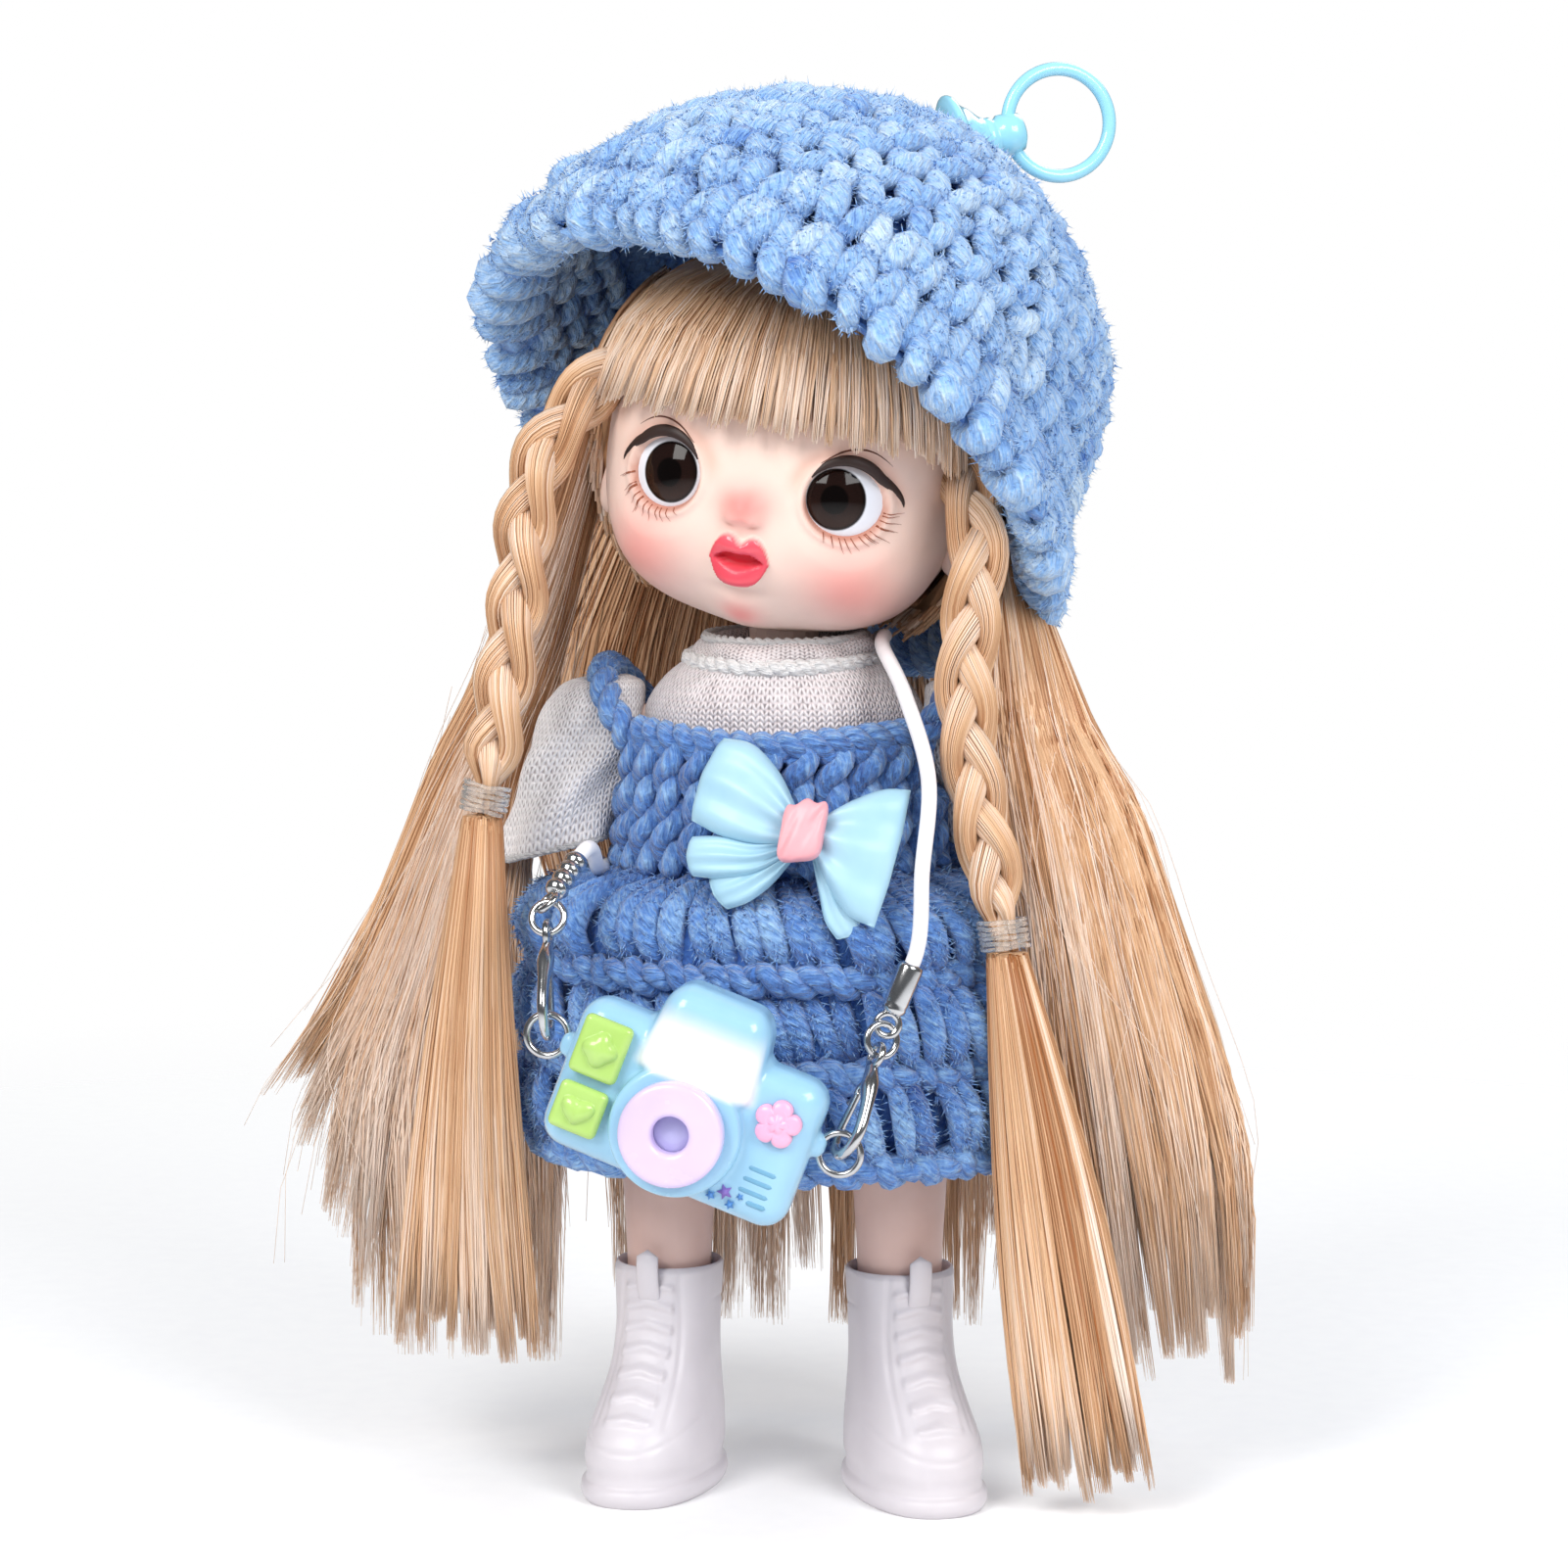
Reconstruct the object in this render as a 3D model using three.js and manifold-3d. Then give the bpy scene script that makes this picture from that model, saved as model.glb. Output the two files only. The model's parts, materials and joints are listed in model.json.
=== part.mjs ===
// Crochet doll charm: a jointed doll in a knitted jumper and crocheted pinafore and hat, with long hair,
// a key ring on its hat and a toy camera on a shoulder strap. Millimetres, +Z up, the doll faces -Y.
import * as THREE from 'three';
import { ParametricGeometry } from 'three/addons/geometries/ParametricGeometry.js';
import { mergeVertices } from 'three/addons/utils/BufferGeometryUtils.js';
import Module from 'manifold-3d';

const wasm = await Module();
wasm.setup();

// Clearances
const SEAT_GAP = 0.35;
const RUNNING_GAP = 0.4;
const CLOTH_GAP = 0.5;

// Heights that the rest is measured from
const SHOULDER_HEIGHT = 93.5;
const TRUNK_LENGTH = 29.5;
const HIP_HEIGHT = SHOULDER_HEIGHT - TRUNK_LENGTH;

// Legs and shoes
const HIP_SPACING = 28.4;
const THIGH_RADIUS = 6.6;
const KNEE_RADIUS = 5.9;
const ANKLE_RADIUS = 4.9;
const HIP_PIN_RADIUS = 1.8;
const HIP_PIN_LENGTH = 27;
const SHOE_HEIGHT = 27;
const SHOE_LENGTH = 27;
const SHOE_TOE_WIDTH = 15.4;
const SHOE_COLLAR_RADIUS = 6.7;
const SHOE_HEEL_BACK = 9;
const SHOE_INSOLE = 6;
const SOLE_EDGE = 2.2;
const RIGHT_FOOT_SPLAY = 6;
const LEFT_FOOT_SPLAY = 18;

// Torso, jumper and arms
const CHEST_HALF_WIDTH = 13;
const CHEST_HALF_DEPTH = 9.5;
const PELVIS_HALF_WIDTH = 6.8;
const NECK_RADIUS = 4.2;
const NECK_TOP = SHOULDER_HEIGHT + 19.5;
const JUMPER_WALL = 3.4;
const JUMPER_HEM = SHOULDER_HEIGHT - 16.5;
const COLLAR_RADIUS = 9.6;
const COLLAR_BOTTOM = SHOULDER_HEIGHT + 5.1;
const COLLAR_TOP = SHOULDER_HEIGHT + 9.9;
const SHOULDER_PIN_RADIUS = 1.6;
const SHOULDER_PIN_LENGTH = 44;
const SHOULDER_CAP_RADIUS = 6;
const SLEEVE_WALL = 1.4;
const ARM_RADIUS = 3.2;

// Pinafore
const WAIST_HALF_WIDTH = CHEST_HALF_WIDTH + JUMPER_WALL + 2 * CLOTH_GAP;
const WAIST_HALF_DEPTH = CHEST_HALF_DEPTH + JUMPER_WALL + 2 * CLOTH_GAP;
const SKIRT_HALF_WIDTH = 30.5;
const SKIRT_HALF_DEPTH = 24;
const SKIRT_WALL = 4;
const SKIRT_HEM = 41;
const SKIRT_TOP = SHOULDER_HEIGHT - 9.5;
const BIB_TOP = SHOULDER_HEIGHT + 1.5;
const BIB_WALL = 3.8;
const BIB_HALF_ANGLE = 68;
const STRAP_RADIUS = 1.9;

// Head
const HEAD_HALF_WIDTH = 21.6;
const HEAD_HALF_DEPTH = 20.5;
const HEAD_HALF_HEIGHT = 21.6;
const HEAD_SQUARENESS = 2.5;
const HEAD_CENTRE = new THREE.Vector3(0, -1, SHOULDER_HEIGHT + 34.1);
const HEAD_ROLL = 10;
const HEAD_YAW = -5;
const EYE_SPACING = 20.2;
const EYE_DROP = 4.2;
const EYE_RADIUS = 5.8;
const EYE_FORWARD = 15;

// Hair
const WIG_SEAT = 0.8;
const WIG_WALL = 2;
const WIG_SPREAD = 95;
const BANGS_WALL = 2.4;
const BANGS_HALF_ANGLE = 62;
const BANGS_LINE = 2.4;
const TIE_YARN_RADIUS = 0.28;
const TIE_TURNS = 3;
const TIE_PITCH = 1.1;
const BRAID_HALF_WIDTH = 3.6;
const BRAID_HALF_DEPTH = 2.5;
const BRAID_CROSSING = 7.2;
const HANG_LENGTH = 93.5;

// Hat and key ring
const HAT_TILT_BACK = 28;
const HAT_ROLL = 30;
const HAT_WALL = 4.6;
const HAT_CROWN_HEIGHT = 45;
const HAT_CROWN_RADIUS = 33.5;
const HAT_RIM_RADIUS = 41;
const HAT_BAND_HEIGHT = 16;
const HAT_RIM_DROP = -6;
const HAT_FRONT_LIFT = 6;
const BELL_RADIUS = 6.4;
const BELL_HEIGHT = 4.6;
const RING_RADIUS = 6.6;
const RING_WIRE = 0.8;

// Bow
const BOW_SPAN = 24;
const BOW_HEIGHT = 19;
const BOW_DEPTH = 4.2;
const BOW_FOOT_SEAT = SKIRT_HALF_DEPTH * 0.965;
const BOW_HEAD_SEAT = WAIST_HALF_DEPTH + BIB_WALL;
const BOW_LEAN = (Math.atan((BOW_FOOT_SEAT - BOW_HEAD_SEAT) / (BOW_HEIGHT * 0.96)) * 180) / Math.PI;
const BOW_REACH = (BOW_FOOT_SEAT + BOW_HEAD_SEAT + BOW_DEPTH) / 2 + 0.15;
const BOW_CENTRE = new THREE.Vector3(5.7, -BOW_REACH, SHOULDER_HEIGHT - 12);
const BOW_TURN = 8;

// Camera charm and strap
const CAMERA_WIDTH = 30;
const CAMERA_HEIGHT = 18;
const CAMERA_DEPTH = 7.6;
const CAMERA_CORNER = 4;
const CAMERA_HUMP_WIDTH = 15;
const CAMERA_HUMP_HEIGHT = 5.4;
const CAMERA_CENTRE = new THREE.Vector3(-6.6, -(SKIRT_HALF_DEPTH + 8.5), SHOULDER_HEIGHT - 42.5);
const CAMERA_TURN = 21;
const BARREL_RADIUS = 7.4;
const LENS_RING_RADIUS = 6;
const LENS_HOLE_RADIUS = 2.2;
const BUTTON_WIDTH = 5.8;
const BUTTON_RISE = 1.4;
const UPPER_BUTTON_HEIGHT = 7;
const LOWER_BUTTON_HEIGHT = 5.6;
const SLOT_WIDTH = 0.7;
const SLOT_LENGTH = 3.6;
const SLOT_DEPTH = 0.8;
const CORD_RADIUS = 0.8;
const FERRULE_RADIUS = 1.5;
const FERRULE_LENGTH = 6.2;
const LINK_WIRE = 0.42;
const LINK_RADIUS = 1.9;
const EYELET_RADIUS = 2.4;
const EYELET_REACH = 3;
const LUG_REACH = 1.62;
const LUG_THICKNESS = 2.8;
const CLASP_LENGTH = 12;
const CLASP_WIDTH = 5;
const CLASP_WIRE = 0.5;

const COLOURS = {
  skin: 0xf4d5c6, eye: 0x1a1210, hair: 0xd9ad78, yarn: 0x5d92e0, jumper: 0xe6dfe0, shoe: 0xf3f0f2,
  aqua: 0x9fe3f0, bow: 0xa9dcea, pink: 0xf59fa8, camera: 0x9fd4ee, lilac: 0xe4d3f4, glass: 0xb9bce6,
  green: 0xb7dd6f, blossom: 0xf7a9cf, steel: 0xc9cbd0, cord: 0xf1eff2, elastic: 0xe9e4dc,
};

const rad = THREE.MathUtils.degToRad;
const vec = (x, y, z) => new THREE.Vector3(x, y, z);
const bump = (distance, width) => Math.exp(-((distance / width) ** 2));
const ease = THREE.MathUtils.smoothstep;

// Merges a geometry's shared vertices and drops triangles that collapsed at a pole or a seam.
function seal(geometry) {
  const bare = new THREE.BufferGeometry().setAttribute('position', geometry.getAttribute('position'));
  if (geometry.index) bare.setIndex(geometry.index);
  const merged = mergeVertices(bare, 1e-3);
  const kept = [];
  const index = merged.index.array;
  for (let i = 0; i < index.length; i += 3) {
    const [a, b, c] = [index[i], index[i + 1], index[i + 2]];
    if (a !== b && b !== c && c !== a) kept.push(a, b, c);
  }
  merged.setIndex(kept);
  return merged;
}

function solid(geometry) {
  const sealed = seal(geometry);
  const position = sealed.getAttribute('position');
  const triangles = new Uint32Array(sealed.index.array);
  let made = new wasm.Manifold(
    new wasm.Mesh({ numProp: 3, vertProperties: new Float32Array(position.array), triVerts: triangles }),
  );
  if (made.volume() < 0) {
    for (let i = 0; i < triangles.length; i += 3) {
      [triangles[i + 1], triangles[i + 2]] = [triangles[i + 2], triangles[i + 1]];
    }
    made = new wasm.Manifold(
      new wasm.Mesh({ numProp: 3, vertProperties: new Float32Array(position.array), triVerts: triangles }),
    );
  }
  return made;
}

function geometryOf(manifold) {
  const mesh = manifold.getMesh();
  const geometry = new THREE.BufferGeometry();
  geometry.setAttribute('position', new THREE.BufferAttribute(new Float32Array(mesh.vertProperties), 3));
  geometry.setIndex(new THREE.BufferAttribute(new Uint32Array(mesh.triVerts), 1));
  return geometry;
}

const cut = (geometry, ...tools) =>
  geometryOf(tools.reduce((kept, tool) => kept.subtract(solid(tool)), solid(geometry)));
const join = (geometry, ...others) =>
  geometryOf(others.reduce((kept, other) => kept.add(solid(other)), solid(geometry)));

// A closed surface given by a point for each (u, v).
function surface(nu, nv, pointAt) {
  return geometryOf(solid(new ParametricGeometry((u, v, target) => target.copy(pointAt(u, v)), nu, nv)));
}

// A closed wall: the outer skin runs from v = 0 to 1 and the inner skin runs back.
function wall(nu, nv, outer, inner) {
  return surface(nu, 2 * nv + 2, (u, v) => {
    const step = Math.round(v * (2 * nv + 2));
    if (step <= nv) return outer(u, step / nv);
    if (step <= 2 * nv + 1) return inner(u, (2 * nv + 1 - step) / nv);
    return outer(u, 0);
  });
}

// A solid lofted through sections. Each is a closed curve in u, and both ends close to their centres.
function loft(nu, nv, sectionAt, centreAt) {
  return surface(nu, nv + 2, (u, v) => {
    const step = Math.round(v * (nv + 2));
    if (step === 0) return centreAt(0);
    if (step === nv + 2) return centreAt(1);
    return sectionAt(u, (step - 1) / nv);
  });
}

// A tube of one radius along a curve, with flat ends.
function tube(curve, radius, sides, steps) {
  const section = new THREE.Shape();
  for (let i = 0; i < sides; i += 1) {
    const angle = (2 * Math.PI * i) / sides;
    section[i ? 'lineTo' : 'moveTo'](radius * Math.cos(angle), radius * Math.sin(angle));
  }
  section.closePath();
  return new THREE.ExtrudeGeometry(section, { extrudePath: curve, steps, curveSegments: sides });
}

const cylinderAlong = (axis, radius, length, sides = 16) => {
  const made = new THREE.CylinderGeometry(radius, radius, length, sides);
  const turn = new THREE.Quaternion().setFromUnitVectors(vec(0, 1, 0), axis.clone().normalize());
  return made.applyQuaternion(turn);
};

// Straight-line interpolation through a list of [position, value, value...] rows.
function along(rows, at) {
  let i = 0;
  while (i < rows.length - 2 && at > rows[i + 1][0]) i += 1;
  const share = THREE.MathUtils.clamp((at - rows[i][0]) / (rows[i + 1][0] - rows[i][0]), 0, 1);
  return rows[i].slice(1).map((value, k) => value + (rows[i + 1][k + 1] - value) * share);
}

const doll = new THREE.Group();

function add(name, geometry, colour, finish = {}, parent = doll) {
  const look = { color: COLOURS[colour], roughness: 0.6, metalness: 0, ...finish };
  const material = new THREE.MeshStandardMaterial(look);
  const mesh = new THREE.Mesh(geometry, material);
  mesh.name = name;
  parent.add(mesh);
  return mesh;
}

const CLOTH = { roughness: 0.95 };
const GLOSS = { roughness: 0.25 };
const METAL = { roughness: 0.15, metalness: 1 };

// Head frame: the face looks along -Y of this group, which carries the photographed tilt.
const headGroup = new THREE.Group();
headGroup.position.copy(HEAD_CENTRE);
headGroup.rotation.set(0, rad(HEAD_ROLL), rad(HEAD_YAW), 'ZYX');
headGroup.updateMatrix();
doll.add(headGroup);
const headInverse = headGroup.matrix.clone().invert();

const direction = (azimuth, elevation) => {
  const level = Math.cos(elevation);
  return vec(Math.sin(azimuth) * level, -Math.cos(azimuth) * level, Math.sin(elevation));
};

// Skull without features, grown outwards by an allowance.
function skull(toward, grow = 0) {
  const p = HEAD_SQUARENESS;
  const sum =
    Math.abs(toward.x / HEAD_HALF_WIDTH) ** p +
    Math.abs(toward.y / HEAD_HALF_DEPTH) ** p +
    Math.abs(toward.z / HEAD_HALF_HEIGHT) ** p;
  return toward.clone().multiplyScalar(sum ** (-1 / p) + grow);
}

// Face relief: cheeks, nose, pouting lips and chin, as rises over the skull.
function faceRise(point) {
  if (point.y > 0) return 0;
  const { x, z } = point;
  const cheeks = 1.3 * bump(Math.abs(x) - 12, 6) * bump(z + 11, 6);
  const nose = 2 * bump(x, 2.3) * bump(z + 8.2, 2.2);
  const upperLip = 2.2 * bump(x, 3) * bump(z + 12.3, 1.4);
  const lowerLip = 2 * bump(x, 2.8) * bump(z + 15.2, 1.4);
  const mouth = -1 * bump(x, 2) * bump(z + 13.8, 0.7);
  const chin = 1.2 * bump(x, 4) * bump(z + 19, 2.6);
  return cheeks + nose + upperLip + lowerLip + mouth + chin;
}

function headSurface(u, v) {
  const azimuth = 2 * Math.PI * u;
  const tilt = Math.PI * (0.5 - v);
  const toward = direction(azimuth, tilt);
  const base = skull(toward);
  return skull(toward, faceRise(base));
}

const eyeCentre = (side) => vec((side * EYE_SPACING) / 2, -EYE_FORWARD, -EYE_DROP);
const ball = (radius, centre, nu = 12, nv = 8) =>
  new THREE.SphereGeometry(radius, nu, nv).translate(centre.x, centre.y, centre.z);

function makeHead() {
  const holeDepth = NECK_TOP + SEAT_GAP - COLLAR_BOTTOM;
  const neckHole = cylinderAlong(vec(0, 0, 1), NECK_RADIUS + RUNNING_GAP, 2 * holeDepth, 20);
  neckHole.translate(0, 0, COLLAR_BOTTOM).applyMatrix4(headInverse);
  const ears = [-1, 1].map((side) => {
    const ear = new THREE.SphereGeometry(1, 8, 6).scale(1.8, 2.4, 3.4);
    return ear.translate(side * (HEAD_HALF_WIDTH - 0.2), 1, -8.5);
  });
  const sockets = [-1, 1].map((side) => ball(EYE_RADIUS + SEAT_GAP, eyeCentre(side), 12, 8));
  const face = join(surface(26, 18, headSurface), ...ears);
  add('head', cut(face, neckHole, ...sockets), 'skin', { roughness: 0.45 }, headGroup);
  add('eye_right', ball(EYE_RADIUS, eyeCentre(-1)), 'eye', GLOSS, headGroup);
  add('eye_left', ball(EYE_RADIUS, eyeCentre(1)), 'eye', GLOSS, headGroup);
}

// Wig: a cap over the crown and nape, open at the face, and a fringe that hangs over the forehead.
const WIG_AXIS_ELEVATION = 53;
const wigAxis = direction(Math.PI, rad(WIG_AXIS_ELEVATION));
const wigSide = vec(1, 0, 0);
const wigUp = new THREE.Vector3().crossVectors(wigSide, wigAxis);

function wigDirection(u, spread) {
  const around = 2 * Math.PI * u;
  return wigAxis.clone().multiplyScalar(Math.cos(spread))
    .addScaledVector(wigSide, Math.sin(spread) * Math.cos(around))
    .addScaledVector(wigUp, Math.sin(spread) * Math.sin(around));
}

function makeWig() {
  const rows = 6;
  const capPoint = (u, v) => {
    const step = Math.round(v * (2 * rows + 1));
    const outer = step <= rows;
    const share = (outer ? step : 2 * rows + 1 - step) / rows;
    return skull(wigDirection(u, rad(WIG_SPREAD) * share), WIG_SEAT + (outer ? WIG_WALL : 0));
  };
  const ears = [-1, 1].map((side) =>
    new THREE.SphereGeometry(1, 8, 6).scale(2.8, 3.4, 4.4).translate(side * HEAD_HALF_WIDTH, 1, -8.5));
  add('wig_cap', cut(surface(20, 2 * rows + 1, capPoint), ...ears), 'hair', CLOTH, headGroup);
}

function makeBangs() {
  const lineAt = (azimuth) => {
    const axisPart = wigAxis.y * Math.cos(azimuth);
    const reach = Math.hypot(axisPart, wigAxis.z);
    return Math.asin(Math.cos(rad(WIG_SPREAD)) / reach) + Math.atan2(axisPart, wigAxis.z);
  };
  const bottom = Math.asin(BANGS_LINE / HEAD_HALF_HEIGHT);
  const gap = rad(1.6);
  const skin = (grow) => (u, v) => {
    const azimuth = rad(BANGS_HALF_ANGLE) * (2 * u - 1);
    const top = Math.max(lineAt(azimuth) - gap, bottom + rad(4));
    return skull(direction(azimuth, top + (bottom - top) * v), grow);
  };
  add('bangs', slab(12, 3, skin(WIG_SEAT + BANGS_WALL), skin(WIG_SEAT)), 'hair', CLOTH, headGroup);
}

// A sheet with thickness: two skins over the same (u, v) patch, closed round its four edges.
function slab(nu, nv, outer, inner) {
  const loop = 2 * nv + 2;
  return surface(nu + 2, loop, (u, v) => {
    const column = Math.round(u * (nu + 2)) - 1;
    const share = THREE.MathUtils.clamp(column, 0, nu) / nu;
    const step = Math.round(v * loop) % loop;
    const row = (step <= nv ? step : loop - 1 - step) / nv;
    if (column < 0 || column > nu) return outer(share, row).add(inner(share, row)).multiplyScalar(0.5);
    return step <= nv ? outer(share, row) : inner(share, row);
  });
}

// Hat: a crown turned about a leaning axis, hugging the wig at its band and flaring to a brim.
const hatAxis = vec(
  Math.sin(rad(HAT_ROLL)) * Math.cos(rad(HAT_TILT_BACK)),
  Math.sin(rad(HAT_TILT_BACK)),
  Math.cos(rad(HAT_ROLL)) * Math.cos(rad(HAT_TILT_BACK)),
);
const hatFront = vec(0, -1, 0).addScaledVector(hatAxis, hatAxis.y).normalize();
const hatSide = new THREE.Vector3().crossVectors(hatAxis, hatFront);

// How far the brim has spread from the band, as a share, at a share of the way down it.
const brimSpread = (flare) => 0.35 * flare + 0.65 * flare * flare;

// The band radius at which the hat's inner skin just clears the wig.
function hatFit() {
  let band = 0;
  const [rim, top] = [HAT_RIM_RADIUS - HAT_WALL, HAT_CROWN_HEIGHT - HAT_WALL];
  for (let i = 0; i < 40; i += 1) {
    for (let k = 1; k <= 12; k += 1) {
      const point = skull(wigDirection(i / 40, (rad(WIG_SPREAD) * k) / 12), WIG_SEAT + WIG_WALL);
      point.applyMatrix4(headGroup.matrix).sub(HEAD_CENTRE);
      const height = point.dot(hatAxis);
      const radius = Math.sqrt(point.lengthSq() - height * height);
      const rise = (height - HAT_BAND_HEIGHT) / (top - HAT_BAND_HEIGHT);
      const spread = brimSpread((HAT_BAND_HEIGHT - height) / (HAT_BAND_HEIGHT - HAT_RIM_DROP));
      if (rise > 0) band = Math.max(band, radius / Math.sqrt(1 - rise * rise));
      else if (height > 0) band = Math.max(band, (radius - rim * spread) / (1 - spread));
    }
  }
  return band + SEAT_GAP;
}
const HAT_HUG_RADIUS = hatFit();

function hatPoint(angle, share, inner, allowance) {
  const band = inner ? HAT_HUG_RADIUS : HAT_CROWN_RADIUS;
  const top = HAT_CROWN_HEIGHT - (inner ? HAT_WALL : 0);
  const rim = HAT_RIM_RADIUS - (inner ? HAT_WALL : 0);
  const drop = HAT_RIM_DROP + HAT_FRONT_LIFT * (0.5 + 0.5 * Math.cos(angle));
  const grow = inner ? -allowance : allowance;
  let height;
  let radius;
  if (share <= 0.6) {
    const tilt = (Math.PI / 2) * (share / 0.6);
    height = HAT_BAND_HEIGHT + (top - HAT_BAND_HEIGHT + grow) * Math.cos(tilt);
    radius = (band + grow) * Math.sin(tilt);
  } else {
    const flare = (share - 0.6) / 0.4;
    height = HAT_BAND_HEIGHT + (drop - allowance - HAT_BAND_HEIGHT) * flare;
    radius = band + grow + (rim - band) * brimSpread(flare);
  }
  return HEAD_CENTRE.clone().addScaledVector(hatAxis, height)
    .addScaledVector(hatFront, radius * Math.cos(angle))
    .addScaledVector(hatSide, radius * Math.sin(angle));
}

// The hat, with both skins grown by an allowance.
function hatShell(allowance) {
  const rows = 8;
  return surface(28, 2 * rows + 1, (u, v) => {
    const step = Math.round(v * (2 * rows + 1));
    const angle = 2 * Math.PI * u;
    if (step <= rows) return hatPoint(angle, step / rows, false, allowance);
    return hatPoint(angle, (2 * rows + 1 - step) / rows, true, allowance);
  });
}

// The space the hat takes up, filled in under the brim.
function hatFilled(allowance) {
  const rows = 8;
  return surface(28, rows + 1, (u, v) => {
    const step = Math.round(v * (rows + 1));
    return step > rows ? HEAD_CENTRE.clone() : hatPoint(2 * Math.PI * u, step / rows, false, allowance);
  });
}

function makeHat() {
  add('hat', hatShell(0), 'yarn', CLOTH);
}

// Bell cap on the crown, a swivel post with a cross hole, and the ring through that hole.
const bellAxis = hatAxis.clone().addScaledVector(hatSide, 0.9).normalize();
const bellFoot = HEAD_CENTRE.clone().addScaledVector(hatAxis, HAT_CROWN_HEIGHT).addScaledVector(hatSide, -2);
const ringTangent = vec(0, 0, 1).addScaledVector(bellAxis, -bellAxis.z).normalize();
const POST_RADIUS = RING_WIRE + 1.8;
const POST_HEIGHT = 2 * POST_RADIUS;
const ringPivot = bellFoot.clone().addScaledVector(bellAxis, BELL_HEIGHT + SEAT_GAP + POST_HEIGHT / 2);

function turnTo(geometry, axis, origin) {
  const turn = new THREE.Quaternion().setFromUnitVectors(vec(0, 1, 0), axis);
  return geometry.applyQuaternion(turn).translate(origin.x, origin.y, origin.z);
}

function makeKeyRing() {
  const profile = [
    [0, -7], [BELL_RADIUS, -7], [BELL_RADIUS, -0.4], [BELL_RADIUS * 0.9, BELL_HEIGHT * 0.35],
    [BELL_RADIUS * 0.62, BELL_HEIGHT * 0.75], [POST_RADIUS * 0.9, BELL_HEIGHT], [0, BELL_HEIGHT],
  ].map(([r, h]) => new THREE.Vector2(r, h));
  const bell = turnTo(new THREE.LatheGeometry(profile, 16), bellAxis, bellFoot);
  add('bell_cap', cut(bell, hatFilled(SEAT_GAP)), 'aqua', GLOSS);
  const post = cylinderAlong(bellAxis, POST_RADIUS, POST_HEIGHT, 12).translate(...ringPivot.toArray());
  const reach = POST_RADIUS ** 2 / (2 * RING_RADIUS);
  const hole = cylinderAlong(ringTangent, RING_WIRE + reach + RUNNING_GAP, 4 * POST_RADIUS, 10);
  add('ring_post', cut(post, hole.translate(...ringPivot.toArray())), 'aqua', GLOSS);
  const ring = new THREE.TorusGeometry(RING_RADIUS, RING_WIRE, 6, 28);
  const normal = new THREE.Vector3().crossVectors(bellAxis, ringTangent);
  const centre = ringPivot.clone().addScaledVector(bellAxis, RING_RADIUS);
  const frame = new THREE.Matrix4().makeBasis(bellAxis, ringTangent, normal).setPosition(centre);
  add('key_ring', ring.applyMatrix4(frame), 'aqua', GLOSS);
}

// Limbs and body, as lofts of ellipses listed from the top down: height, half width, half depth, centre.
function ellipses(rows, nu, steps) {
  const centreAt = (v) => {
    const [height, , , x, y] = along(rows, v);
    return vec(x, y, height);
  };
  return loft(nu, steps, (u, v) => {
    const [height, width, depth, x, y] = along(rows, v);
    const angle = 2 * Math.PI * u;
    return vec(x + width * Math.cos(angle), y + depth * Math.sin(angle), height);
  }, centreAt);
}

// Spreads a list of section rows evenly, so that a loft of one step a row keeps each row's own corner.
const spread = (rows) => rows.map((row, i) => [i / (rows.length - 1), ...row]);
const lofted = (rows, nu) => {
  const full = rows.map((row) => [row[0], row[1], row[2], row[3] ?? 0, row[4] ?? 0]);
  return ellipses(spread(full), nu, rows.length - 1);
};

const TORSO_ROWS = [
  [NECK_TOP, NECK_RADIUS, NECK_RADIUS],
  [SHOULDER_HEIGHT + 8, NECK_RADIUS, NECK_RADIUS],
  [SHOULDER_HEIGHT + 6.5, 6, 5.6],
  [SHOULDER_HEIGHT + 3.5, 11, 8.6],
  [SHOULDER_HEIGHT - 3.5, CHEST_HALF_WIDTH, CHEST_HALF_DEPTH],
  [SHOULDER_HEIGHT - 13.5, CHEST_HALF_WIDTH * 0.97, CHEST_HALF_DEPTH],
  [SHOULDER_HEIGHT - 17.5, 11, 9],
  [SHOULDER_HEIGHT - 20.5, PELVIS_HALF_WIDTH, 8],
  [HIP_HEIGHT - 4, PELVIS_HALF_WIDTH, 7.5],
  [HIP_HEIGHT - 6.5, 5, 5.5],
];

function makeTorso() {
  const hips = cylinderAlong(vec(1, 0, 0), HIP_PIN_RADIUS, HIP_PIN_LENGTH).translate(0, 0, HIP_HEIGHT);
  const shoulders = cylinderAlong(vec(1, 0, 0), SHOULDER_PIN_RADIUS, SHOULDER_PIN_LENGTH);
  add('torso', join(lofted(TORSO_ROWS, 16), hips, shoulders.translate(0, 0, SHOULDER_HEIGHT)), 'skin');
}

// Jumper body: a knitted wall over the torso, from the shoulders to below the waist.
const jumperAt = (grow) => [
  [SHOULDER_HEIGHT + 7.5, 6.2 + grow, 5.8 + grow],
  [SHOULDER_HEIGHT + 5.1, 11 + grow, 8.6 + grow],
  [SHOULDER_HEIGHT + 0.5, CHEST_HALF_WIDTH + grow, CHEST_HALF_DEPTH + grow],
  [JUMPER_HEM, CHEST_HALF_WIDTH + grow, CHEST_HALF_DEPTH + grow],
];

// A wall between two lists of section rows, open through the middle.
function sleeveWall(nu, outerRows, innerRows) {
  const ring = (rows) => (u, v) => {
    const [height, width, depth, x, y] = along(rows, v);
    const angle = 2 * Math.PI * u;
    return vec((x ?? 0) + width * Math.cos(angle), (y ?? 0) + depth * Math.sin(angle), height);
  };
  return wall(nu, outerRows.length - 1, ring(spread(outerRows)), ring(spread(innerRows)));
}

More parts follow.
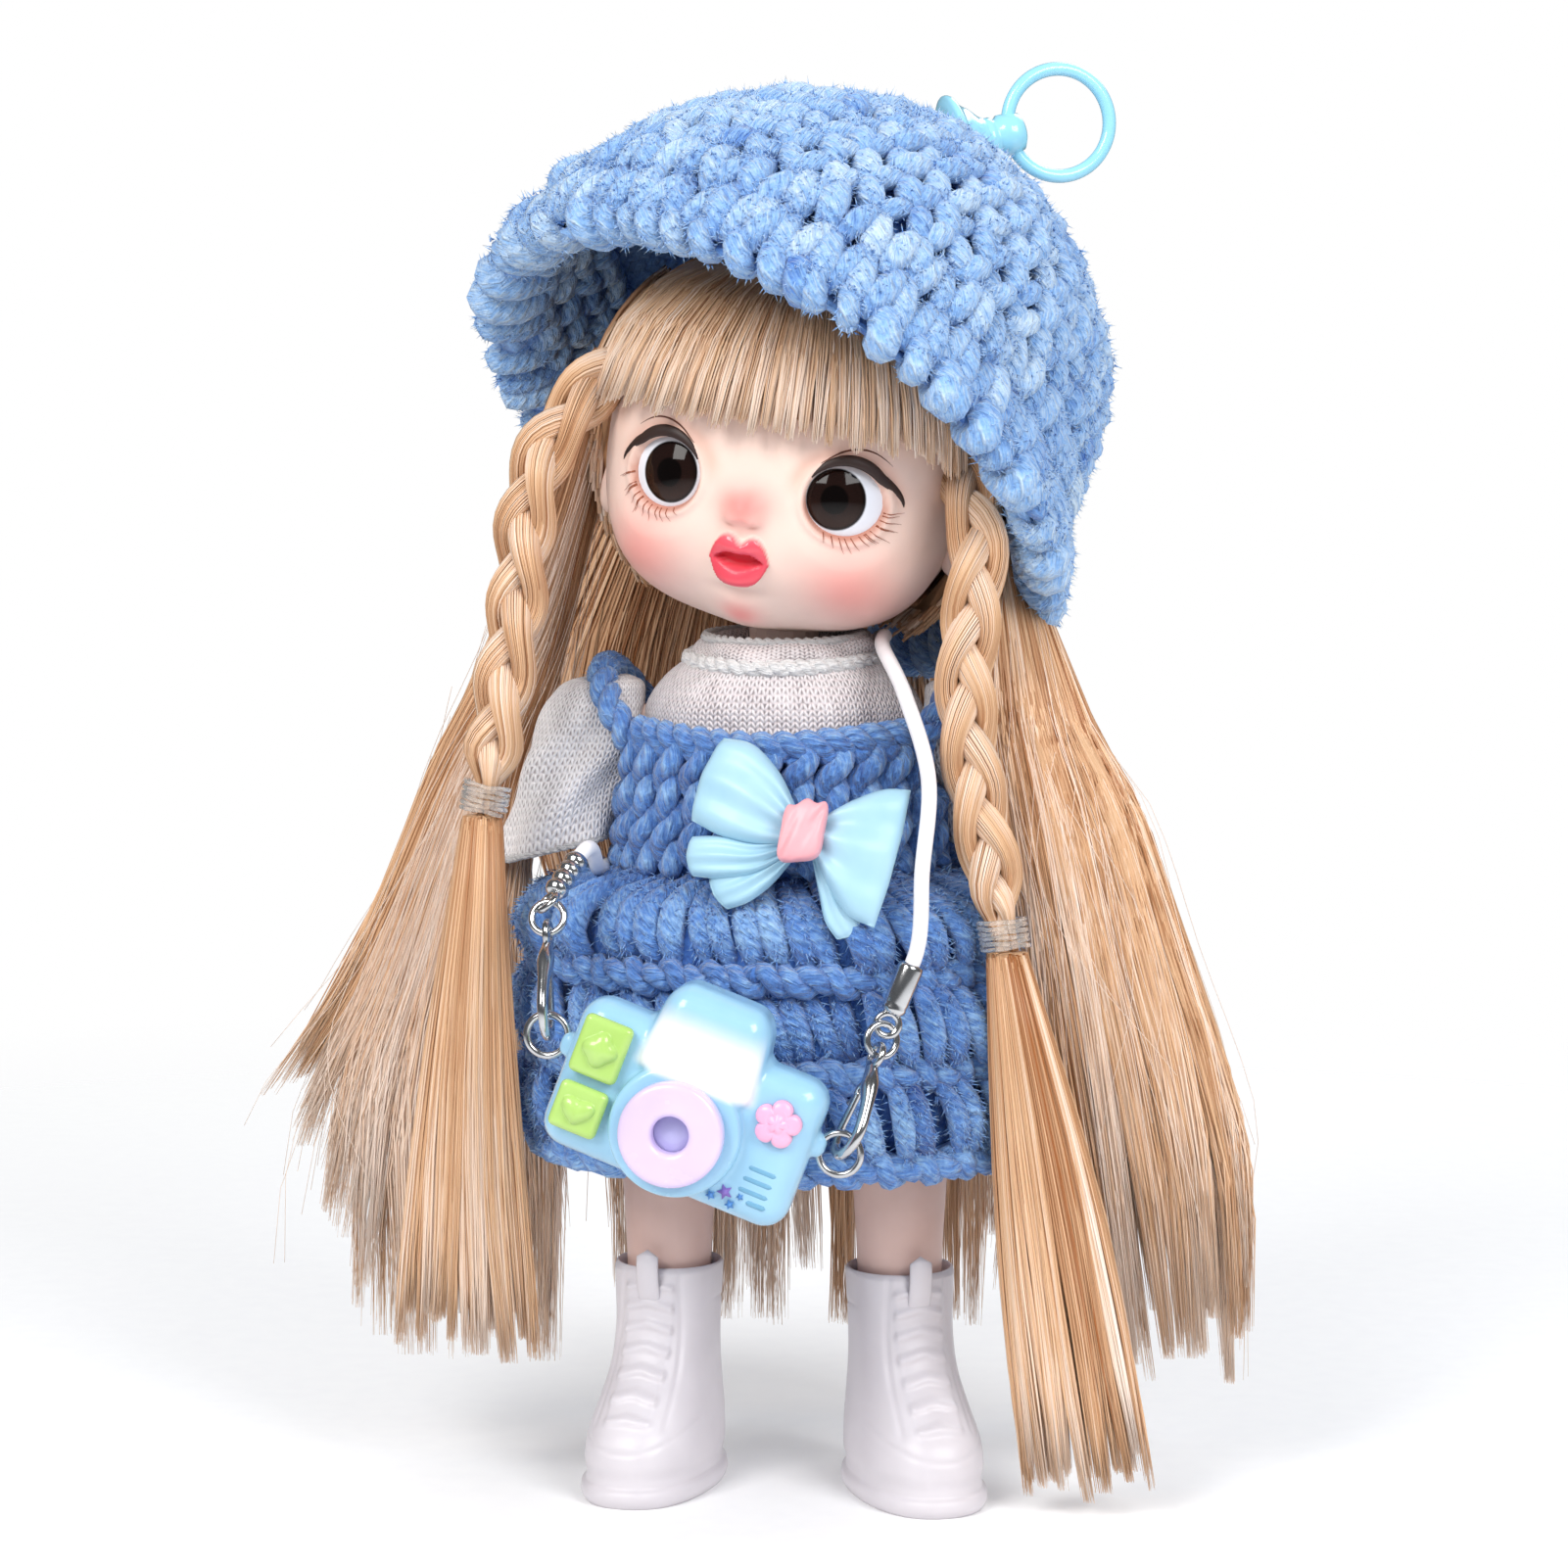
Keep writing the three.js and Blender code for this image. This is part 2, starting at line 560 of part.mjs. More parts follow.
function makeJumper() {
  const tunnel = cylinderAlong(vec(1, 0, 0), SHOULDER_PIN_RADIUS + RUNNING_GAP, 3 * SHOULDER_PIN_LENGTH);
  const body = sleeveWall(20, jumperAt(CLOTH_GAP + JUMPER_WALL), jumperAt(CLOTH_GAP));
  const trim = new THREE.BoxGeometry(60, 60, 10).translate(0, 0, COLLAR_BOTTOM + 5 - SEAT_GAP);
  add('jumper_body', cut(body, tunnel.translate(0, 0, SHOULDER_HEIGHT), trim), 'jumper', CLOTH);
  const collarRows = (grow, swell) => [
    [COLLAR_TOP, grow + swell * 0.4],
    [COLLAR_TOP - 1.4, grow + swell],
    [COLLAR_BOTTOM + 1.2, grow + swell],
    [COLLAR_BOTTOM, grow + swell * 0.6],
  ].map(([height, radius]) => [height, radius, radius]);
  const waist = 6.9;
  const collar = sleeveWall(16, collarRows(waist, COLLAR_RADIUS - waist), collarRows(waist, -0.2));
  add('jumper_collar', cut(collar, lofted(TORSO_ROWS.slice(1, 6).map((r) =>
    [r[0], r[1] + CLOTH_GAP, r[2] + CLOTH_GAP]), 16)), 'jumper', CLOTH);
}

// Arms: a peg-mounted arm inside a bell sleeve whose cap is round about the shoulder axis.
const capDepth = (height) => {
  const above = Math.max(0, height - SHOULDER_HEIGHT);
  return Math.sqrt(Math.max(0.3, SHOULDER_CAP_RADIUS ** 2 - above ** 2));
};
const sleeveRows = (side, grow) => [
  [SHOULDER_HEIGHT + 5.2 + grow * 0.3, 22.2, 1.6],
  [SHOULDER_HEIGHT + 4.4 + grow, 22.2, 3],
  [SHOULDER_HEIGHT + 2 + grow, 22.6, 4.3],
  [SHOULDER_HEIGHT - 2, 23.2, 4.7],
  [SHOULDER_HEIGHT - 7.5, 25, 5.4],
  [SHOULDER_HEIGHT - 13, 27, 7],
  [SHOULDER_HEIGHT - 14.9 - (grow > 0 ? 2 * grow : 0), 27.4, 7.2],
].map(([height, x, width]) => [height, width + grow, capDepth(height) + grow, side * x, 0]);

function makeArm(side, name) {
  const pinLength = SHOULDER_PIN_LENGTH + 2 * SEAT_GAP;
  const pin = cylinderAlong(vec(1, 0, 0), SHOULDER_PIN_RADIUS + RUNNING_GAP, pinLength);
  pin.translate(0, 0, SHOULDER_HEIGHT);
  const inner = sleeveRows(side, -SLEEVE_WALL);
  inner[inner.length - 1][0] -= 3;
  const sleeve = cut(lofted(sleeveRows(side, 0), 14), lofted(inner, 14), pin);
  add(`sleeve_${name}`, sleeve, 'jumper', CLOTH);
  const arm = lofted([
    [SHOULDER_HEIGHT + 2.75, 0.9, 1.4, side * 22.3, 0],
    [SHOULDER_HEIGHT + 0.6, 2.2, 2.8, side * 22.6, 0],
    [SHOULDER_HEIGHT - 2, 2.6, ARM_RADIUS, side * 23.1, 0],
    [SHOULDER_HEIGHT - 5.5, ARM_RADIUS, ARM_RADIUS, side * 24.4, 0],
    [SHOULDER_HEIGHT - 10.5, ARM_RADIUS, ARM_RADIUS, side * 26, 0],
    [SHOULDER_HEIGHT - 12.5, 2.2, 2.2, side * 26.6, 0],
  ], 10);
  add(`arm_${name}`, cut(arm, pin), 'skin');
}

// Legs: a ball-topped leg on the hip peg, standing in a bored shoe.
function makeLeg(side, name, splay) {
  const x = (side * HIP_SPACING) / 2;
  const dome = (share) => [HIP_HEIGHT + THIGH_RADIUS * share, THIGH_RADIUS * Math.sqrt(1 - share * share)];
  const rows = [0.97, 0.75, 0.4].map(dome);
  rows.push([HIP_HEIGHT, THIGH_RADIUS], [HIP_HEIGHT - 10, THIGH_RADIUS]);
  rows.push([(HIP_HEIGHT + SHOE_HEIGHT) / 2 - 5.5, KNEE_RADIUS], [SHOE_HEIGHT, ANKLE_RADIUS + 0.2]);
  rows.push([SHOE_INSOLE + 0.5, ANKLE_RADIUS]);
  const leg = lofted(rows.map(([height, r]) => [height, r, r, x, 0]), 16);
  const pin = cylinderAlong(vec(1, 0, 0), HIP_PIN_RADIUS + RUNNING_GAP, HIP_PIN_LENGTH + 2 * SEAT_GAP);
  add(`leg_${name}`, cut(leg, pin.translate(0, 0, HIP_HEIGHT)), 'skin');

  const toe = SHOE_HEEL_BACK - SHOE_LENGTH;
  const half = SHOE_TOE_WIDTH / 2;
  const shoeRows = [
    [SHOE_HEIGHT, SHOE_COLLAR_RADIUS, -SHOE_COLLAR_RADIUS, SHOE_COLLAR_RADIUS],
    [SHOE_HEIGHT * 0.7, half * 0.86, -7.3, SHOE_COLLAR_RADIUS],
    [SHOE_HEIGHT * 0.52, half * 0.88, toe * 0.55, SHOE_HEEL_BACK * 0.82],
    [SHOE_HEIGHT * 0.4, half * 0.92, toe * 0.78, SHOE_HEEL_BACK * 0.87],
    [SHOE_HEIGHT * 0.29, half * 0.95, toe * 0.92, SHOE_HEEL_BACK * 0.9],
    [SOLE_EDGE + 0.5, half * 0.95, toe * 0.965, SHOE_HEEL_BACK * 0.95],
    [SOLE_EDGE, half, toe, SHOE_HEEL_BACK], [0, half * 0.97, toe * 0.985, SHOE_HEEL_BACK * 0.98],
  ];
  const shaped = loft(20, shoeRows.length - 1, (u, v) => {
    const [height, width, front, back] = along(spread(shoeRows), v);
    const angle = 2 * Math.PI * u;
    const round = (value) => Math.sign(value) * Math.abs(value) ** 0.8;
    const taper = 1 - 0.16 * ease(Math.sin(angle), 0, 1) * (back > 7 ? 1 : 0);
    const y = (front + back) / 2 + ((back - front) / 2) * round(Math.sin(angle));
    return vec(width * taper * round(Math.cos(angle)), y, height);
  }, (v) => vec(0, 0, along(spread(shoeRows), v)[0]));
  const boreDepth = SHOE_HEIGHT - SHOE_INSOLE;
  const bore = cylinderAlong(vec(0, 0, 1), ANKLE_RADIUS + 0.3 + SEAT_GAP, 2 * boreDepth, 16);
  const shoe = cut(shaped, bore.translate(0, 0, SHOE_HEIGHT));
  add(`shoe_${name}`, shoe.rotateZ(rad(splay)).translate(x, 0, 0), 'shoe', { roughness: 0.5 });
}

// Pinafore: skirt with a full shelf at the hip, waistband, bib and two shoulder straps, worked as one piece.
const SHELF = SHOULDER_HEIGHT - 19.3;

function makePinafore() {
  const outer = [
    [SKIRT_TOP, WAIST_HALF_WIDTH + 1.6, WAIST_HALF_DEPTH + 3.4],
    [SHELF + 0.4, WAIST_HALF_WIDTH + 2.2, WAIST_HALF_DEPTH + 3.8],
    [SHELF, SKIRT_HALF_WIDTH * 0.8, SKIRT_HALF_DEPTH * 0.84],
    [SHELF - 1.6, SKIRT_HALF_WIDTH * 0.93, SKIRT_HALF_DEPTH * 0.95],
    [SHELF - 5, SKIRT_HALF_WIDTH, SKIRT_HALF_DEPTH],
    [SKIRT_HEM + 8, SKIRT_HALF_WIDTH, SKIRT_HALF_DEPTH],
    [SKIRT_HEM, SKIRT_HALF_WIDTH * 0.97, SKIRT_HALF_DEPTH * 0.97],
  ];
  const inner = [
    [SKIRT_TOP, WAIST_HALF_WIDTH, WAIST_HALF_DEPTH], [SHELF + 0.4, WAIST_HALF_WIDTH, WAIST_HALF_DEPTH],
    [SHELF - SKIRT_WALL * 0.6, WAIST_HALF_WIDTH, WAIST_HALF_DEPTH],
    [SHELF - SKIRT_WALL, WAIST_HALF_WIDTH + 4, WAIST_HALF_DEPTH + 2.6],
    [SHELF - 2 * SKIRT_WALL, SKIRT_HALF_WIDTH - SKIRT_WALL, SKIRT_HALF_DEPTH - SKIRT_WALL],
    [SKIRT_HEM + 8, SKIRT_HALF_WIDTH - SKIRT_WALL, SKIRT_HALF_DEPTH - SKIRT_WALL],
    [SKIRT_HEM, SKIRT_HALF_WIDTH - SKIRT_WALL, SKIRT_HALF_DEPTH - SKIRT_WALL],
  ];
  const bibSkin = (grow) => (u, v) => {
    const spanAt = BIB_HALF_ANGLE * (1 - 0.12 * v);
    const angle = rad(spanAt * (2 * u - 1));
    const height = SKIRT_TOP - 2 + (BIB_TOP - SKIRT_TOP + 2 - 3.4 * bump(u - 0.5, 0.3)) * v;
    const [wide, deep] = [WAIST_HALF_WIDTH + grow, WAIST_HALF_DEPTH + grow];
    return vec(wide * Math.sin(angle), -deep * Math.cos(angle), height);
  };
  const straps = [-1, 1].map((side) => tube(new THREE.CatmullRomCurve3([
    vec(side * 18.2, -9.4, SHOULDER_HEIGHT - 2),
    vec(side * 20.6, -6.4, SHOULDER_HEIGHT + 5.9),
    vec(side * 21.4, 0, SHOULDER_HEIGHT + 8.7),
    vec(side * 20.4, 7.2, SHOULDER_HEIGHT + 5.7),
    vec(side * 17.2, 13.4, SHOULDER_HEIGHT - 2.5),
    vec(side * 13.6, 15.8, SHOULDER_HEIGHT - 11.1),
  ]), STRAP_RADIUS, 6, 10));
  const bib = slab(12, 3, bibSkin(BIB_WALL), bibSkin(0.01));
  add('pinafore', join(sleeveWall(24, outer, inner), bib, ...straps), 'yarn', CLOTH);
}

// Bow: a flat moulded ribbon with two loops and two tails, and a knot seated on its face.
function makeBow() {
  const halfSpan = BOW_SPAN / 2;
  const halfHeight = BOW_HEIGHT / 2;
  const outline = new THREE.Shape();
  const side = [
    [0.1, 0.2], [0.45, 0.75], [0.62, 1], [0.86, 0.92], [1, 0.42], [0.97, -0.12], [0.88, -0.3],
    [0.96, -0.72], [0.66, -1], [0.5, -0.78], [0.28, -0.62], [0.1, -0.26],
  ];
  const points = [...side, ...side.map(([x, y]) => [-x, y]).reverse()];
  outline.setFromPoints(points.map(([x, y]) => new THREE.Vector2(x * halfSpan, y * halfHeight)));
  const bevel = BOW_DEPTH * 0.3;
  const ribbon = new THREE.ExtrudeGeometry(outline, {
    depth: BOW_DEPTH - 2 * bevel, bevelSize: -0.01, bevelThickness: bevel, bevelOffset: -bevel,
    bevelSegments: 1, steps: 1,
  });
  const bowTurn = new THREE.Euler(rad(90 - BOW_LEAN), 0, rad(-BOW_TURN));
  const place = new THREE.Matrix4().makeRotationFromEuler(bowTurn);
  place.setPosition(BOW_CENTRE);
  add('bow_ribbon', seal(ribbon.translate(0, 0, bevel - BOW_DEPTH / 2)).applyMatrix4(place), 'bow', GLOSS);
  const knot = surface(12, 8, (u, v) => {
    const point = direction(2 * Math.PI * u, Math.PI * (0.5 - v));
    const squared = (value) => Math.sign(value) * Math.abs(value) ** 0.6;
    const rise = BOW_DEPTH / 2 + SEAT_GAP + 1.4 + 1.4 * squared(point.z);
    return vec(2.5 * squared(point.x), 3.4 * squared(point.y), rise);
  });
  add('bow_knot', knot.applyMatrix4(place), 'pink', GLOSS);
}

// Toy camera in its own frame: width along x, front at -y, height along z.
const cameraGroup = new THREE.Group();
cameraGroup.position.copy(CAMERA_CENTRE);
cameraGroup.rotation.set(0, rad(CAMERA_TURN), 0);
cameraGroup.updateMatrix();
doll.add(cameraGroup);
const EYELET_HEIGHT = 2;
const eyeletLocal = (side) => vec(side * (CAMERA_WIDTH / 2 + EYELET_REACH), 0, EYELET_HEIGHT);

function frontExtrude(shape, depth, bevel, front) {
  const made = new THREE.ExtrudeGeometry(shape, {
    depth: depth - 2 * bevel, bevelSize: bevel, bevelThickness: bevel, bevelOffset: -bevel,
    bevelSegments: 1, curveSegments: 3,
  });
  return seal(made.translate(0, 0, bevel)).rotateX(Math.PI / 2).translate(0, front + depth, 0);
}

function roundedRect(width, height, corner) {
  const shape = new THREE.Shape();
  const [x, y] = [width / 2, height / 2];
  shape.moveTo(-x + corner, -y);
  shape.lineTo(x - corner, -y);
  shape.quadraticCurveTo(x, -y, x, -y + corner);
  shape.lineTo(x, y - corner);
  shape.quadraticCurveTo(x, y, x - corner, y);
  shape.lineTo(-x + corner, y);
  shape.quadraticCurveTo(-x, y, -x, y - corner);
  shape.lineTo(-x, -y + corner);
  shape.quadraticCurveTo(-x, -y, -x + corner, -y);
  return shape;
}

function makeCamera() {
  const front = -CAMERA_DEPTH / 2;
  const outline = roundedRect(CAMERA_WIDTH, CAMERA_HEIGHT, CAMERA_CORNER);
  const box = frontExtrude(outline, CAMERA_DEPTH, 1.2, front);
  const hump = new THREE.Shape();
  const [humpHalf, humpBase] = [CAMERA_HUMP_WIDTH / 2, CAMERA_HEIGHT / 2 - 4];
  hump.moveTo(-humpHalf, humpBase);
  hump.lineTo(humpHalf, humpBase);
  const humpTop = CAMERA_HEIGHT / 2 + CAMERA_HUMP_HEIGHT;
  hump.lineTo(humpHalf * 0.78, humpTop - 1.5);
  hump.quadraticCurveTo(humpHalf * 0.72, humpTop, humpHalf * 0.5, humpTop);
  hump.lineTo(-humpHalf * 0.5, humpTop);
  hump.quadraticCurveTo(-humpHalf * 0.72, humpTop, -humpHalf * 0.78, humpTop - 1.5);
  hump.closePath();
  const roof = frontExtrude(hump, CAMERA_DEPTH * 1.15, 1, front - CAMERA_DEPTH * 0.13);
  const barrelFront = front - 2.2;
  const barrel = cylinderAlong(vec(0, 1, 0), BARREL_RADIUS, 6, 18).translate(0, barrelFront + 3, -1.6);
  const well = cylinderAlong(vec(0, 1, 0), LENS_RING_RADIUS - 1, 5, 14).translate(0, barrelFront, -1.6);
  const lugShape = roundedRect(CAMERA_WIDTH + 2 * LUG_REACH, 3.6, 1);
  const lugs = frontExtrude(lugShape, LUG_THICKNESS, 0.2, -LUG_THICKNESS / 2).translate(0, 0, EYELET_HEIGHT);
  const wires = [-1, 1].map((side) => eyelet(side, LINK_WIRE + 0.25));
  const slots = [0, 1, 2, 3].map((i) => {
    const slot = new THREE.BoxGeometry(SLOT_WIDTH, 2 * SLOT_DEPTH, SLOT_LENGTH);
    return slot.translate(CAMERA_WIDTH * 0.28 + 1.45 * i, front, -CAMERA_HEIGHT * 0.23);
  });
  const body = cut(join(box, roof, barrel, lugs), well, ...wires, ...slots);
  add('camera_body', body, 'camera', GLOSS, cameraGroup);

  const stem = LENS_RING_RADIUS - 1 - SEAT_GAP;
  const ringProfile = [
    [stem, 2.1], [stem, -SEAT_GAP], [LENS_RING_RADIUS, -SEAT_GAP], [LENS_RING_RADIUS + 0.3, -1.4],
    [LENS_RING_RADIUS - 0.6, -2.6], [LENS_HOLE_RADIUS + 0.9, -2.6], [LENS_HOLE_RADIUS, -1.8],
    [LENS_HOLE_RADIUS, 2.1], [stem, 2.1],
  ].map(([r, h]) => new THREE.Vector2(r, h));
  const lensRing = new THREE.LatheGeometry(ringProfile, 16).translate(0, barrelFront, -1.6);
  add('lens_ring', geometryOf(solid(lensRing)), 'lilac', GLOSS, cameraGroup);
  const lensEdge = LENS_HOLE_RADIUS - SEAT_GAP;
  const lensProfile = [[0, 2], [lensEdge, 2], [lensEdge, 0.3], [1, -0.1], [0, -0.2]];
  const lens = new THREE.LatheGeometry(lensProfile.map(([r, h]) => new THREE.Vector2(r, h)), 14);
  add('lens', geometryOf(solid(lens.translate(0, barrelFront, -1.6))), 'glass', GLOSS, cameraGroup);

  const button = (tall, height) => {
    const face = front - BUTTON_RISE - SEAT_GAP;
    const pad = frontExtrude(roundedRect(BUTTON_WIDTH, tall, 1.2), BUTTON_RISE, 0.4, face);
    const dome = new THREE.SphereGeometry(1.8, 8, 6).scale(1, 0.5, 1).translate(0, face, 0);
    return join(pad, dome).translate(-CAMERA_WIDTH / 2 + BUTTON_WIDTH / 2 + 1, 0, height);
  };
  add('button_upper', button(UPPER_BUTTON_HEIGHT, 3.8), 'green', GLOSS, cameraGroup);
  add('button_lower', button(LOWER_BUTTON_HEIGHT, -3.6), 'green', GLOSS, cameraGroup);
  const petals = new THREE.Shape();
  petals.setFromPoints(Array.from({ length: 20 }, (_, i) => {
    const angle = (2 * Math.PI * i) / 20;
    const radius = 1.9 + 0.5 * Math.cos(5 * angle);
    return new THREE.Vector2(radius * Math.sin(angle), radius * Math.cos(angle));
  }));
  const blossom = frontExtrude(petals, 1.2, 0.35, front - 1.2 - SEAT_GAP);
  add('flower', blossom.translate(CAMERA_WIDTH * 0.35, 0, 3.4), 'blossom', GLOSS, cameraGroup);
  add('eyelet_right', eyelet(-1, LINK_WIRE), 'steel', METAL, cameraGroup);
  add('eyelet_left', eyelet(1, LINK_WIRE), 'steel', METAL, cameraGroup);
}

function eyelet(side, wire) {
  const centre = eyeletLocal(side);
  const ring = new THREE.TorusGeometry(EYELET_RADIUS, wire, 6, 14).rotateX(Math.PI / 2);
  return ring.translate(centre.x, centre.y, centre.z);
}

// Strap hardware, worked upwards from each eyelet: clasp hook, clasp eye, link, ferrule eye, ferrule, cord.
const EYE_RING = 1.3;
const STRAND = {
  right: { side: -1, rise: vec(-1.4, 8, 19), lead: vec(0.35, 0.7, 0.62), spin: 0 },
  left: { side: 1, rise: vec(5.9, 6.5, 17.2), lead: vec(0.36, 0.12, 0.92), spin: 30 },
};
for (const { rise, lead } of Object.values(STRAND)) {
  rise.normalize();
  lead.normalize();
}

function strandFrame(name) {
  const { side, rise, lead, spin } = STRAND[name];
  const origin = eyeletLocal(side).applyMatrix4(cameraGroup.matrix);
  const across = vec(0, 1, 0).addScaledVector(rise, -rise.y).normalize().applyAxisAngle(rise, rad(spin));
  const through = new THREE.Vector3().crossVectors(rise, across);
  const at = (up, over) => origin.clone().addScaledVector(rise, up).addScaledVector(across, over);
  const linkCentre = at(CLASP_LENGTH + LINK_RADIUS, 0);
  const ferruleEye = at(CLASP_LENGTH + 2 * LINK_RADIUS, 0);
  return { origin, rise, lead, across, through, at, linkCentre, ferruleEye };
}

function ringIn(centre, first, second, radius, wire) {
  const normal = new THREE.Vector3().crossVectors(first, second);
  const frame = new THREE.Matrix4().makeBasis(first, second, normal).setPosition(centre);
  return new THREE.TorusGeometry(radius, wire, 6, 14).applyMatrix4(frame);
}

const gateHinge = (name) => strandFrame(name).at(CLASP_LENGTH * 0.66, CLASP_WIDTH * 0.14);

function makeStrand(name) {
  const { rise, lead, across, through, at, linkCentre, ferruleEye } = strandFrame(name);
  const [length, width] = [CLASP_LENGTH, CLASP_WIDTH];
  const hook = new THREE.CatmullRomCurve3([
    at(length - EYE_RING, 0), at(length * 0.72, -width * 0.2), at(length * 0.45, -width * 0.46),
    at(width * 0.4, -width * 0.5), at(width * 0.1, -width * 0.28), at(0, 0), at(width * 0.12, width * 0.3),
    at(width * 0.42, width * 0.42),
  ]);
  const eye = ringIn(at(length, 0), rise, across, EYE_RING, LINK_WIRE);
  add(`clasp_${name}`, join(eye, tube(hook, CLASP_WIRE, 6, 18)), 'steel', METAL);
  const hinge = gateHinge(name);
  const tip = at(width * 0.42, width * 0.42);
  const axis = hinge.clone().sub(tip);
  const gateLength = axis.length() - 2 * RUNNING_GAP;
  const middle = hinge.clone().add(tip).multiplyScalar(0.5);
  const gate = cylinderAlong(axis, CLASP_WIRE, gateLength, 10).translate(middle.x, middle.y, middle.z);
  add(`clasp_gate_${name}`, gate, 'steel', METAL);
  add(`link_${name}`, ringIn(linkCentre, rise, through, LINK_RADIUS, LINK_WIRE), 'steel', METAL);

  const sideways = across.clone().addScaledVector(lead, -lead.dot(across)).normalize();
  const ferruleAt = (distance) => ferruleEye.clone().addScaledVector(lead, distance);
  const body = cylinderAlong(lead, FERRULE_RADIUS, FERRULE_LENGTH, 10)
    .translate(...ferruleAt(EYE_RING + FERRULE_LENGTH / 2).toArray());
  const bore = cylinderAlong(lead, CORD_RADIUS + SEAT_GAP, FERRULE_LENGTH, 10)
    .translate(...ferruleAt(EYE_RING + FERRULE_LENGTH).toArray());
  const loop = ringIn(ferruleEye, lead, sideways, EYE_RING, LINK_WIRE);
  add(`ferrule_${name}`, join(loop, cut(body, bore)), 'steel', METAL);
  const reaches = [FERRULE_LENGTH * 0.6, FERRULE_LENGTH * 0.8, FERRULE_LENGTH + 0.6];
  return reaches.map((reach) => ferruleAt(EYE_RING + reach));
}

function makeStrap() {
  const left = makeStrand('left');
  const right = makeStrand('right');
  const over = (x, y, height) => vec(x, y, SHOULDER_HEIGHT + height);
  const route = [
    ...left, over(19.4, -24.6, -15.5), over(19.9, -22.6, -5.5), over(16.6, -17.6, 4), over(12.9, -8, 9.1),
    over(11.9, 2, 9.9), over(9, 11.5, 8.1), over(3, 17, 2.5), over(-6, 19.5, -6.5), over(-14.5, 18.4, -14.5),
    over(-19.6, 9.5, -17.6), over(-21.2, 0, -17.9), over(-21, -9.5, -17.5), ...right.reverse(),
  ];
  add('strap_cord', tube(new THREE.CatmullRomCurve3(route), CORD_RADIUS, 6, 48), 'cord', CLOTH);
}

// Hair that hangs: flat lofts whose sections turn from lying along the head to hanging as a curtain.
function fall(rows, nu = 10, steps = 10) {
  const at = (v) => along(rows, v);
  const ends = (v) => {
    const [x, y, z] = at(v);
    return vec(x, y, z);
  };
  return loft(nu, steps, (u, v) => {
    const [x, y, z, width, thick, turn] = at(v);
    const angle = 2 * Math.PI * u;
    const section = vec(width * Math.cos(angle), thick * Math.sin(angle), 0);
    return section.applyAxisAngle(vec(0, 0, 1), rad(turn)).add(vec(x, y, z));
  }, ends);
}

// Falls are measured from the shoulder, and below it they shorten or lengthen with the body.
const hang = (rows) => fall(rows.map(([v, x, y, height, ...rest]) => {
  const below = height < 0 ? height * (SHOULDER_HEIGHT / HANG_LENGTH) : height;
  return [v, x, y, SHOULDER_HEIGHT + below, ...rest];
}));

const sleeveClear = (side) => lofted(sleeveRows(side, 2 * CLOTH_GAP), 22);
const wigClear = () => {
  const rows = 10;
  const grow = WIG_SEAT + SEAT_GAP + BANGS_WALL;
  const around = surface(24, rows, (u, v) => skull(direction(2 * Math.PI * u, Math.PI * (0.5 - v)), grow));
  return around.applyMatrix4(headGroup.matrix);
};

function makeFalls() {
  const hatClear = hatShell(2 * SEAT_GAP);
  const right = hang([
    [0, -26, 5, 31.5, 6, 1.6, 80], [0.2, -31, 5.5, 12.5, 6.5, 2, 65], [0.4, -38, 4, -6.5, 7, 2.2, 35],
    [0.62, -43.5, 2, -30.5, 10.5, 2.2, 10], [0.85, -47, 1, -53.5, 17, 2, 0], [1, -46, 1, -74.5, 14, 1.2, 0],
  ]);
  add('hair_right', cut(right, sleeveClear(-1), wigClear(), hatClear), 'hair', CLOTH);
  const left = hang([
    [0, 25.4, -1, 19.5, 5, 1.4, 85], [0.13, 29.4, -8, 7.5, 5.4, 1.6, 35], [0.3, 35, -11.5, -8.5, 8, 1.8, 8],
    [0.5, 39, -10, -25.5, 9.5, 2, 4], [0.78, 44, -2, -53.5, 12, 2, 0], [1, 47, 1, -77.5, 9, 1.2, 0],
  ]);
  add('hair_left', cut(left, sleeveClear(1), wigClear(), hatClear), 'hair', CLOTH);
  const behind = SKIRT_HALF_DEPTH + 3.6;
  const back = hang([
    [0, 0, 24.5, 22.5, 14, 1.6, 0], [0.2, 0, (24.5 + 2 * behind) / 3, 4.5, 17, 2.2, 0],
    [0.5, 0, behind, -23.5, 21, 2.4, 0], [0.8, 0, behind + 0.4, -53.5, 24, 2.2, 0],
    [1, 0, behind + 0.4, -73.5, 22, 1.4, 0],
  ]);
  add('hair_back', cut(back, wigClear(), hatClear), 'hair', CLOTH);
}

// Braids: three-strand plaits drawn as swelling lofts, each bound by a wound elastic above a loose tail.
const BRAIDS = {
  right: [[-19, -11, 42.5], [-26.4, -15.4, 31.5], [-29.6, -16.5, 12.5], [-33.3, -18, -10.5]],
  left: [[19.5, -6.5, 36], [24.6, -14.6, 23.5], [23.6, -17.5, 5.5], [28.6, -18.5, -25.5]],
};
const braidPath = (name) => new THREE.CatmullRomCurve3(
  BRAIDS[name].map(([x, y, height]) => vec(x, y, SHOULDER_HEIGHT + height)));
// Tails, as offsets from the end of their braid.
const TAILS = {
  right: [[0, 0, 0, 0, 2, 1.8, 0], [0.35, -2, 2, -25, 5, 2.4, 0], [1, -4, 6, -64, 9, 1.4, 0]],
  left: [[0, 0, 0, 0, 2, 1.8, 0], [0.35, 3.8, 2.5, -24, 5.5, 2.6, 0], [1, 9.8, 6, -63.5, 7.4, 1.6, 0]],
};
const TIE_LENGTH = TIE_TURNS * TIE_PITCH;

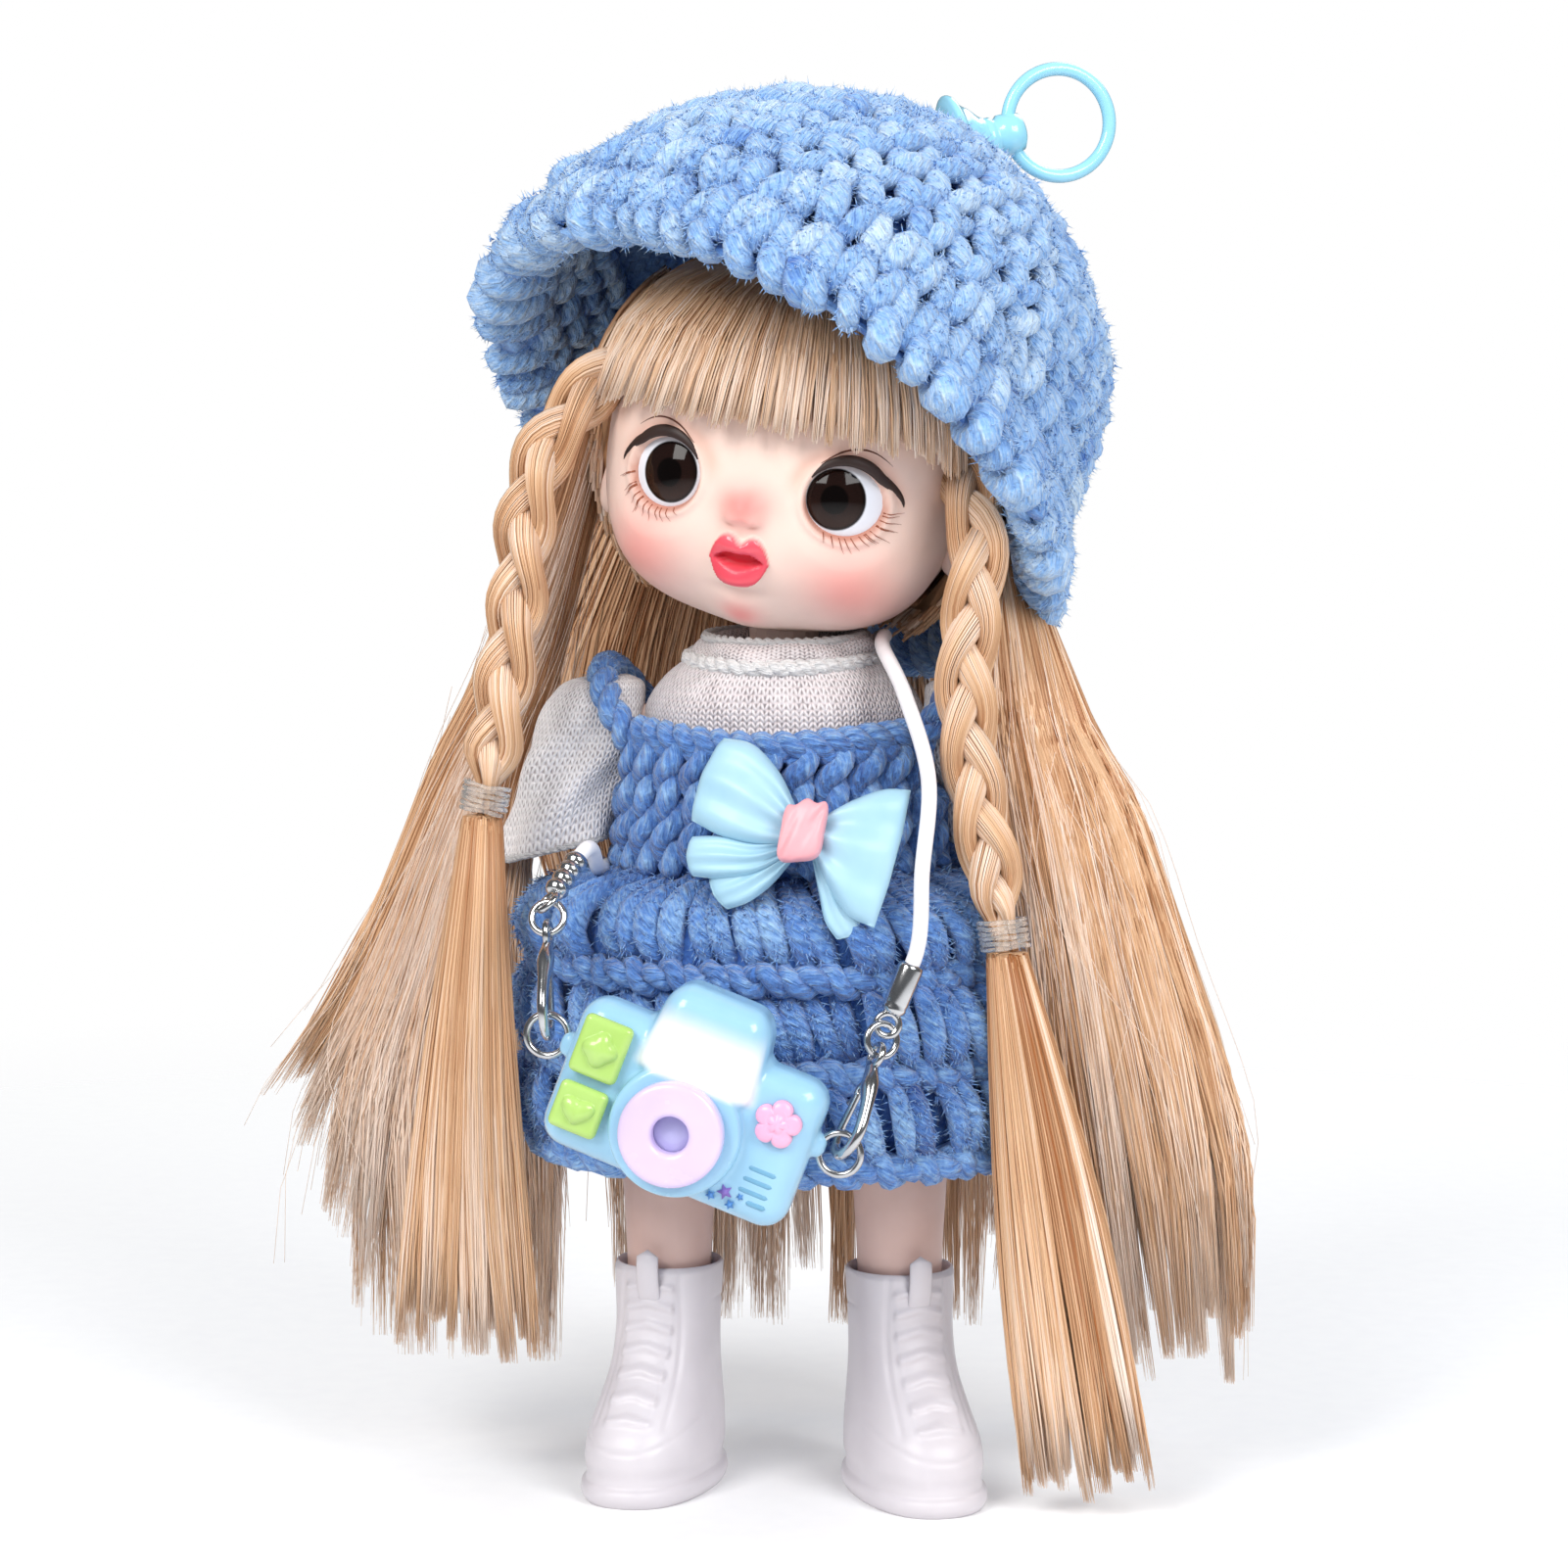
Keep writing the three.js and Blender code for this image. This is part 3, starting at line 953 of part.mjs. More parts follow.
// The least distance between points of a winding that lie half a turn or more apart along it.
function leastApart(curve, turnCount) {
  const perTurn = 40;
  const points = curve.getPoints(perTurn * turnCount);
  let least = Infinity;
  for (let i = 0; i < points.length; i += 1) {
    for (let j = i + perTurn / 2; j < points.length; j += 1) {
      least = Math.min(least, points[i].distanceTo(points[j]));
    }
  }
  return least;
}

function makeBraid(name) {
  const path = braidPath(name);
  const length = path.getLength();
  const swell = (v) => {
    const bound = 1 - ease(v * length, length - TIE_LENGTH - 5, length - TIE_LENGTH - 1);
    const plait = 0.88 + 0.12 * Math.cos((2 * Math.PI * v * length) / BRAID_CROSSING);
    return 2 + (plait * BRAID_HALF_WIDTH - 2) * bound;
  };
  const braid = loft(10, 18, (u, v) => {
    const centre = path.getPointAt(v);
    const width = swell(v);
    const depth = 1.8 + (BRAID_HALF_DEPTH - 1.8) * ((width - 2) / (BRAID_HALF_WIDTH - 2));
    const angle = 2 * Math.PI * u;
    return centre.add(vec(width * Math.cos(angle), depth * Math.sin(angle), 0));
  }, (v) => path.getPointAt(v));
  add(`braid_${name}`, cut(braid, hatShell(2 * SEAT_GAP), wigClear()), 'hair', CLOTH);
  const end = path.getPointAt(1);
  const tail = fall(TAILS[name], 10, 7).translate(end.x, end.y, end.z - SEAT_GAP);
  add(`braid_tail_${name}`, tail, 'hair', CLOTH);
  const heading = path.getTangentAt(1);
  const turns = new (class extends THREE.Curve {
    getPoint(t, target = new THREE.Vector3()) {
      const angle = 2 * Math.PI * TIE_TURNS * t;
      const ease2 = 2.2 + TIE_YARN_RADIUS + SEAT_GAP;
      target.copy(end).addScaledVector(heading, -TIE_LENGTH * (1 - t) - 0.6);
      return target.add(vec(ease2 * Math.cos(angle), ease2 * Math.sin(angle), 0));
    }
  })();
  const least = leastApart(turns, TIE_TURNS) - 2 * TIE_YARN_RADIUS;
  console.log(`hair_tie_${name}: least gap between turns ${least.toFixed(2)} mm`);
  add(`hair_tie_${name}`, tube(turns, TIE_YARN_RADIUS, 5, 12 * TIE_TURNS), 'elastic', GLOSS);
}

makeTorso();
makeJumper();
makePinafore();
makeBow();
makeHead();
makeWig();
makeBangs();
makeHat();
makeKeyRing();
for (const [side, name] of [[-1, 'right'], [1, 'left']]) {
  makeArm(side, name);
  makeLeg(side, name, side < 0 ? -RIGHT_FOOT_SPLAY : LEFT_FOOT_SPLAY);
  makeBraid(name);
}
makeFalls();
makeCamera();
makeStrap();

// The part's origin is the middle of the bottom of its box.
doll.updateMatrixWorld(true);
const box = new THREE.Box3().setFromObject(doll, true);
const middle = box.getCenter(new THREE.Vector3());
doll.position.set(-middle.x, -middle.y, -box.min.z);
doll.updateMatrixWorld(true);

export const joints = {
  shift: doll.position.toArray(),
  ringPivot: ringPivot.toArray(),
  ringTangent: ringTangent.toArray(),
  ringNormal: new THREE.Vector3().crossVectors(bellAxis, ringTangent).toArray(),
  ringCentre: ringPivot.clone().addScaledVector(bellAxis, RING_RADIUS).toArray(),
  shoulder: SHOULDER_HEIGHT,
  hip: HIP_HEIGHT,
  gates: ['left', 'right'].map((name) => [gateHinge(name).toArray(), strandFrame(name).through.toArray()]),
  eyelets: [-1, 1].map((side) => eyeletLocal(side).applyMatrix4(cameraGroup.matrix).toArray()),
};

export default doll;
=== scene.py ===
"""Crochet doll charm: a jointed doll with long braided hair, a crocheted hat and pinafore, a knitted jumper
and a toy camera on a shoulder strap. Sizes are in doll millimetres: the neck stands at x = y = 0, +Z is up
and the doll faces -Y. place() turns them into metres of the shared frame."""
import json
import math

import bpy
import numpy as np
from mathutils import Matrix, Vector


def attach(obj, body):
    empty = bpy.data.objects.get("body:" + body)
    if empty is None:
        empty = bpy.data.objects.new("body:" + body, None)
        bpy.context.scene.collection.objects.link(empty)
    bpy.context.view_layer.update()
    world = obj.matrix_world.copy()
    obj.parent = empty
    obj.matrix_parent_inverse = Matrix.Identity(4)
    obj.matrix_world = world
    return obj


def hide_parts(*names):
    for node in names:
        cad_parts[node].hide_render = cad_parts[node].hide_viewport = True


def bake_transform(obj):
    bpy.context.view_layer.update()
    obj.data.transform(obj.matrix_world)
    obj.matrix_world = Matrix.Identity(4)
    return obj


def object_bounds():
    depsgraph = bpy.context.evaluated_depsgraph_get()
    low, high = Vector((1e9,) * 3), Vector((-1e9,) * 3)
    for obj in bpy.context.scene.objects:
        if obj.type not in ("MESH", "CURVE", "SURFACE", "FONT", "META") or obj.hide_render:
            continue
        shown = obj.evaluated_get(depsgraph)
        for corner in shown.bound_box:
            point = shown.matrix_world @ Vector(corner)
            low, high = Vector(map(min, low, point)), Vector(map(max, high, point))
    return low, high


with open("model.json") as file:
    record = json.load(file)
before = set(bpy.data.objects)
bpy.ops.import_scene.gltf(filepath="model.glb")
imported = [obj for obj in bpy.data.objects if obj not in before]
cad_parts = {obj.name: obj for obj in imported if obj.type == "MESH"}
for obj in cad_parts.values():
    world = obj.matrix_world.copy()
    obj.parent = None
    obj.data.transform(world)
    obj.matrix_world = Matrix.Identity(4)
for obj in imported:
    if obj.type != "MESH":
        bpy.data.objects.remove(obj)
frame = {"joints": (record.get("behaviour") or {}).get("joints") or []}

CAD_BOX = [[float(v) for v in corner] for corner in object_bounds()]

bl_info = {
    "name": "Crochet Doll Charm",
    "version": (1, 0, 0),
    "blender": (4, 5, 0),
    "location": "3D View > Sidebar > Doll",
    "description": "Dresses the jointed doll with hair, crochet, knit, shoes and a toy camera",
    "category": "Object",
}

# Places and shapes

MILLIMETRE, METRE = 0.001, 1000
NECK_HEIGHT = 0.106
NECK = next(j for j in frame["joints"] if j["name"] == "head_turn")["pos_m"]
SHIFT = np.array([NECK[0], NECK[1], NECK[2] - NECK_HEIGHT])
HEAD_CENTRE = np.array([1.4, -1.0, 126.2])
HAT_CENTRE = np.array([-0.8, -1.0, 126.8])
BELL_FOOT = np.array([18.1, 20.1, 163.0])
HEAD_SIZE = np.array([21.6, 20.5, 21.6])
SQUARENESS = 2.5
SEEDS = {"lashes": 11, "falls": 21, "braids": 31, "tails": 51, "fringe": 71, "wig": 81, "strays": 91,
         "hat": 101, "pinafore": 121, "jumper": 141}


def rotation(axis, degrees):
    """A turn about a named axis, as a 3 x 3 array."""
    return np.array(Matrix.Rotation(math.radians(degrees), 3, axis))


HEAD_TURN = rotation("Z", -5) @ rotation("Y", 10)


def place(points):
    """Doll millimetres as metres of the shared frame."""
    return np.asarray(points, float) * MILLIMETRE + SHIFT


def on_head(points):
    """Points of the head's own frame as doll millimetres."""
    return np.asarray(points, float) @ HEAD_TURN.T + HEAD_CENTRE


def unit(v):
    """Directions of length 1."""
    v = np.asarray(v, float)
    return v / np.maximum(np.linalg.norm(v, axis=-1, keepdims=True), 1e-9)


def smooth(value, low, high):
    """An eased step from 0 at low to 1 at high."""
    t = np.clip((np.asarray(value, float) - low) / (high - low), 0, 1)
    return t * t * (3 - 2 * t)


def swell(distance, width):
    """A bell-shaped bump: 1 at no distance, fading over a width."""
    return np.exp(-((np.asarray(distance, float) / width) ** 2))


def rows_at(rows, t):
    """Smooth values between rows of [position, value, ...], one set for each t."""
    rows = np.asarray(rows, float)
    x, y = rows[:, 0], rows[:, 1:]
    slope = np.gradient(y, x, axis=0)
    t = np.asarray(t, float)
    i = np.clip(np.searchsorted(x, t) - 1, 0, len(x) - 2)
    h = (x[i + 1] - x[i])[..., None]
    s = np.clip((t - x[i])[..., None] / h, -0.3, 1.3)
    return ((2 * s ** 3 - 3 * s ** 2 + 1) * y[i] + (s ** 3 - 2 * s ** 2 + s) * h * slope[i]
            + (3 * s ** 2 - 2 * s ** 3) * y[i + 1] + (s ** 3 - s ** 2) * h * slope[i + 1])


def lengths_along(path):
    """How far along a line each of its points lies."""
    return np.concatenate([[0], np.cumsum(np.linalg.norm(np.diff(path, axis=0), axis=1))])


def turn_to(axis, toward):
    """The part of a direction that stands square to an axis, for each row."""
    return unit(toward - axis * np.sum(toward * axis, axis=1, keepdims=True))


def whole_turn(count):
    """Even angles round a circle, without the last that meets the first."""
    return np.linspace(0, 2 * np.pi, count, endpoint=False)


def curve_through(points, count):
    """Evenly spaced points on a smooth curve through the given ones."""
    points = np.asarray(points, float)
    reach = lengths_along(points)
    fine = rows_at(np.column_stack([reach, points]), np.linspace(0, reach[-1], 400))
    far = lengths_along(fine)
    at = np.linspace(0, far[-1], count)
    return np.column_stack([np.interp(at, far, fine[:, k]) for k in range(3)])


def dice(piece, more=0):
    """Repeatable random draws for a piece."""
    return np.random.default_rng(SEEDS[piece] + more)


def skull(toward, grow=0.0):
    """A point of the bare head in a direction of the head's own frame, raised by grow millimetres."""
    toward = unit(toward)
    size = np.sum(np.abs(toward / HEAD_SIZE) ** SQUARENESS, axis=-1, keepdims=True) ** (-1 / SQUARENESS)
    return toward * (size + np.asarray(grow, float)[..., None])


def heading(azimuth, elevation):
    """Directions by azimuth, which is 0 at the front and turns to the doll's left, and elevation."""
    azimuth, elevation = np.broadcast_arrays(np.asarray(azimuth, float), np.asarray(elevation, float))
    level = np.cos(elevation)
    return np.stack([np.sin(azimuth) * level, -np.cos(azimuth) * level, np.sin(elevation)], axis=-1)


# Making meshes


def deselect():
    """Leaves edit mode and selects nothing."""
    if bpy.context.object and bpy.context.object.mode != "OBJECT":
        bpy.ops.object.mode_set(mode="OBJECT")
    bpy.ops.object.select_all(action="DESELECT")


def paint_points(mesh, colour):
    """Paints each point of a mesh in its own colour."""
    layer = mesh.attributes.new("paint", "FLOAT_COLOR", "POINT")
    full = np.column_stack([np.asarray(colour, float), np.ones(len(colour))])
    layer.data.foreach_set("color", full.astype(np.float32).ravel())


def make_piece(name, points, faces, uv=None, tone=None, paint=None):
    """A mesh piece from doll millimetres. faces holds arrays of equal-sided faces; uv is per corner."""
    points = place(points)
    corners = np.concatenate([f.reshape(-1) for f in faces]).astype(np.int32)
    sizes = np.concatenate([np.full(len(f), f.shape[1]) for f in faces])
    starts = np.concatenate([[0], np.cumsum(sizes)[:-1]]).astype(np.int32)
    mesh = bpy.data.meshes.new(name)
    mesh.vertices.add(len(points))
    mesh.vertices.foreach_set("co", points.astype(np.float32).ravel())
    mesh.loops.add(len(corners))
    mesh.loops.foreach_set("vertex_index", corners)
    mesh.polygons.add(len(starts))
    mesh.polygons.foreach_set("loop_start", starts)
    mesh.polygons.foreach_set("use_smooth", np.full(len(starts), True))
    if uv is not None:
        layer = mesh.uv_layers.new(name="UVMap")
        flat = np.concatenate([u.reshape(-1, 2) for u in uv])
        layer.data.foreach_set("uv", flat.astype(np.float32).ravel())
    if tone is not None:
        values = mesh.attributes.new("tone", "FLOAT", "POINT")
        values.data.foreach_set("value", np.asarray(tone, np.float32).ravel())
    if paint is not None:
        paint_points(mesh, paint)
    mesh.update(calc_edges=True)
    mesh.validate()
    piece = bpy.data.objects.new(name, mesh)
    bpy.context.scene.collection.objects.link(piece)
    return piece


def strands(paths, radius, sides, flat=1.0, tone=0.5, spin=0.0, across=None):
    """Closed tubes along paths of equal point counts. Returns points, faces, uv and tone for make_piece."""
    paths = np.asarray(paths, float)
    if paths.ndim == 2:
        paths = paths[None]
    count, steps = paths.shape[:2]
    radius = np.broadcast_to(np.asarray(radius, float), (count, steps))
    ahead = unit(np.gradient(paths, axis=1))
    if across is None:
        spare = np.where(np.abs(ahead[:, 0, 2:3]) < 0.9, [[0.0, 0.0, 1.0]], [[1.0, 0.0, 0.0]])
        first = unit(np.cross(ahead[:, 0], spare))
    else:
        first = np.broadcast_to(np.asarray(across, float), (count, 3))
    side, carried = np.zeros_like(paths), first
    for i in range(steps):
        carried = turn_to(ahead[:, i], carried)
        side[:, i] = carried
    over = np.cross(ahead, side)
    angle = 2 * np.pi * np.arange(sides) / sides + np.asarray(spin, float).reshape(-1, 1, 1)
    angle = np.broadcast_to(angle, (count, steps, sides))
    ring = (side[:, :, None] * (np.cos(angle) * radius[:, :, None])[..., None]
            + over[:, :, None] * (np.sin(angle) * radius[:, :, None] * flat)[..., None])
    points = (paths[:, :, None] + ring).reshape(-1, 3)
    index = np.arange(count * steps * sides).reshape(count, steps, sides)
    a, b = index[:, :-1], index[:, 1:]
    quads = np.stack([a, np.roll(a, -1, 2), np.roll(b, -1, 2), b], axis=-1).reshape(-1, 4)
    caps = np.concatenate([index[:, 0, ::-1], index[:, -1]]).reshape(-1, sides)
    gone = np.concatenate([np.zeros((count, 1)),
                           np.cumsum(np.linalg.norm(np.diff(paths, axis=1), axis=2), axis=1)], axis=1) * 0.1
    u = np.arange(sides + 1) / sides
    low = np.broadcast_to(gone[:, :-1, None], (count, steps - 1, sides))
    high = np.broadcast_to(gone[:, 1:, None], (count, steps - 1, sides))
    left = np.broadcast_to(u[:-1], (count, steps - 1, sides))
    right = np.broadcast_to(u[1:], (count, steps - 1, sides))
    quad_uv = np.stack([np.stack([left, low], -1), np.stack([right, low], -1),
                        np.stack([right, high], -1), np.stack([left, high], -1)], axis=-2)
    tone = np.asarray(tone, float)
    if tone.ndim == 1 and len(tone) == count:
        tone = tone[:, None]
    tone = np.repeat(np.broadcast_to(tone, (count, steps)).reshape(-1), sides)
    return points, [quads, caps], [quad_uv.reshape(-1, 2), np.zeros((caps.size, 2))], tone


def gather(parts):
    """Joins several results of strands() or grid() into one."""
    points, faces, uvs, tones, start = [], [], [], [], 0
    for p, f, u, t in parts:
        points.append(p)
        faces += [face + start for face in f]
        uvs += list(u)
        tones.append(t)
        start += len(p)
    return np.concatenate(points), faces, uvs, np.concatenate(tones)


def grid(points, wrap=False, tone=0.5, closed_ends=False, loop=False):
    """Faces over an array of points (rows, columns, 3); wrap closes each row into a ring, loop joins the last
    row to the first."""
    points = np.asarray(points, float)
    rows, columns = points.shape[:2]
    index = np.arange(rows * columns).reshape(rows, columns)
    if loop:
        index = np.concatenate([index, index[:1]])
    if wrap:
        index = np.concatenate([index, index[:, :1]], axis=1)
    quads = np.stack([index[:-1, :-1], index[:-1, 1:], index[1:, 1:], index[1:, :-1]], axis=-1).reshape(-1, 4)
    v, u = np.meshgrid(np.linspace(0, 1, len(index)), np.linspace(0, 1, index.shape[1]), indexing="ij")
    at = np.stack([u, v], axis=-1)
    uv = np.stack([at[:-1, :-1], at[:-1, 1:], at[1:, 1:], at[1:, :-1]], axis=-2).reshape(-1, 2)
    faces, uvs = [quads], [uv]
    if closed_ends:
        ends = np.stack([index[0, :columns][::-1], index[-1, :columns]])
        faces.append(ends)
        uvs.append(np.zeros((ends.size, 2)))
    tone = np.broadcast_to(np.asarray(tone, float), (rows, columns)).reshape(-1)
    return points.reshape(-1, 3), faces, uvs, tone


def outward(piece):
    """Turns a closed piece's faces outwards, as the Recalculate Outside tool does."""
    deselect()
    piece.select_set(True)
    bpy.context.view_layer.objects.active = piece
    bpy.ops.object.mode_set(mode="EDIT")
    bpy.ops.mesh.select_all(action="SELECT")
    bpy.ops.mesh.normals_make_consistent(inside=False)
    bpy.ops.object.mode_set(mode="OBJECT")
    return piece


def settle(piece, body, material, slot, *nodes):
    """Gives a piece its finish, lets it ride on a body and hides the solids that it stands for."""
    piece.data.materials.clear()
    piece.data.materials.append(material)
    if nodes:
        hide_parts(*nodes)
    if body:
        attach(piece, body)
    return piece


def show(name, shell, body, material, slot, *nodes, paint=None):
    """Makes a closed piece from a shell's points, faces, uv and tone, turns it outwards and settles it."""
    piece = make_piece(name, *shell, paint=paint)
    outward(piece)
    return settle(piece, body, material, slot, *nodes)


def show_strands(name, shell, body, material, slot, *nodes):
    """Makes and settles a piece of tubes, which face outwards as they are made."""
    return settle(make_piece(name, *shell), body, material, slot, *nodes)


def moved(shell, mapping):
    """A shell with its points mapped to their place on the doll."""
    return (mapping(shell[0]), *shell[1:])


# Finishes


def shade(code):
    """A colour written as six hex digits, as the linear values that Blender keeps."""
    parts = [int(code[i:i + 2], 16) / 255 for i in (0, 2, 4)]
    return tuple(c / 12.92 if c <= 0.04045 else ((c + 0.055) / 1.055) ** 2.4 for c in parts)


class Finish:
    """A material under way: a Principled shader and short calls that add the nodes before it."""

    def __init__(self, name, **sockets):
        self.material = bpy.data.materials.new(name)
        self.material.use_nodes = True
        self.tree = self.material.node_tree
        self.tree.nodes.clear()
        out = self.tree.nodes.new("ShaderNodeOutputMaterial")
        self.shader = self.tree.nodes.new("ShaderNodeBsdfPrincipled")
        self.tree.links.new(self.shader.outputs[0], out.inputs[0])
        for key, value in sockets.items():
            self.shader.inputs[key.replace("_", " ")].default_value = value

    def node(self, kind, inputs=(), **settings):
        made = self.tree.nodes.new("ShaderNode" + kind)
        for key, value in settings.items():
            setattr(made, key, value)
        for key, value in dict(inputs).items():
            if isinstance(value, bpy.types.NodeSocket):
                self.tree.links.new(value, made.inputs[key])
            else:
                made.inputs[key].default_value = value
        return made

    def to(self, socket, value):
        self.tree.links.new(value, self.shader.inputs[socket])

    def math(self, operation, a, b=0.0, c=0.0):
        return self.node("Math", {0: a, 1: b, 2: c}, operation=operation).outputs[0]

    def where(self):
        return self.node("TexCoord").outputs["Object"]

    def uv(self):
        parts = self.node("SeparateXYZ", {0: self.node("UVMap", uv_map="UVMap").outputs[0]})
        return parts.outputs[0], parts.outputs[1]

    def vector(self, x, y):
        return self.node("CombineXYZ", {0: x, 1: y}).outputs[0]

    def noise(self, scale, detail=3.0, at=None, rough=0.5):
        source = at if at is not None else self.where()
        made = self.node("TexNoise", {"Vector": source, "Scale": scale, "Detail": detail, "Roughness": rough})
        return made.outputs[0]

    def attribute(self, name, output="Fac"):
        return self.node("Attribute", attribute_name=name).outputs[output]

    def ramp(self, value, stops):
        made = self.node("ValToRGB", {0: value})
        while len(made.color_ramp.elements) < len(stops):
            made.color_ramp.elements.new(0.5)
        for element, (at, colour) in zip(made.color_ramp.elements, stops):
            element.position = at
            element.color = (*colour, 1)
        return made.outputs[0]

    def mix(self, share, a, b, kind):
        made = self.node("Mix", data_type="RGBA", blend_type=kind)
        for socket, value in ((made.inputs[0], share), (made.inputs[6], a), (made.inputs[7], b)):
            if isinstance(value, bpy.types.NodeSocket):
                self.tree.links.new(value, socket)
            else:
                socket.default_value = (*value, 1) if isinstance(value, tuple) else value
        return made.outputs[2]

    def span(self, value, low, high):
        return self.node("MapRange", {0: value, 3: low, 4: high}).outputs[0]

    def bump(self, height, strength, distance):
        made = self.node("Bump", {"Height": height, "Strength": strength, "Distance": distance})
        self.to("Normal", made.outputs[0])


def lighter(colour, share):
    """A colour brought towards white."""
    return tuple(c + (1 - c) * share for c in colour)


def darker(colour, share):
    """A colour brought towards black."""
    return tuple(c * (1 - share) for c in colour)


def resin(name, colour, roughness, coat, mottle=0.05):
    """Moulded plastic or vinyl: faint mottling, uneven gloss and a fine skin."""
    f = Finish(name, Coat_Weight=coat, Coat_Roughness=0.12)
    patch = f.noise(140.0, 3.0)
    f.to("Base Color", f.ramp(patch, [(0.3, darker(colour, mottle)), (0.7, lighter(colour, mottle))]))
    fine = f.noise(900.0, 2.0)
    f.to("Roughness", f.span(f.noise(320.0, 3.0), roughness - 0.05, roughness + 0.07))
    f.bump(fine, 0.02, 0.0004)
    return f.material


def painted(name, roughness, specular, coat=0.0, subsurface=0.0, relief=0.02, mottle=0.04, wet_red=False):
    """A surface with colours painted on its points; wet_red adds gloss where the paint is a strong red."""
    f = Finish(name, Coat_Weight=coat, Coat_Roughness=0.06, Subsurface_Weight=subsurface,
               Specular_IOR_Level=specular, Subsurface_Radius=(0.0012, 0.0006, 0.0004))
    colour = f.attribute("paint", "Color")
    if wet_red:
        red, green, _ = f.node("SeparateColor", {0: colour}).outputs
        strong = f.math("SUBTRACT", red, green)
        gloss = f.node("MapRange", {0: strong, 1: 0.68, 2: 0.76, 3: 0.0, 4: 1.0})
        f.to("Coat Weight", gloss.outputs[0])
    patch = f.ramp(f.noise(260.0, 3.0), [(0.3, (1 - mottle,) * 3), (0.7, (1.0, 1.0, 1.0))])
    f.to("Base Color", f.mix(1.0, colour, patch, "MULTIPLY"))
    f.to("Roughness", f.span(f.noise(500.0, 2.0), roughness - 0.04, roughness + 0.06))
    f.bump(f.noise(2200.0, 2.0), relief, 0.0003)
    return f.material


def yarn(name, deep, middle, light):
    """Fluffy twisted yarn: plies that wind round each stitch, loose fibres, painted shade in the gaps and
    painted highlight on the raised yarn.
    """
    f = Finish(name, Roughness=0.88, Sheen_Weight=0.35, Sheen_Roughness=0.5)
    u, v = f.uv()
    sway = f.math("MULTIPLY", f.noise(160.0, 2.0), 9.0)
    twist = f.math("MULTIPLY_ADD", u, 8 * math.pi, f.math("MULTIPLY", v, 52.0))
    ply = f.math("SINE", f.math("ADD", twist, sway))
    slant = f.math("MULTIPLY_ADD", u, 22.0, f.math("MULTIPLY", v, 24.0))
    hairs = f.noise(1.0, 3.0, f.vector(slant, f.math("MULTIPLY", v, 7.0)), 0.6)
    grain = f.noise(1200.0, 4.0)
    value = f.math("MULTIPLY_ADD", ply, 0.05, f.attribute("tone"))
    value = f.math("MULTIPLY_ADD", f.math("SUBTRACT", hairs, 0.5), 1.15, value)
    value = f.math("MULTIPLY_ADD", f.math("SUBTRACT", grain, 0.5), 0.6, value)
    # The tone attribute paints light and shade: low tone gives the deep colour as painted shade in gaps and
    # at stitch ends, high tone gives the light colour as painted highlight on raised yarn and fibre tips.
    f.to("Base Color", f.ramp(value, [(0.05, deep), (0.5, middle), (0.95, light)]))
    height = f.math("MULTIPLY_ADD", ply, 0.25, f.math("MULTIPLY_ADD", hairs, 1.5, grain))
    f.bump(height, 0.85, 0.0008)
    return f.material


def hair(name, dark, middle, light, streaks=0.0):
    """Straight silky fibre with streaks along each lock, darker at the roots and in the cores as painted
    shade and lighter towards the ends as painted highlight.
    """
    f = Finish(name, Specular_IOR_Level=0.45)
    value = f.attribute("tone")
    if streaks:
        u, v = f.uv()
        line = f.noise(1.0, 4.0, f.vector(f.math("MULTIPLY", u, streaks), f.math("MULTIPLY", v, 1.2)), 0.65)
        value = f.math("MULTIPLY_ADD", f.math("SUBTRACT", line, 0.5), 0.9, value)
        f.bump(line, 0.6, 0.0008)
    else:
        value = f.math("MULTIPLY_ADD", f.math("SUBTRACT", f.noise(60.0, 2.0), 0.5), 0.25, value)
    # The ramp runs from the dark stop, a painted shadow colour, through the hair's colour to the light stop,
    # a painted highlight colour.
    f.to("Base Color", f.ramp(value, [(0.0, dark), (0.5, middle), (1.0, light)]))
    f.to("Roughness", f.span(f.noise(400.0, 2.0), 0.26, 0.4))
    return f.material


def knit(name, wool, shadow):
    """Fine stocking stitch: slanting pairs of loops in columns, a few open slots, a soft halo, and painted
    highlight on raised loops with painted shade between them.
    """
    f = Finish(name, Roughness=0.93, Sheen_Weight=0.4, Sheen_Roughness=0.6)
    u, v = f.uv()
    across = f.math("ABSOLUTE", f.math("SUBTRACT", f.math("FRACT", u), 0.5))
    climb = f.math("MULTIPLY_ADD", across, 1.5, v)
    loop = f.math("SINE", f.math("MULTIPLY", climb, 2 * math.pi))
    column = f.math("SINE", f.math("MULTIPLY", across, 2 * math.pi))
    height = f.math("MULTIPLY_ADD", loop, 0.5, column)
    wander = f.noise(420.0, 3.0)
    fuzz = f.noise(2600.0, 3.0)
    gap = f.math("MULTIPLY_ADD", wander, 0.5, f.math("MULTIPLY", height, -0.34))
    gap = f.math("MULTIPLY_ADD", fuzz, 0.5, gap)
    # Painted light and shade: the lighter stop is painted highlight on raised loops, the shadow stop is
    # painted shade between loops and in the open slots.
    f.to("Base Color", f.ramp(gap, [(0.1, lighter(wool, 0.4)), (0.36, wool), (0.6, shadow)]))
    f.bump(f.math("MULTIPLY_ADD", fuzz, 1.2, height), 0.6, 0.0003)
    return f.material


PLATE = (0.6, 0.61, 0.63)


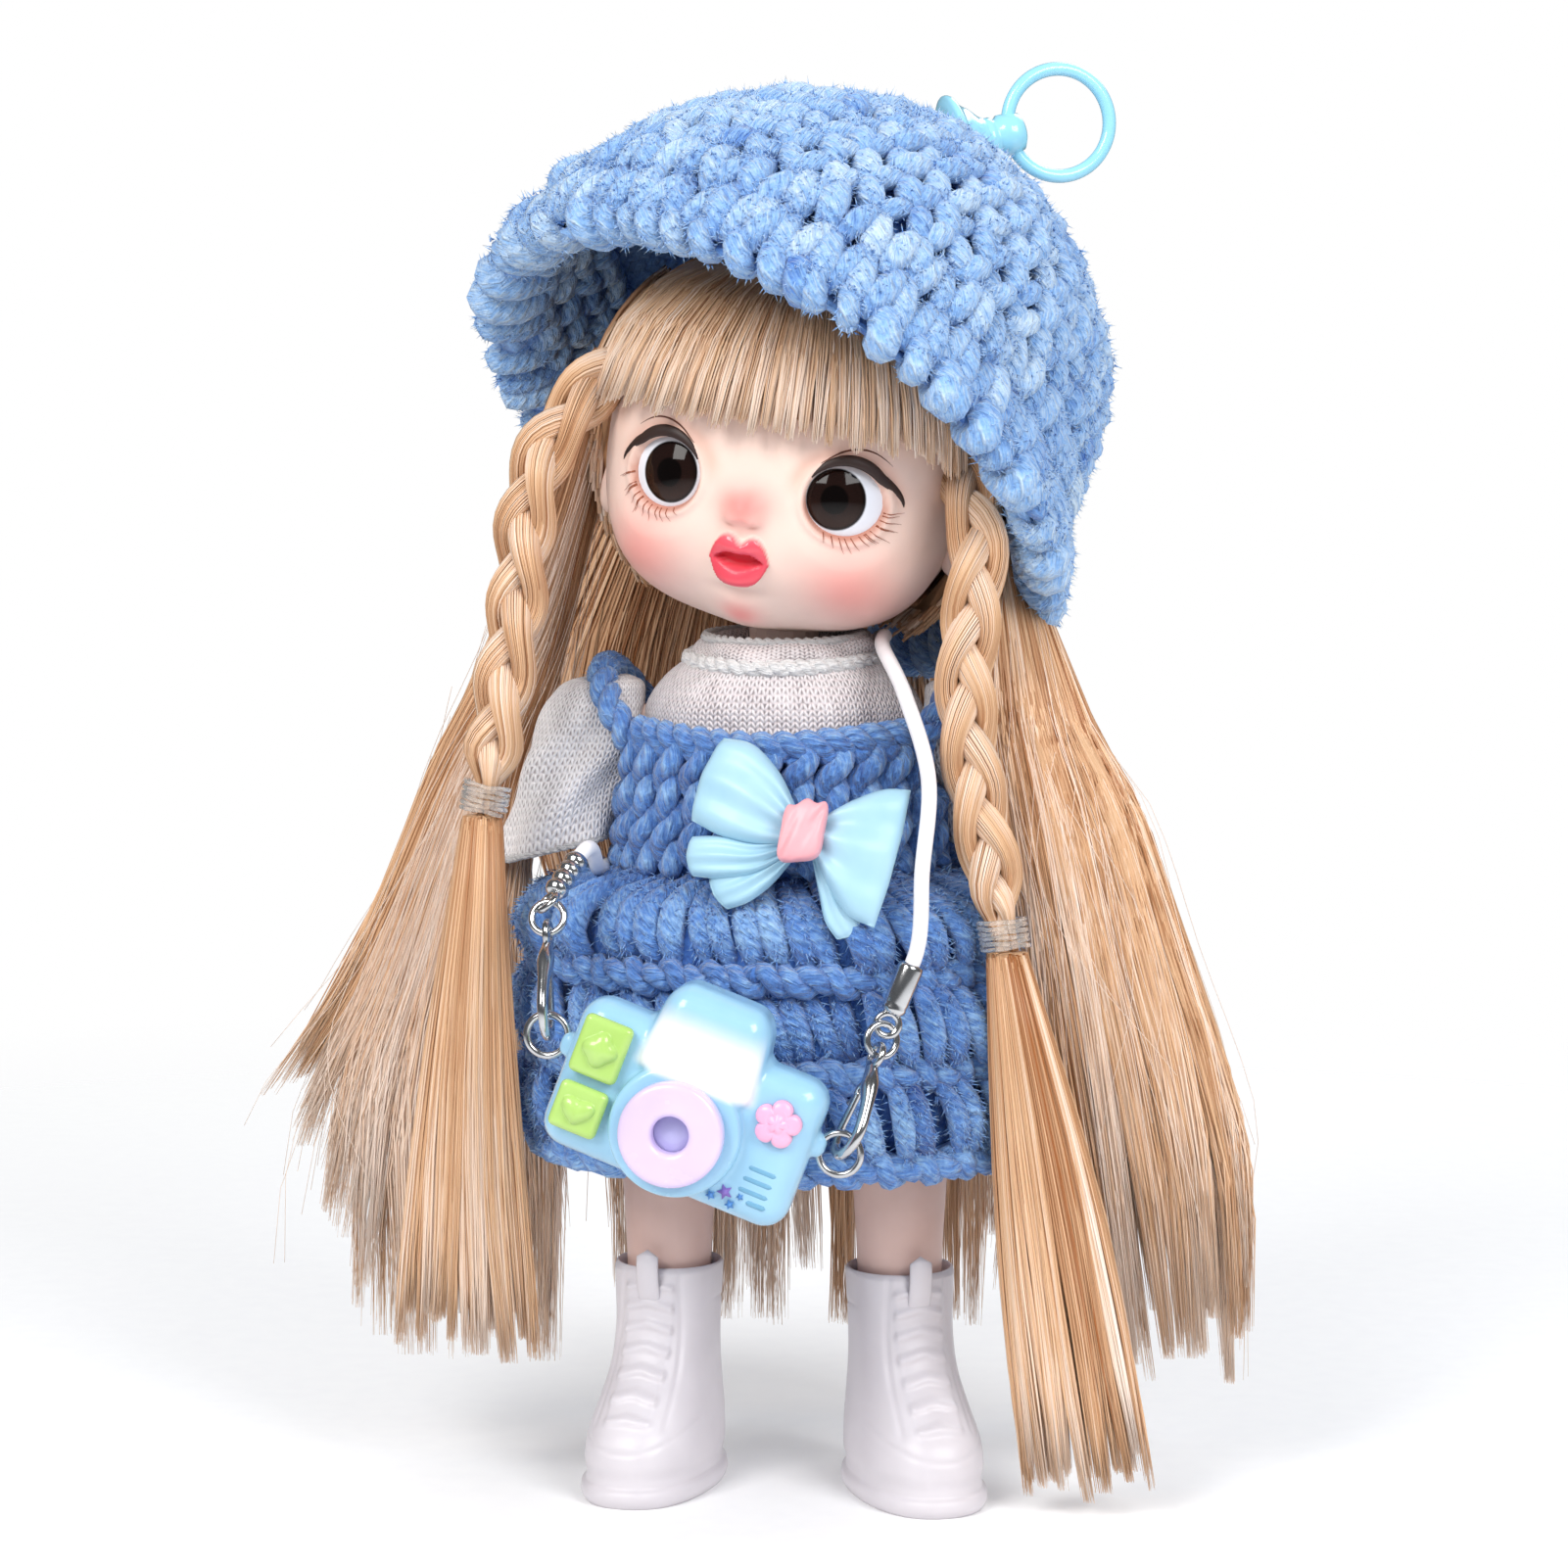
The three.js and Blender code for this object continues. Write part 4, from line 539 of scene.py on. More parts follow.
def bright_plate(name):
    """Bright plated metal with faint handling marks."""
    f = Finish(name, Metallic=1.0)
    mark = f.noise(1.0, 4.0, f.node("Mapping", {0: f.where(), 3: (900, 900, 90)}).outputs[0])
    f.to("Base Color", f.ramp(f.noise(300.0), [(0.35, darker(PLATE, 0.15)), (0.7, lighter(PLATE, 0.2))]))
    f.to("Roughness", f.span(mark, 0.1, 0.26))
    f.bump(mark, 0.06, 0.0002)
    return f.material


def clear_elastic(name):
    """Clear rubber band, milky where it is thick."""
    f = Finish(name, Transmission_Weight=0.85, IOR=1.25, Specular_IOR_Level=0.6)
    f.to("Base Color", f.ramp(f.noise(700.0), [(0.3, (0.92, 0.9, 0.87)), (0.7, (1.0, 1.0, 0.99))]))
    f.to("Roughness", f.span(f.noise(900.0), 0.1, 0.25))
    f.bump(f.noise(1400.0), 0.1, 0.0002)
    return f.material


def coated_cord(name, colour):
    """Smooth coated cord with the faint lay of the threads under its skin."""
    f = Finish(name, Coat_Weight=0.2, Coat_Roughness=0.3)
    u, v = f.uv()
    lay = f.math("SINE", f.math("MULTIPLY_ADD", u, 4 * math.pi, f.math("MULTIPLY", v, 40.0)))
    patch = f.noise(500.0, 3.0)
    f.to("Base Color", f.ramp(patch, [(0.3, darker(colour, 0.06)), (0.7, lighter(colour, 0.1))]))
    f.to("Roughness", f.span(patch, 0.42, 0.55))
    f.bump(f.math("MULTIPLY_ADD", lay, 0.3, patch), 0.15, 0.0002)
    return f.material


# Head and face

SIDES = (("right", -1), ("left", 1))
EYES = {"right": (-10.2, -4.8), "left": (11.0, -4.5)}
EYE_HALF = (4.3, 4.2)
IRIS_HALF = (3.4, 3.6)
IRIS_INWARD = {"right": 0.5, "left": 0.95}
# Airbrushed blush: strength, distance from the middle, width, height on the face and reach up and down.
BLUSHES = ((0.66, 12.0, 4.8, -14.0, 4.4), (0.95, 0.0, 3.1, -6.5, 2.2), (0.8, 0.0, 2.2, -18.8, 1.4))
EYE_RIM, LID_SHADE = (0.42, 0.1, 0.04), (0.66, 0.26, 0.16)
NOSTRIL_SHADOW, CHIN_SHADE = (0.45, 0.16, 0.1), (0.62, 0.33, 0.27)
LIP_COVER = 0.96
LIP_LIGHT = np.array((0.95, 0.35, 0.42))
LIP_EDGE = shade("d81f43")
MOUTH = shade("cc0020")
EAR_HOLLOW_SHADE = shade("b05a38")
EYE_WHITE = shade("e9ebf3")
IRIS_DARK = shade("1c0f0c")
IRIS_GLOW = shade("4c3228")


def face_depth(x, z):
    """How far forward the bare head lies at a place on the face."""
    left = 1 - np.abs(x / HEAD_SIZE[0]) ** SQUARENESS - np.abs(z / HEAD_SIZE[2]) ** SQUARENESS
    return -HEAD_SIZE[1] * np.maximum(left, 0.02) ** (1 / SQUARENESS)


def eye_reach(x, z, side):
    """1 on the rim of an eye, less inside it."""
    ex, ez = EYES[side]
    return np.sqrt(((x - ex) / EYE_HALF[0]) ** 2 + ((z - ez) / EYE_HALF[1]) ** 2)


def lip_parts(x, z):
    """Shares of lip and of open mouth at a place on the face."""
    z = z - 0.9
    ax = np.abs(x)
    top = -10.8 - 0.75 * swell(x - 0.2, 0.75) - 3.0 * (ax / 3.5) ** 4.2
    foot = -16.0 + 2.4 * (ax / 3.5) ** 3.4
    lip = smooth(top - z, -0.12, 0.16) * smooth(z - foot, -0.12, 0.16)
    roof = -12.3 - 0.35 * swell(x, 0.7) - 1.2 * (ax / 2.7) ** 1.6
    floor = -14.3 + 0.55 * (ax / 2.7) ** 2
    return lip, smooth(roof - z, -0.1, 0.25) * smooth(z - floor, -0.1, 0.3)


def face_rise(points):
    """Cheeks, nose, lips, chin and eyelids as rises over the bare head."""
    x, z = points[..., 0], points[..., 2]
    lip, mouth = lip_parts(x, z)
    clear = smooth(np.minimum(eye_reach(x, z, "right"), eye_reach(x, z, "left")), 1.0, 1.8)
    rise = 1.3 * clear * swell(np.abs(x) - 12, 6) * swell(z + 13, 6) + 1.2 * swell(x, 4) * swell(z + 19, 2.6)
    nose = 1.9 * swell(x, 2.2) * swell(z + 7.2, 2.0)
    rise = rise + nose + 0.5 * swell(np.abs(x) - 1.5, 0.9) * swell(z + 8.1, 0.9)
    rise = rise + 1.3 * swell(x, 3.6) * swell(z + 13.9, 3.6)
    upper = 0.75 * swell(z + 10.9, 0.9) * swell(x, 2.8)
    rise = rise + lip * (0.45 + upper + 0.85 * swell(z + 14.3, 0.9) * swell(x, 2.6))
    rise = rise - 1.0 * mouth - 0.5 * swell(x, 2.4) * swell(z + 16.4, 0.7)
    for side in EYES:
        reach = eye_reach(x, z, side)
        rise = rise + 0.5 * swell(reach - 1.13, 0.13) - 3.2 * smooth(-reach, -1.04, -0.8)
    return np.where(points[..., 1] < 0, rise, 0.0)


def face_paint(points, skin, blush, lips):
    """The face's colours: blush, shaded eye rims, painted shadow in the nostrils, and lips."""
    x, y, z = points[..., 0], points[..., 1], points[..., 2]
    skin, blush, lips = (np.array(c) for c in (skin, blush, lips))
    colour = np.broadcast_to(skin, points.shape).copy()

    def over(share, tint):
        nonlocal colour
        share = np.clip(share, 0, 1)[..., None] * (y < 0)[..., None]
        colour = colour * (1 - share) + np.asarray(tint) * share

    for strength, aside, wide, height, tall in BLUSHES:
        over(strength * swell(np.abs(x) - aside, wide) * swell(z - height, tall), blush)
    for side, way in SIDES:
        reach = eye_reach(x, z, side)
        ex, ez = EYES[side]
        low = smooth(ez + 1.5 - z, 0, 3) + 0.5 * smooth((x - ex) * way, 0, 4)
        over(0.75 * swell(np.maximum(reach - 1.0, 0), 0.09) * np.clip(low, 0.25, 1), EYE_RIM)
        over(0.35 * swell(reach - 1.35, 0.22) * smooth(z - ez, -1, 2.5), LID_SHADE)
    # Painted shadow in the nostrils.
    over(0.55 * swell(np.abs(x) - 1.35, 0.55) * swell(z + 9.0 - 0.12 * np.abs(x), 0.24), NOSTRIL_SHADOW)
    lip, mouth = lip_parts(x, z)
    over(0.3 * swell(x, 3.2) * swell(z + 16.2, 0.6), CHIN_SHADE)
    upper = lips * 0.8 + LIP_LIGHT * 0.2
    edge = swell(z + 13, 2.0)[..., None]
    tint = upper * (1 - 0.55 * edge) + np.array(LIP_EDGE) * 0.55 * edge
    over(lip * LIP_COVER, tint)
    over(mouth * smooth(-11.3 - z, 0, 0.9), MOUTH)
    return colour


def make_head(colours):
    """The head with its ears, closer-meshed at the face."""
    azimuth = whole_turn(260)
    azimuth = azimuth - 0.62 * np.sin(azimuth)
    elevation = np.radians(np.concatenate([np.linspace(89.4, 22, 26), np.linspace(21, -62, 150),
                                           np.linspace(-63.5, -89.4, 14)]))
    toward = heading(azimuth[None, :], elevation[:, None])[:, ::-1]
    base = skull(toward)
    shaped = skull(toward, face_rise(base))
    colour = face_paint(base, colours.skin[:], colours.blush[:], colours.lips[:])
    shell = grid(shaped, wrap=True, closed_ends=True)
    parts, paints = [shell], [colour.reshape(-1, 3)]
    for way in (-1, 1):
        a, e = np.meshgrid(whole_turn(28), np.radians(np.linspace(88, -88, 19)))
        ball = heading(a, e)[:, ::-1]
        hollow = swell(ball[..., 0] * way - 1, 0.55) * swell(ball[..., 2] - 0.05, 0.5)
        hollow = (hollow * swell(ball[..., 1] + 0.1, 0.45))[..., None]
        ear = ball * np.array([2.0, 2.5, 3.5]) - np.array([1.5 * way, 0, 0]) * hollow
        parts.append(grid(ear + np.array([way * 21.4, 1, -8.5]), wrap=True, closed_ends=True))
        # Painted shade in the hollow of each ear.
        tint = np.array(colours.skin[:]) * (1 - 0.8 * hollow) + np.array(EAR_HOLLOW_SHADE) * 0.8 * hollow
        paints.append(tint.reshape(-1, 3))
    points, faces, uv, _ = gather(parts)
    vinyl = painted("painted_vinyl_skin", 0.42, 0.3, subsurface=0.06, wet_red=True)
    show("face_and_head", (on_head(points), faces, uv, None), "head", vinyl, "skin", "head",
         paint=np.concatenate(paints))


def make_eye(side, way):
    """A domed glossy eye: bluish white with painted shadow of the lid over its upper part, dark iris set
    towards the nose, and a black pupil.
    """
    ex, ez = EYES[side]
    r, a = np.meshgrid(np.linspace(0.012, 1.06, 56), whole_turn(120), indexing="ij")
    x, z = ex + EYE_HALF[0] * r * np.cos(a), ez + EYE_HALF[1] * r * np.sin(a)
    y = face_depth(x, z) - 1.15 * (1 - r ** 2) + 0.55
    front = np.stack([x, y, z], axis=-1)
    back = np.stack([x[-1], y[-1] + 1.6, z[-1]], axis=-1)[None]
    points = np.concatenate([front, back])
    ix, iz = ex - way * IRIS_INWARD[side], ez + 0.1
    out = np.sqrt(((points[..., 0] - ix) / IRIS_HALF[0]) ** 2 + ((points[..., 2] - iz) / IRIS_HALF[1]) ** 2)
    fall = smooth(iz - points[..., 2], -0.5, 3.0)
    # The white darkens towards the top: painted shadow of the upper lid.
    white = np.array(EYE_WHITE) * (1 - 0.42 * smooth(points[..., 2] - ez, 1.2, 4.4))[..., None]
    iris = np.array(IRIS_DARK) + np.array(IRIS_GLOW) * (0.22 * fall * smooth(out, 0.3, 0.8))[..., None]
    iris = iris * (1 - 0.75 * smooth(out, 0.86, 0.97))[..., None]
    iris = iris * (1 - 0.85 * smooth(-out, -0.5, -0.42))[..., None]
    inside = smooth(-out, -1.02, -0.97)[..., None]
    colour = white * (1 - inside) + iris * inside
    points, faces, uv, _ = grid(points, wrap=True, closed_ends=True)
    gloss = painted("glossy_eye", 0.06, 0.2, coat=0.12, relief=0.0, mottle=0.0)
    show("eye_" + side + "_glossy", (on_head(points), faces, uv, None), "head", gloss, "eye", "eye_" + side,
         paint=colour.reshape(-1, 3))


def on_face(x, z, proud):
    """Points just above the finished face."""
    flat = np.stack([x, face_depth(x, z), z], axis=-1)
    return skull(flat, face_rise(flat) + proud)


def round_eye(side, way, reach, angle):
    """Places on the face about an eye; angles open away from the nose."""
    ex, ez = EYES[side]
    return ex + way * EYE_HALF[0] * reach * np.cos(angle), ez + EYE_HALF[1] * reach * np.sin(angle)


def lash(x, z, proud, radius, sides, flat, tone):
    """A painted line just above the face."""
    return strands(on_face(x, z, proud)[None], radius[None], sides, flat, tone, across=(0, -1, 0))


def make_lashes():
    """Upper lash bands, eyelid creases and fine lower lashes."""
    bands, creases, fine = [], [], []
    chance = dice("lashes")
    t = np.linspace(0, 1, 40)
    for side, way in SIDES:
        reach = 1.06 + 0.38 * smooth(t, 0.7, 1.0) + 0.02 * np.sin(np.pi * t)
        x, z = round_eye(side, way, reach, np.radians(150 - 146 * t))
        wide = 0.1 + 0.66 * np.sin(np.pi * t ** 1.15) ** 0.75
        wide[-1] = 0.05
        bands.append(lash(x, z + 0.25 * np.sin(np.pi * t), 0.05, wide * 0.3, 8, 3.2, 0.2))
        x, z = round_eye(side, way, 1.2 + 0.36 * smooth(t, 0.0, 0.8), np.radians(128 - 80 * t))
        creases.append(lash(x, z, 0.02, 0.09 * np.sin(np.pi * (0.1 + 0.85 * t)), 6, 1.3, 0.6))
        roots = np.radians(np.concatenate([np.linspace(-112, -12, 11), np.linspace(-52, -8, 3)]))
        for root in roots + chance.normal(0, 0.03, len(roots)):
            long = 0.2 + 0.16 * chance.random() + 0.14 * math.cos(root)
            x, z = round_eye(side, way, np.linspace(1.0, 1.03 + long, 5), root + np.linspace(0, 0.1, 5) * way)
            fine.append(lash(x, z, 0.1, np.linspace(0.07, 0.014, 5), 4, 1, 0.8))
    f = Finish("lash_paint", Roughness=0.5)
    value = f.math("MULTIPLY_ADD", f.noise(900.0), 0.12, f.attribute("tone"))
    brown = [(0.2, shade("2c201d")), (0.6, shade("4a2318")), (1.0, shade("b4623f"))]
    f.to("Base Color", f.ramp(value, brown))
    show_strands("lash_lines", moved(gather(bands + creases + fine), on_head), "head", f.material, "eye")


# Hair

# Falls and tails: position, middle (x, y, z), half width, half thickness, and turn about Z.
FALLS = {
    "right": [[0, -21.5, 4, 138, 7.5, 1.2, 86], [0.09, -25.4, 5, 125, 6.5, 1.6, 80],
              [0.2, -31, 5.5, 106, 6.5, 2, 65], [0.4, -38, 4, 87, 7, 2.2, 35],
              [0.62, -43.5, 2, 63, 10.5, 2.2, 10], [0.85, -47.5, 1, 38, 19.5, 2, 0],
              [1, -47.5, 1, 12.5, 19, 1.2, 0]],
    "left": [[0, 23, 2, 127, 6.5, 1.2, 88], [0.06, 25.2, 0, 115, 5.4, 1.4, 86],
             [0.13, 29.4, -8, 101, 5.4, 1.6, 35], [0.3, 35, -11.5, 85, 8, 1.8, 8],
             [0.5, 39, -10, 68, 9.5, 2, 4], [0.78, 44, -2, 40, 12, 2, 0], [1, 47, 1, 12, 9.5, 1.2, 0]],
    "back": [[0, 0, 20.5, 130, 20, 1.4, 0], [0.08, -2, 23, 119, 24, 1.6, 0], [0.2, -3, 26, 98, 33, 2.2, 0],
             [0.5, -3, 27.6, 70, 31, 2.4, 0], [0.8, 0, 28, 38, 26, 2.2, 0], [1, 0, 28, 12, 25, 1.4, 0]],
}
# Strands, locks, raggedness and slant of each fall's end.
FALL_MAKE = {"right": (3600, 44, 0.1, 0.2), "left": (3600, 38, 0.13, 0.0), "back": (2800, 40, 0.13, 0.0)}
BRAIDS = {
    "right": [[-19, -11, 136], [-26.4, -15.4, 125], [-29.6, -16.5, 106], [-33.3, -18, 83]],
    "left": [[19.5, -6.5, 129.5], [24.6, -14.6, 117], [23.6, -17.5, 99], [28.6, -18.5, 68]],
}
BRAID_FRONT = {"right": -0.45, "left": 0.25}
BRAID_PITCH = 27.0
TAILS = {
    "right": [[0, 0, 0, 0, 2.2, 1.9, 0], [0.35, -2, 2, -25, 5, 2.4, 0], [1, -4, 6, -67, 9, 1.4, 0]],
    "left": [[0, 0, 0, 0, 2.2, 1.9, 0], [0.35, 3.8, 2.5, -24, 5.5, 2.6, 0], [1, 9.8, 6, -66.5, 7.8, 1.6, 0]],
}


def fall_points(rows, t, across, through):
    """Points of a fall at t, for shares of its half width and half thickness."""
    v = rows_at(rows, t)
    turn = np.radians(v[..., 5])
    w, h = v[..., 3] * across, v[..., 4] * through
    return np.stack([v[..., 0] + w * np.cos(turn) - h * np.sin(turn),
                     v[..., 1] + w * np.sin(turn) + h * np.cos(turn), v[..., 2]], axis=-1)


def fall_strands(rows, count, chance, clumps, ragged, slant=0.0, steps=7, radius=0.17, gather_in=0.22):
    """Strands that fill a fall, drawn together into pointed locks towards their ragged ends."""
    angle = chance.uniform(0, 2 * np.pi, count)
    out = np.sqrt(chance.uniform(0.3, 1.0, count)) * 1.04
    across, through = np.cos(angle) * out, np.sin(angle) * out
    lock_across = np.sort(np.sin(chance.uniform(-np.pi / 2, np.pi / 2, clumps)))
    lock_through = chance.uniform(-0.8, 0.8, clumps)
    lock_end = 1 - ragged * chance.random(clumps) ** 1.3 - slant * smooth(-lock_across, 0.1, 1.0)
    lock_tone = chance.normal(0, 0.13, clumps)
    mine = np.argmin(np.abs(across[:, None] - lock_across[None]) * 3
                     + 0.5 * np.abs(through[:, None] - lock_through[None]), axis=1)
    end = np.clip(lock_end[mine] - 0.16 * chance.random(count) ** 2.2, 0.5, 1.0)
    begin = 0.03 * chance.random(count)
    between = np.arange(steps) % (steps - 1) > 0
    s = np.linspace(0, 1, steps)[None] + 0.12 * (chance.random((count, steps)) - 0.5) * between
    t = begin[:, None] + (end - begin)[:, None] * s
    draw = (gather_in + 0.16 * smooth(s, 0.75, 1.0)) * smooth(t, 0.25, 1.0) * smooth(s, 0.1, 1.0)
    a = across[:, None] * (1 - draw) + lock_across[mine][:, None] * draw
    b = through[:, None] * (1 - draw) + lock_through[mine][:, None] * draw
    a = a + 0.05 * np.sin(6 * t + 2.5 * chance.random(count)[:, None] + 9 * lock_across[mine][:, None]) * s
    paths = fall_points(rows, t, a, b)
    size = radius * (1 - 0.85 * s ** 7) * chance.uniform(0.75, 1.2, count)[:, None]
    # Tone rises along each strand: painted shade near the roots and painted highlight towards the ends, with
    # random variation per lock and strand.
    tone = 0.5 + lock_tone[mine][:, None] + chance.normal(0, 0.12, count)[:, None] + 0.4 * (t - 0.42)
    return strands(paths, size, 3, 1.0, tone, spin=chance.uniform(0, 6, count))


def fall_core(rows, shrink=0.93, end=0.66, around=120, steps=44):
    """The dense middle of a fall, under its strands."""
    a = whole_turn(around)[None]
    uneven = 0.035 * np.sin(9 * np.cos(a) + 1) + 0.03 * np.sin(23 * np.cos(a)) + 0.012 * np.sin(4 * a)
    t = (end + uneven) * np.linspace(0, 1, steps)[:, None]
    ripple = 1 + 0.08 * np.sin(7 * a + 3 * t) * np.ones_like(t)
    close = 1 - 0.86 * smooth(t, end - 0.3, end + 0.02)
    points = fall_points(rows, t + 0 * a, shrink * np.cos(a) * ripple, shrink * np.sin(a) * ripple * close)
    return grid(points, wrap=True, tone=0.42 + 0.16 * t, closed_ends=True)


def hang_from_head(piece):
    """Bakes a hair piece's placement into its points; the piece rides on no body."""
    SHIFT[0]
    SHIFT[1]
    SHIFT[0]
    SHIFT[1]
    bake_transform(piece)


def hang_lock(node, strand_shell, core_shell, finishes):
    """A hanging lock of hair: fine strands over a dense core."""
    hang_from_head(show_strands(node + "_strands", strand_shell, None, finishes["hair"], "hair", node))
    hang_from_head(show(node + "_core", core_shell, None, finishes["hair_core"], "hair", node))


def make_falls(finishes):
    """The two side falls and the back fall."""
    for name, (count, clumps, ragged, slant) in FALL_MAKE.items():
        locks = fall_strands(FALLS[name], count, dice("falls", len(name)), clumps, ragged, slant)
        hang_lock("hair_" + name, locks, fall_core(FALLS[name]), finishes)


def braid_frame(name, count):
    """A braid's middle line with its sideways and forward directions."""
    path = curve_through(BRAIDS[name], count)
    ahead = unit(np.gradient(path, axis=0))
    front = turn_to(ahead, np.broadcast_to(np.array([BRAID_FRONT[name], -1.0, 0.0]), path.shape))
    return path, np.cross(ahead, front), front


def make_braid(name, finishes):
    """A three-strand plait: each strand swings from side to side and dips behind the others in turn."""
    chance = dice("braids", len(name))
    steps, count = 56, 70
    path, side, front = braid_frame(name, steps)
    long = lengths_along(path)
    bound = 1 - 0.62 * smooth(long, long[-1] - 9, long[-1] - 2)
    parts = []
    for k in range(3):
        phase = 2 * np.pi * (long / BRAID_PITCH + k / 3)
        sideways = side * (2.25 * bound * np.sin(phase))[:, None]
        middle = path + (sideways + front * (1.15 * bound * np.sin(2 * phase))[:, None])
        thick = 1.85 * bound * (1.0 + 0.16 * np.cos(2 * phase))
        # Each strand's inner tube has a low tone: painted shade in the plait's crevices.
        parts.append(strands(middle[None], thick[None] * 0.92, 14, 0.78, 0.28, across=front[0]))
        ahead = unit(np.gradient(middle, axis=0))
        over = turn_to(ahead, front)
        beside = np.cross(ahead, over)
        angle = 2 * np.pi * (np.arange(count) + chance.random(count)) / count
        roll = angle[:, None] + 0.03 * long[None]
        paths = middle[None] + (over[None] * np.cos(roll)[..., None] * (thick * 0.97)[None, :, None]
                                + beside[None] * np.sin(roll)[..., None] * (thick * 0.82)[None, :, None])
        size = 0.115 * chance.uniform(0.7, 1.25, count)[:, None] * np.ones(steps)[None]
        tone = 0.52 + chance.normal(0, 0.13, count)[:, None] + 0.16 * np.cos(2 * phase)[None]
        parts.append(strands(paths, size, 3, 1.0, tone))
    plait = show_strands("braid_" + name + "_plait", gather(parts), None, finishes["hair"], "hair",
                         "braid_" + name)
    hang_from_head(plait)
    make_braid_end(name, path, side[-1], front[-1], finishes)


def make_braid_end(name, path, side, front, finishes):
    """The loose tail of a braid and the clear elastic that is wound round it."""
    end = path[-1]
    rows = np.array(TAILS[name], float)
    rows[:, 1:4] += end
    locks = fall_strands(rows, 2000, dice("tails", len(name)), clumps=20, ragged=0.1)
    hang_lock("braid_tail_" + name, locks, fall_core(rows, 0.9, end=0.72), finishes)
    turns = 5.5
    t = np.linspace(0, 1, 150)
    ahead = unit(path[-1] - path[-4])
    swing = 2 * np.pi * turns * t
    wobble = 0.35 * np.sin(2.3 * swing) + 0.2 * np.sin(5.1 * swing)
    coil = (end - ahead * 0.4)[None] - ahead[None] * (3.3 * (1 - t) + 0.25 * wobble)[:, None]
    coil = coil + (side[None] * np.cos(swing)[:, None] * 2.75 + front[None] * np.sin(swing)[:, None] * 2.4)
    tie = show_strands("hair_tie_" + name + "_elastic", strands(coil[None], 0.27, 8), None,
                       finishes["elastic"], "elastic", "hair_tie_" + name)
    hang_from_head(tie)


def scalp_core(name, azimuth, elevation, outer, inner, tone, finishes, node):
    """A closed layer of hair on the head, between two heights above the skin, in a low tone that is painted
    shade under the strands.
    """
    spot = heading(azimuth + 0 * elevation, elevation + 0 * azimuth)
    level = 0 * (azimuth + elevation)
    layers = [skull(spot, outer + level), skull(spot, inner + level)[:, ::-1]]
    shell = grid(np.concatenate(layers, axis=1), wrap=True, tone=tone, closed_ends=True)
    show(name, moved(shell, on_head), "head", finishes["hair_core"], "hair", node)


def make_fringe(finishes):
    """Straight-cut fringe: layers of strands from under the hat down to an even line above the eyes."""
    chance = dice("fringe")
    count, steps = 3700, 6
    azimuth = np.radians(chance.uniform(-66, 66, count))
    layer = chance.random(count)
    clump = np.round(azimuth * 16 + chance.normal(0, 0.25, count)) / 16
    side = np.abs(azimuth) / math.radians(64)
    foot = 3.1 - 1.2 * layer - 1.6 * smooth(side, 0.72, 1.0) + chance.normal(0, 0.28, count)
    foot = foot - 0.5 * np.cos(clump * 37)
    s = np.linspace(0, 1, steps)[None]
    root = np.radians(66 - 14 * chance.random(count))
    base = np.arcsin(np.clip(foot / 20.6, -1, 1))
    lift = root[:, None] * (1 - s) + base[:, None] * s
    turn = azimuth[:, None] * (0.82 + 0.18 * s) + (clump - azimuth)[:, None] * 0.5 * smooth(s, 0.45, 1)
    proud = 1.0 + 1.9 * layer[:, None] * smooth(s, -0.1, 0.6) + 0.5 * s ** 2
    paths = skull(heading(turn, lift), proud)
    # Tone is low at the roots and rises down each strand: painted shade under the hat, with random variation
    # per clump and strand.
    tone = (0.2 + 0.52 * smooth(s, 0.1, 0.85) + chance.normal(0, 0.11, count)[:, None]
            + 0.1 * np.cos(clump * 61)[:, None])
    size = 0.13 * chance.uniform(0.75, 1.2, count)[:, None] * (1 - 0.5 * s ** 6)
    shell = strands(paths, size, 3, 1.0, tone, spin=chance.uniform(0, 6, count))
    show_strands("fringe_strands", moved(shell, on_head), "head", finishes["hair"], "hair", "bangs")
    azimuth = np.radians(np.linspace(-63, 63, 90))[None]
    elevation = np.radians(np.linspace(68, 10, 24))[:, None]
    scalp_core("fringe_core", azimuth, elevation, 1.9, 0.75, 0.3, finishes, "bangs")


def make_wig(finishes):
    """Hair that lies on the sides and back of the head, from under the hat into the falls."""
    chance = dice("wig")
    count, steps = 1800, 7
    azimuth = np.radians(chance.uniform(70, 290, count))
    s = np.linspace(0, 1, steps)[None]
    root = np.radians(chance.uniform(25, 45, count))
    nape = 0.5 - 0.5 * np.cos(azimuth)
    foot = np.radians(6 - 50 * smooth(nape, 0.42, 0.64) + chance.normal(0, 3, count))
    lift = root[:, None] * (1 - s) + foot[:, None] * s
    proud = 1.6 + 1.4 * chance.random(count)[:, None] + 0.8 * s
    paths = skull(heading(azimuth[:, None] + 0 * s, lift), proud)
    # The low tone rising towards the tips is painted shade near the roots; the rest varies at random.
    tone = 0.4 + chance.normal(0, 0.15, count)[:, None] + 0.15 * s + 0.1 * np.cos(23 * azimuth)[:, None]
    size = 0.24 * chance.uniform(0.75, 1.2, count)[:, None] + 0 * s
    shell = strands(paths, size, 3, 1.0, tone, spin=chance.uniform(0, 6, count))
    show_strands("wig_strands", moved(shell, on_head), "head", finishes["hair"], "hair", "wig_cap")
    azimuth = np.radians(np.linspace(72, 288, 100))[None]
    low = 8 - 50 * smooth(0.5 - 0.5 * np.cos(azimuth), 0.42, 0.64)
    elevation = np.radians(55 + (low - 55) * np.linspace(0, 1, 40)[:, None])
    scalp_core("wig_core", azimuth, elevation, 2.1, 0.7, 0.25, finishes, "wig_cap")


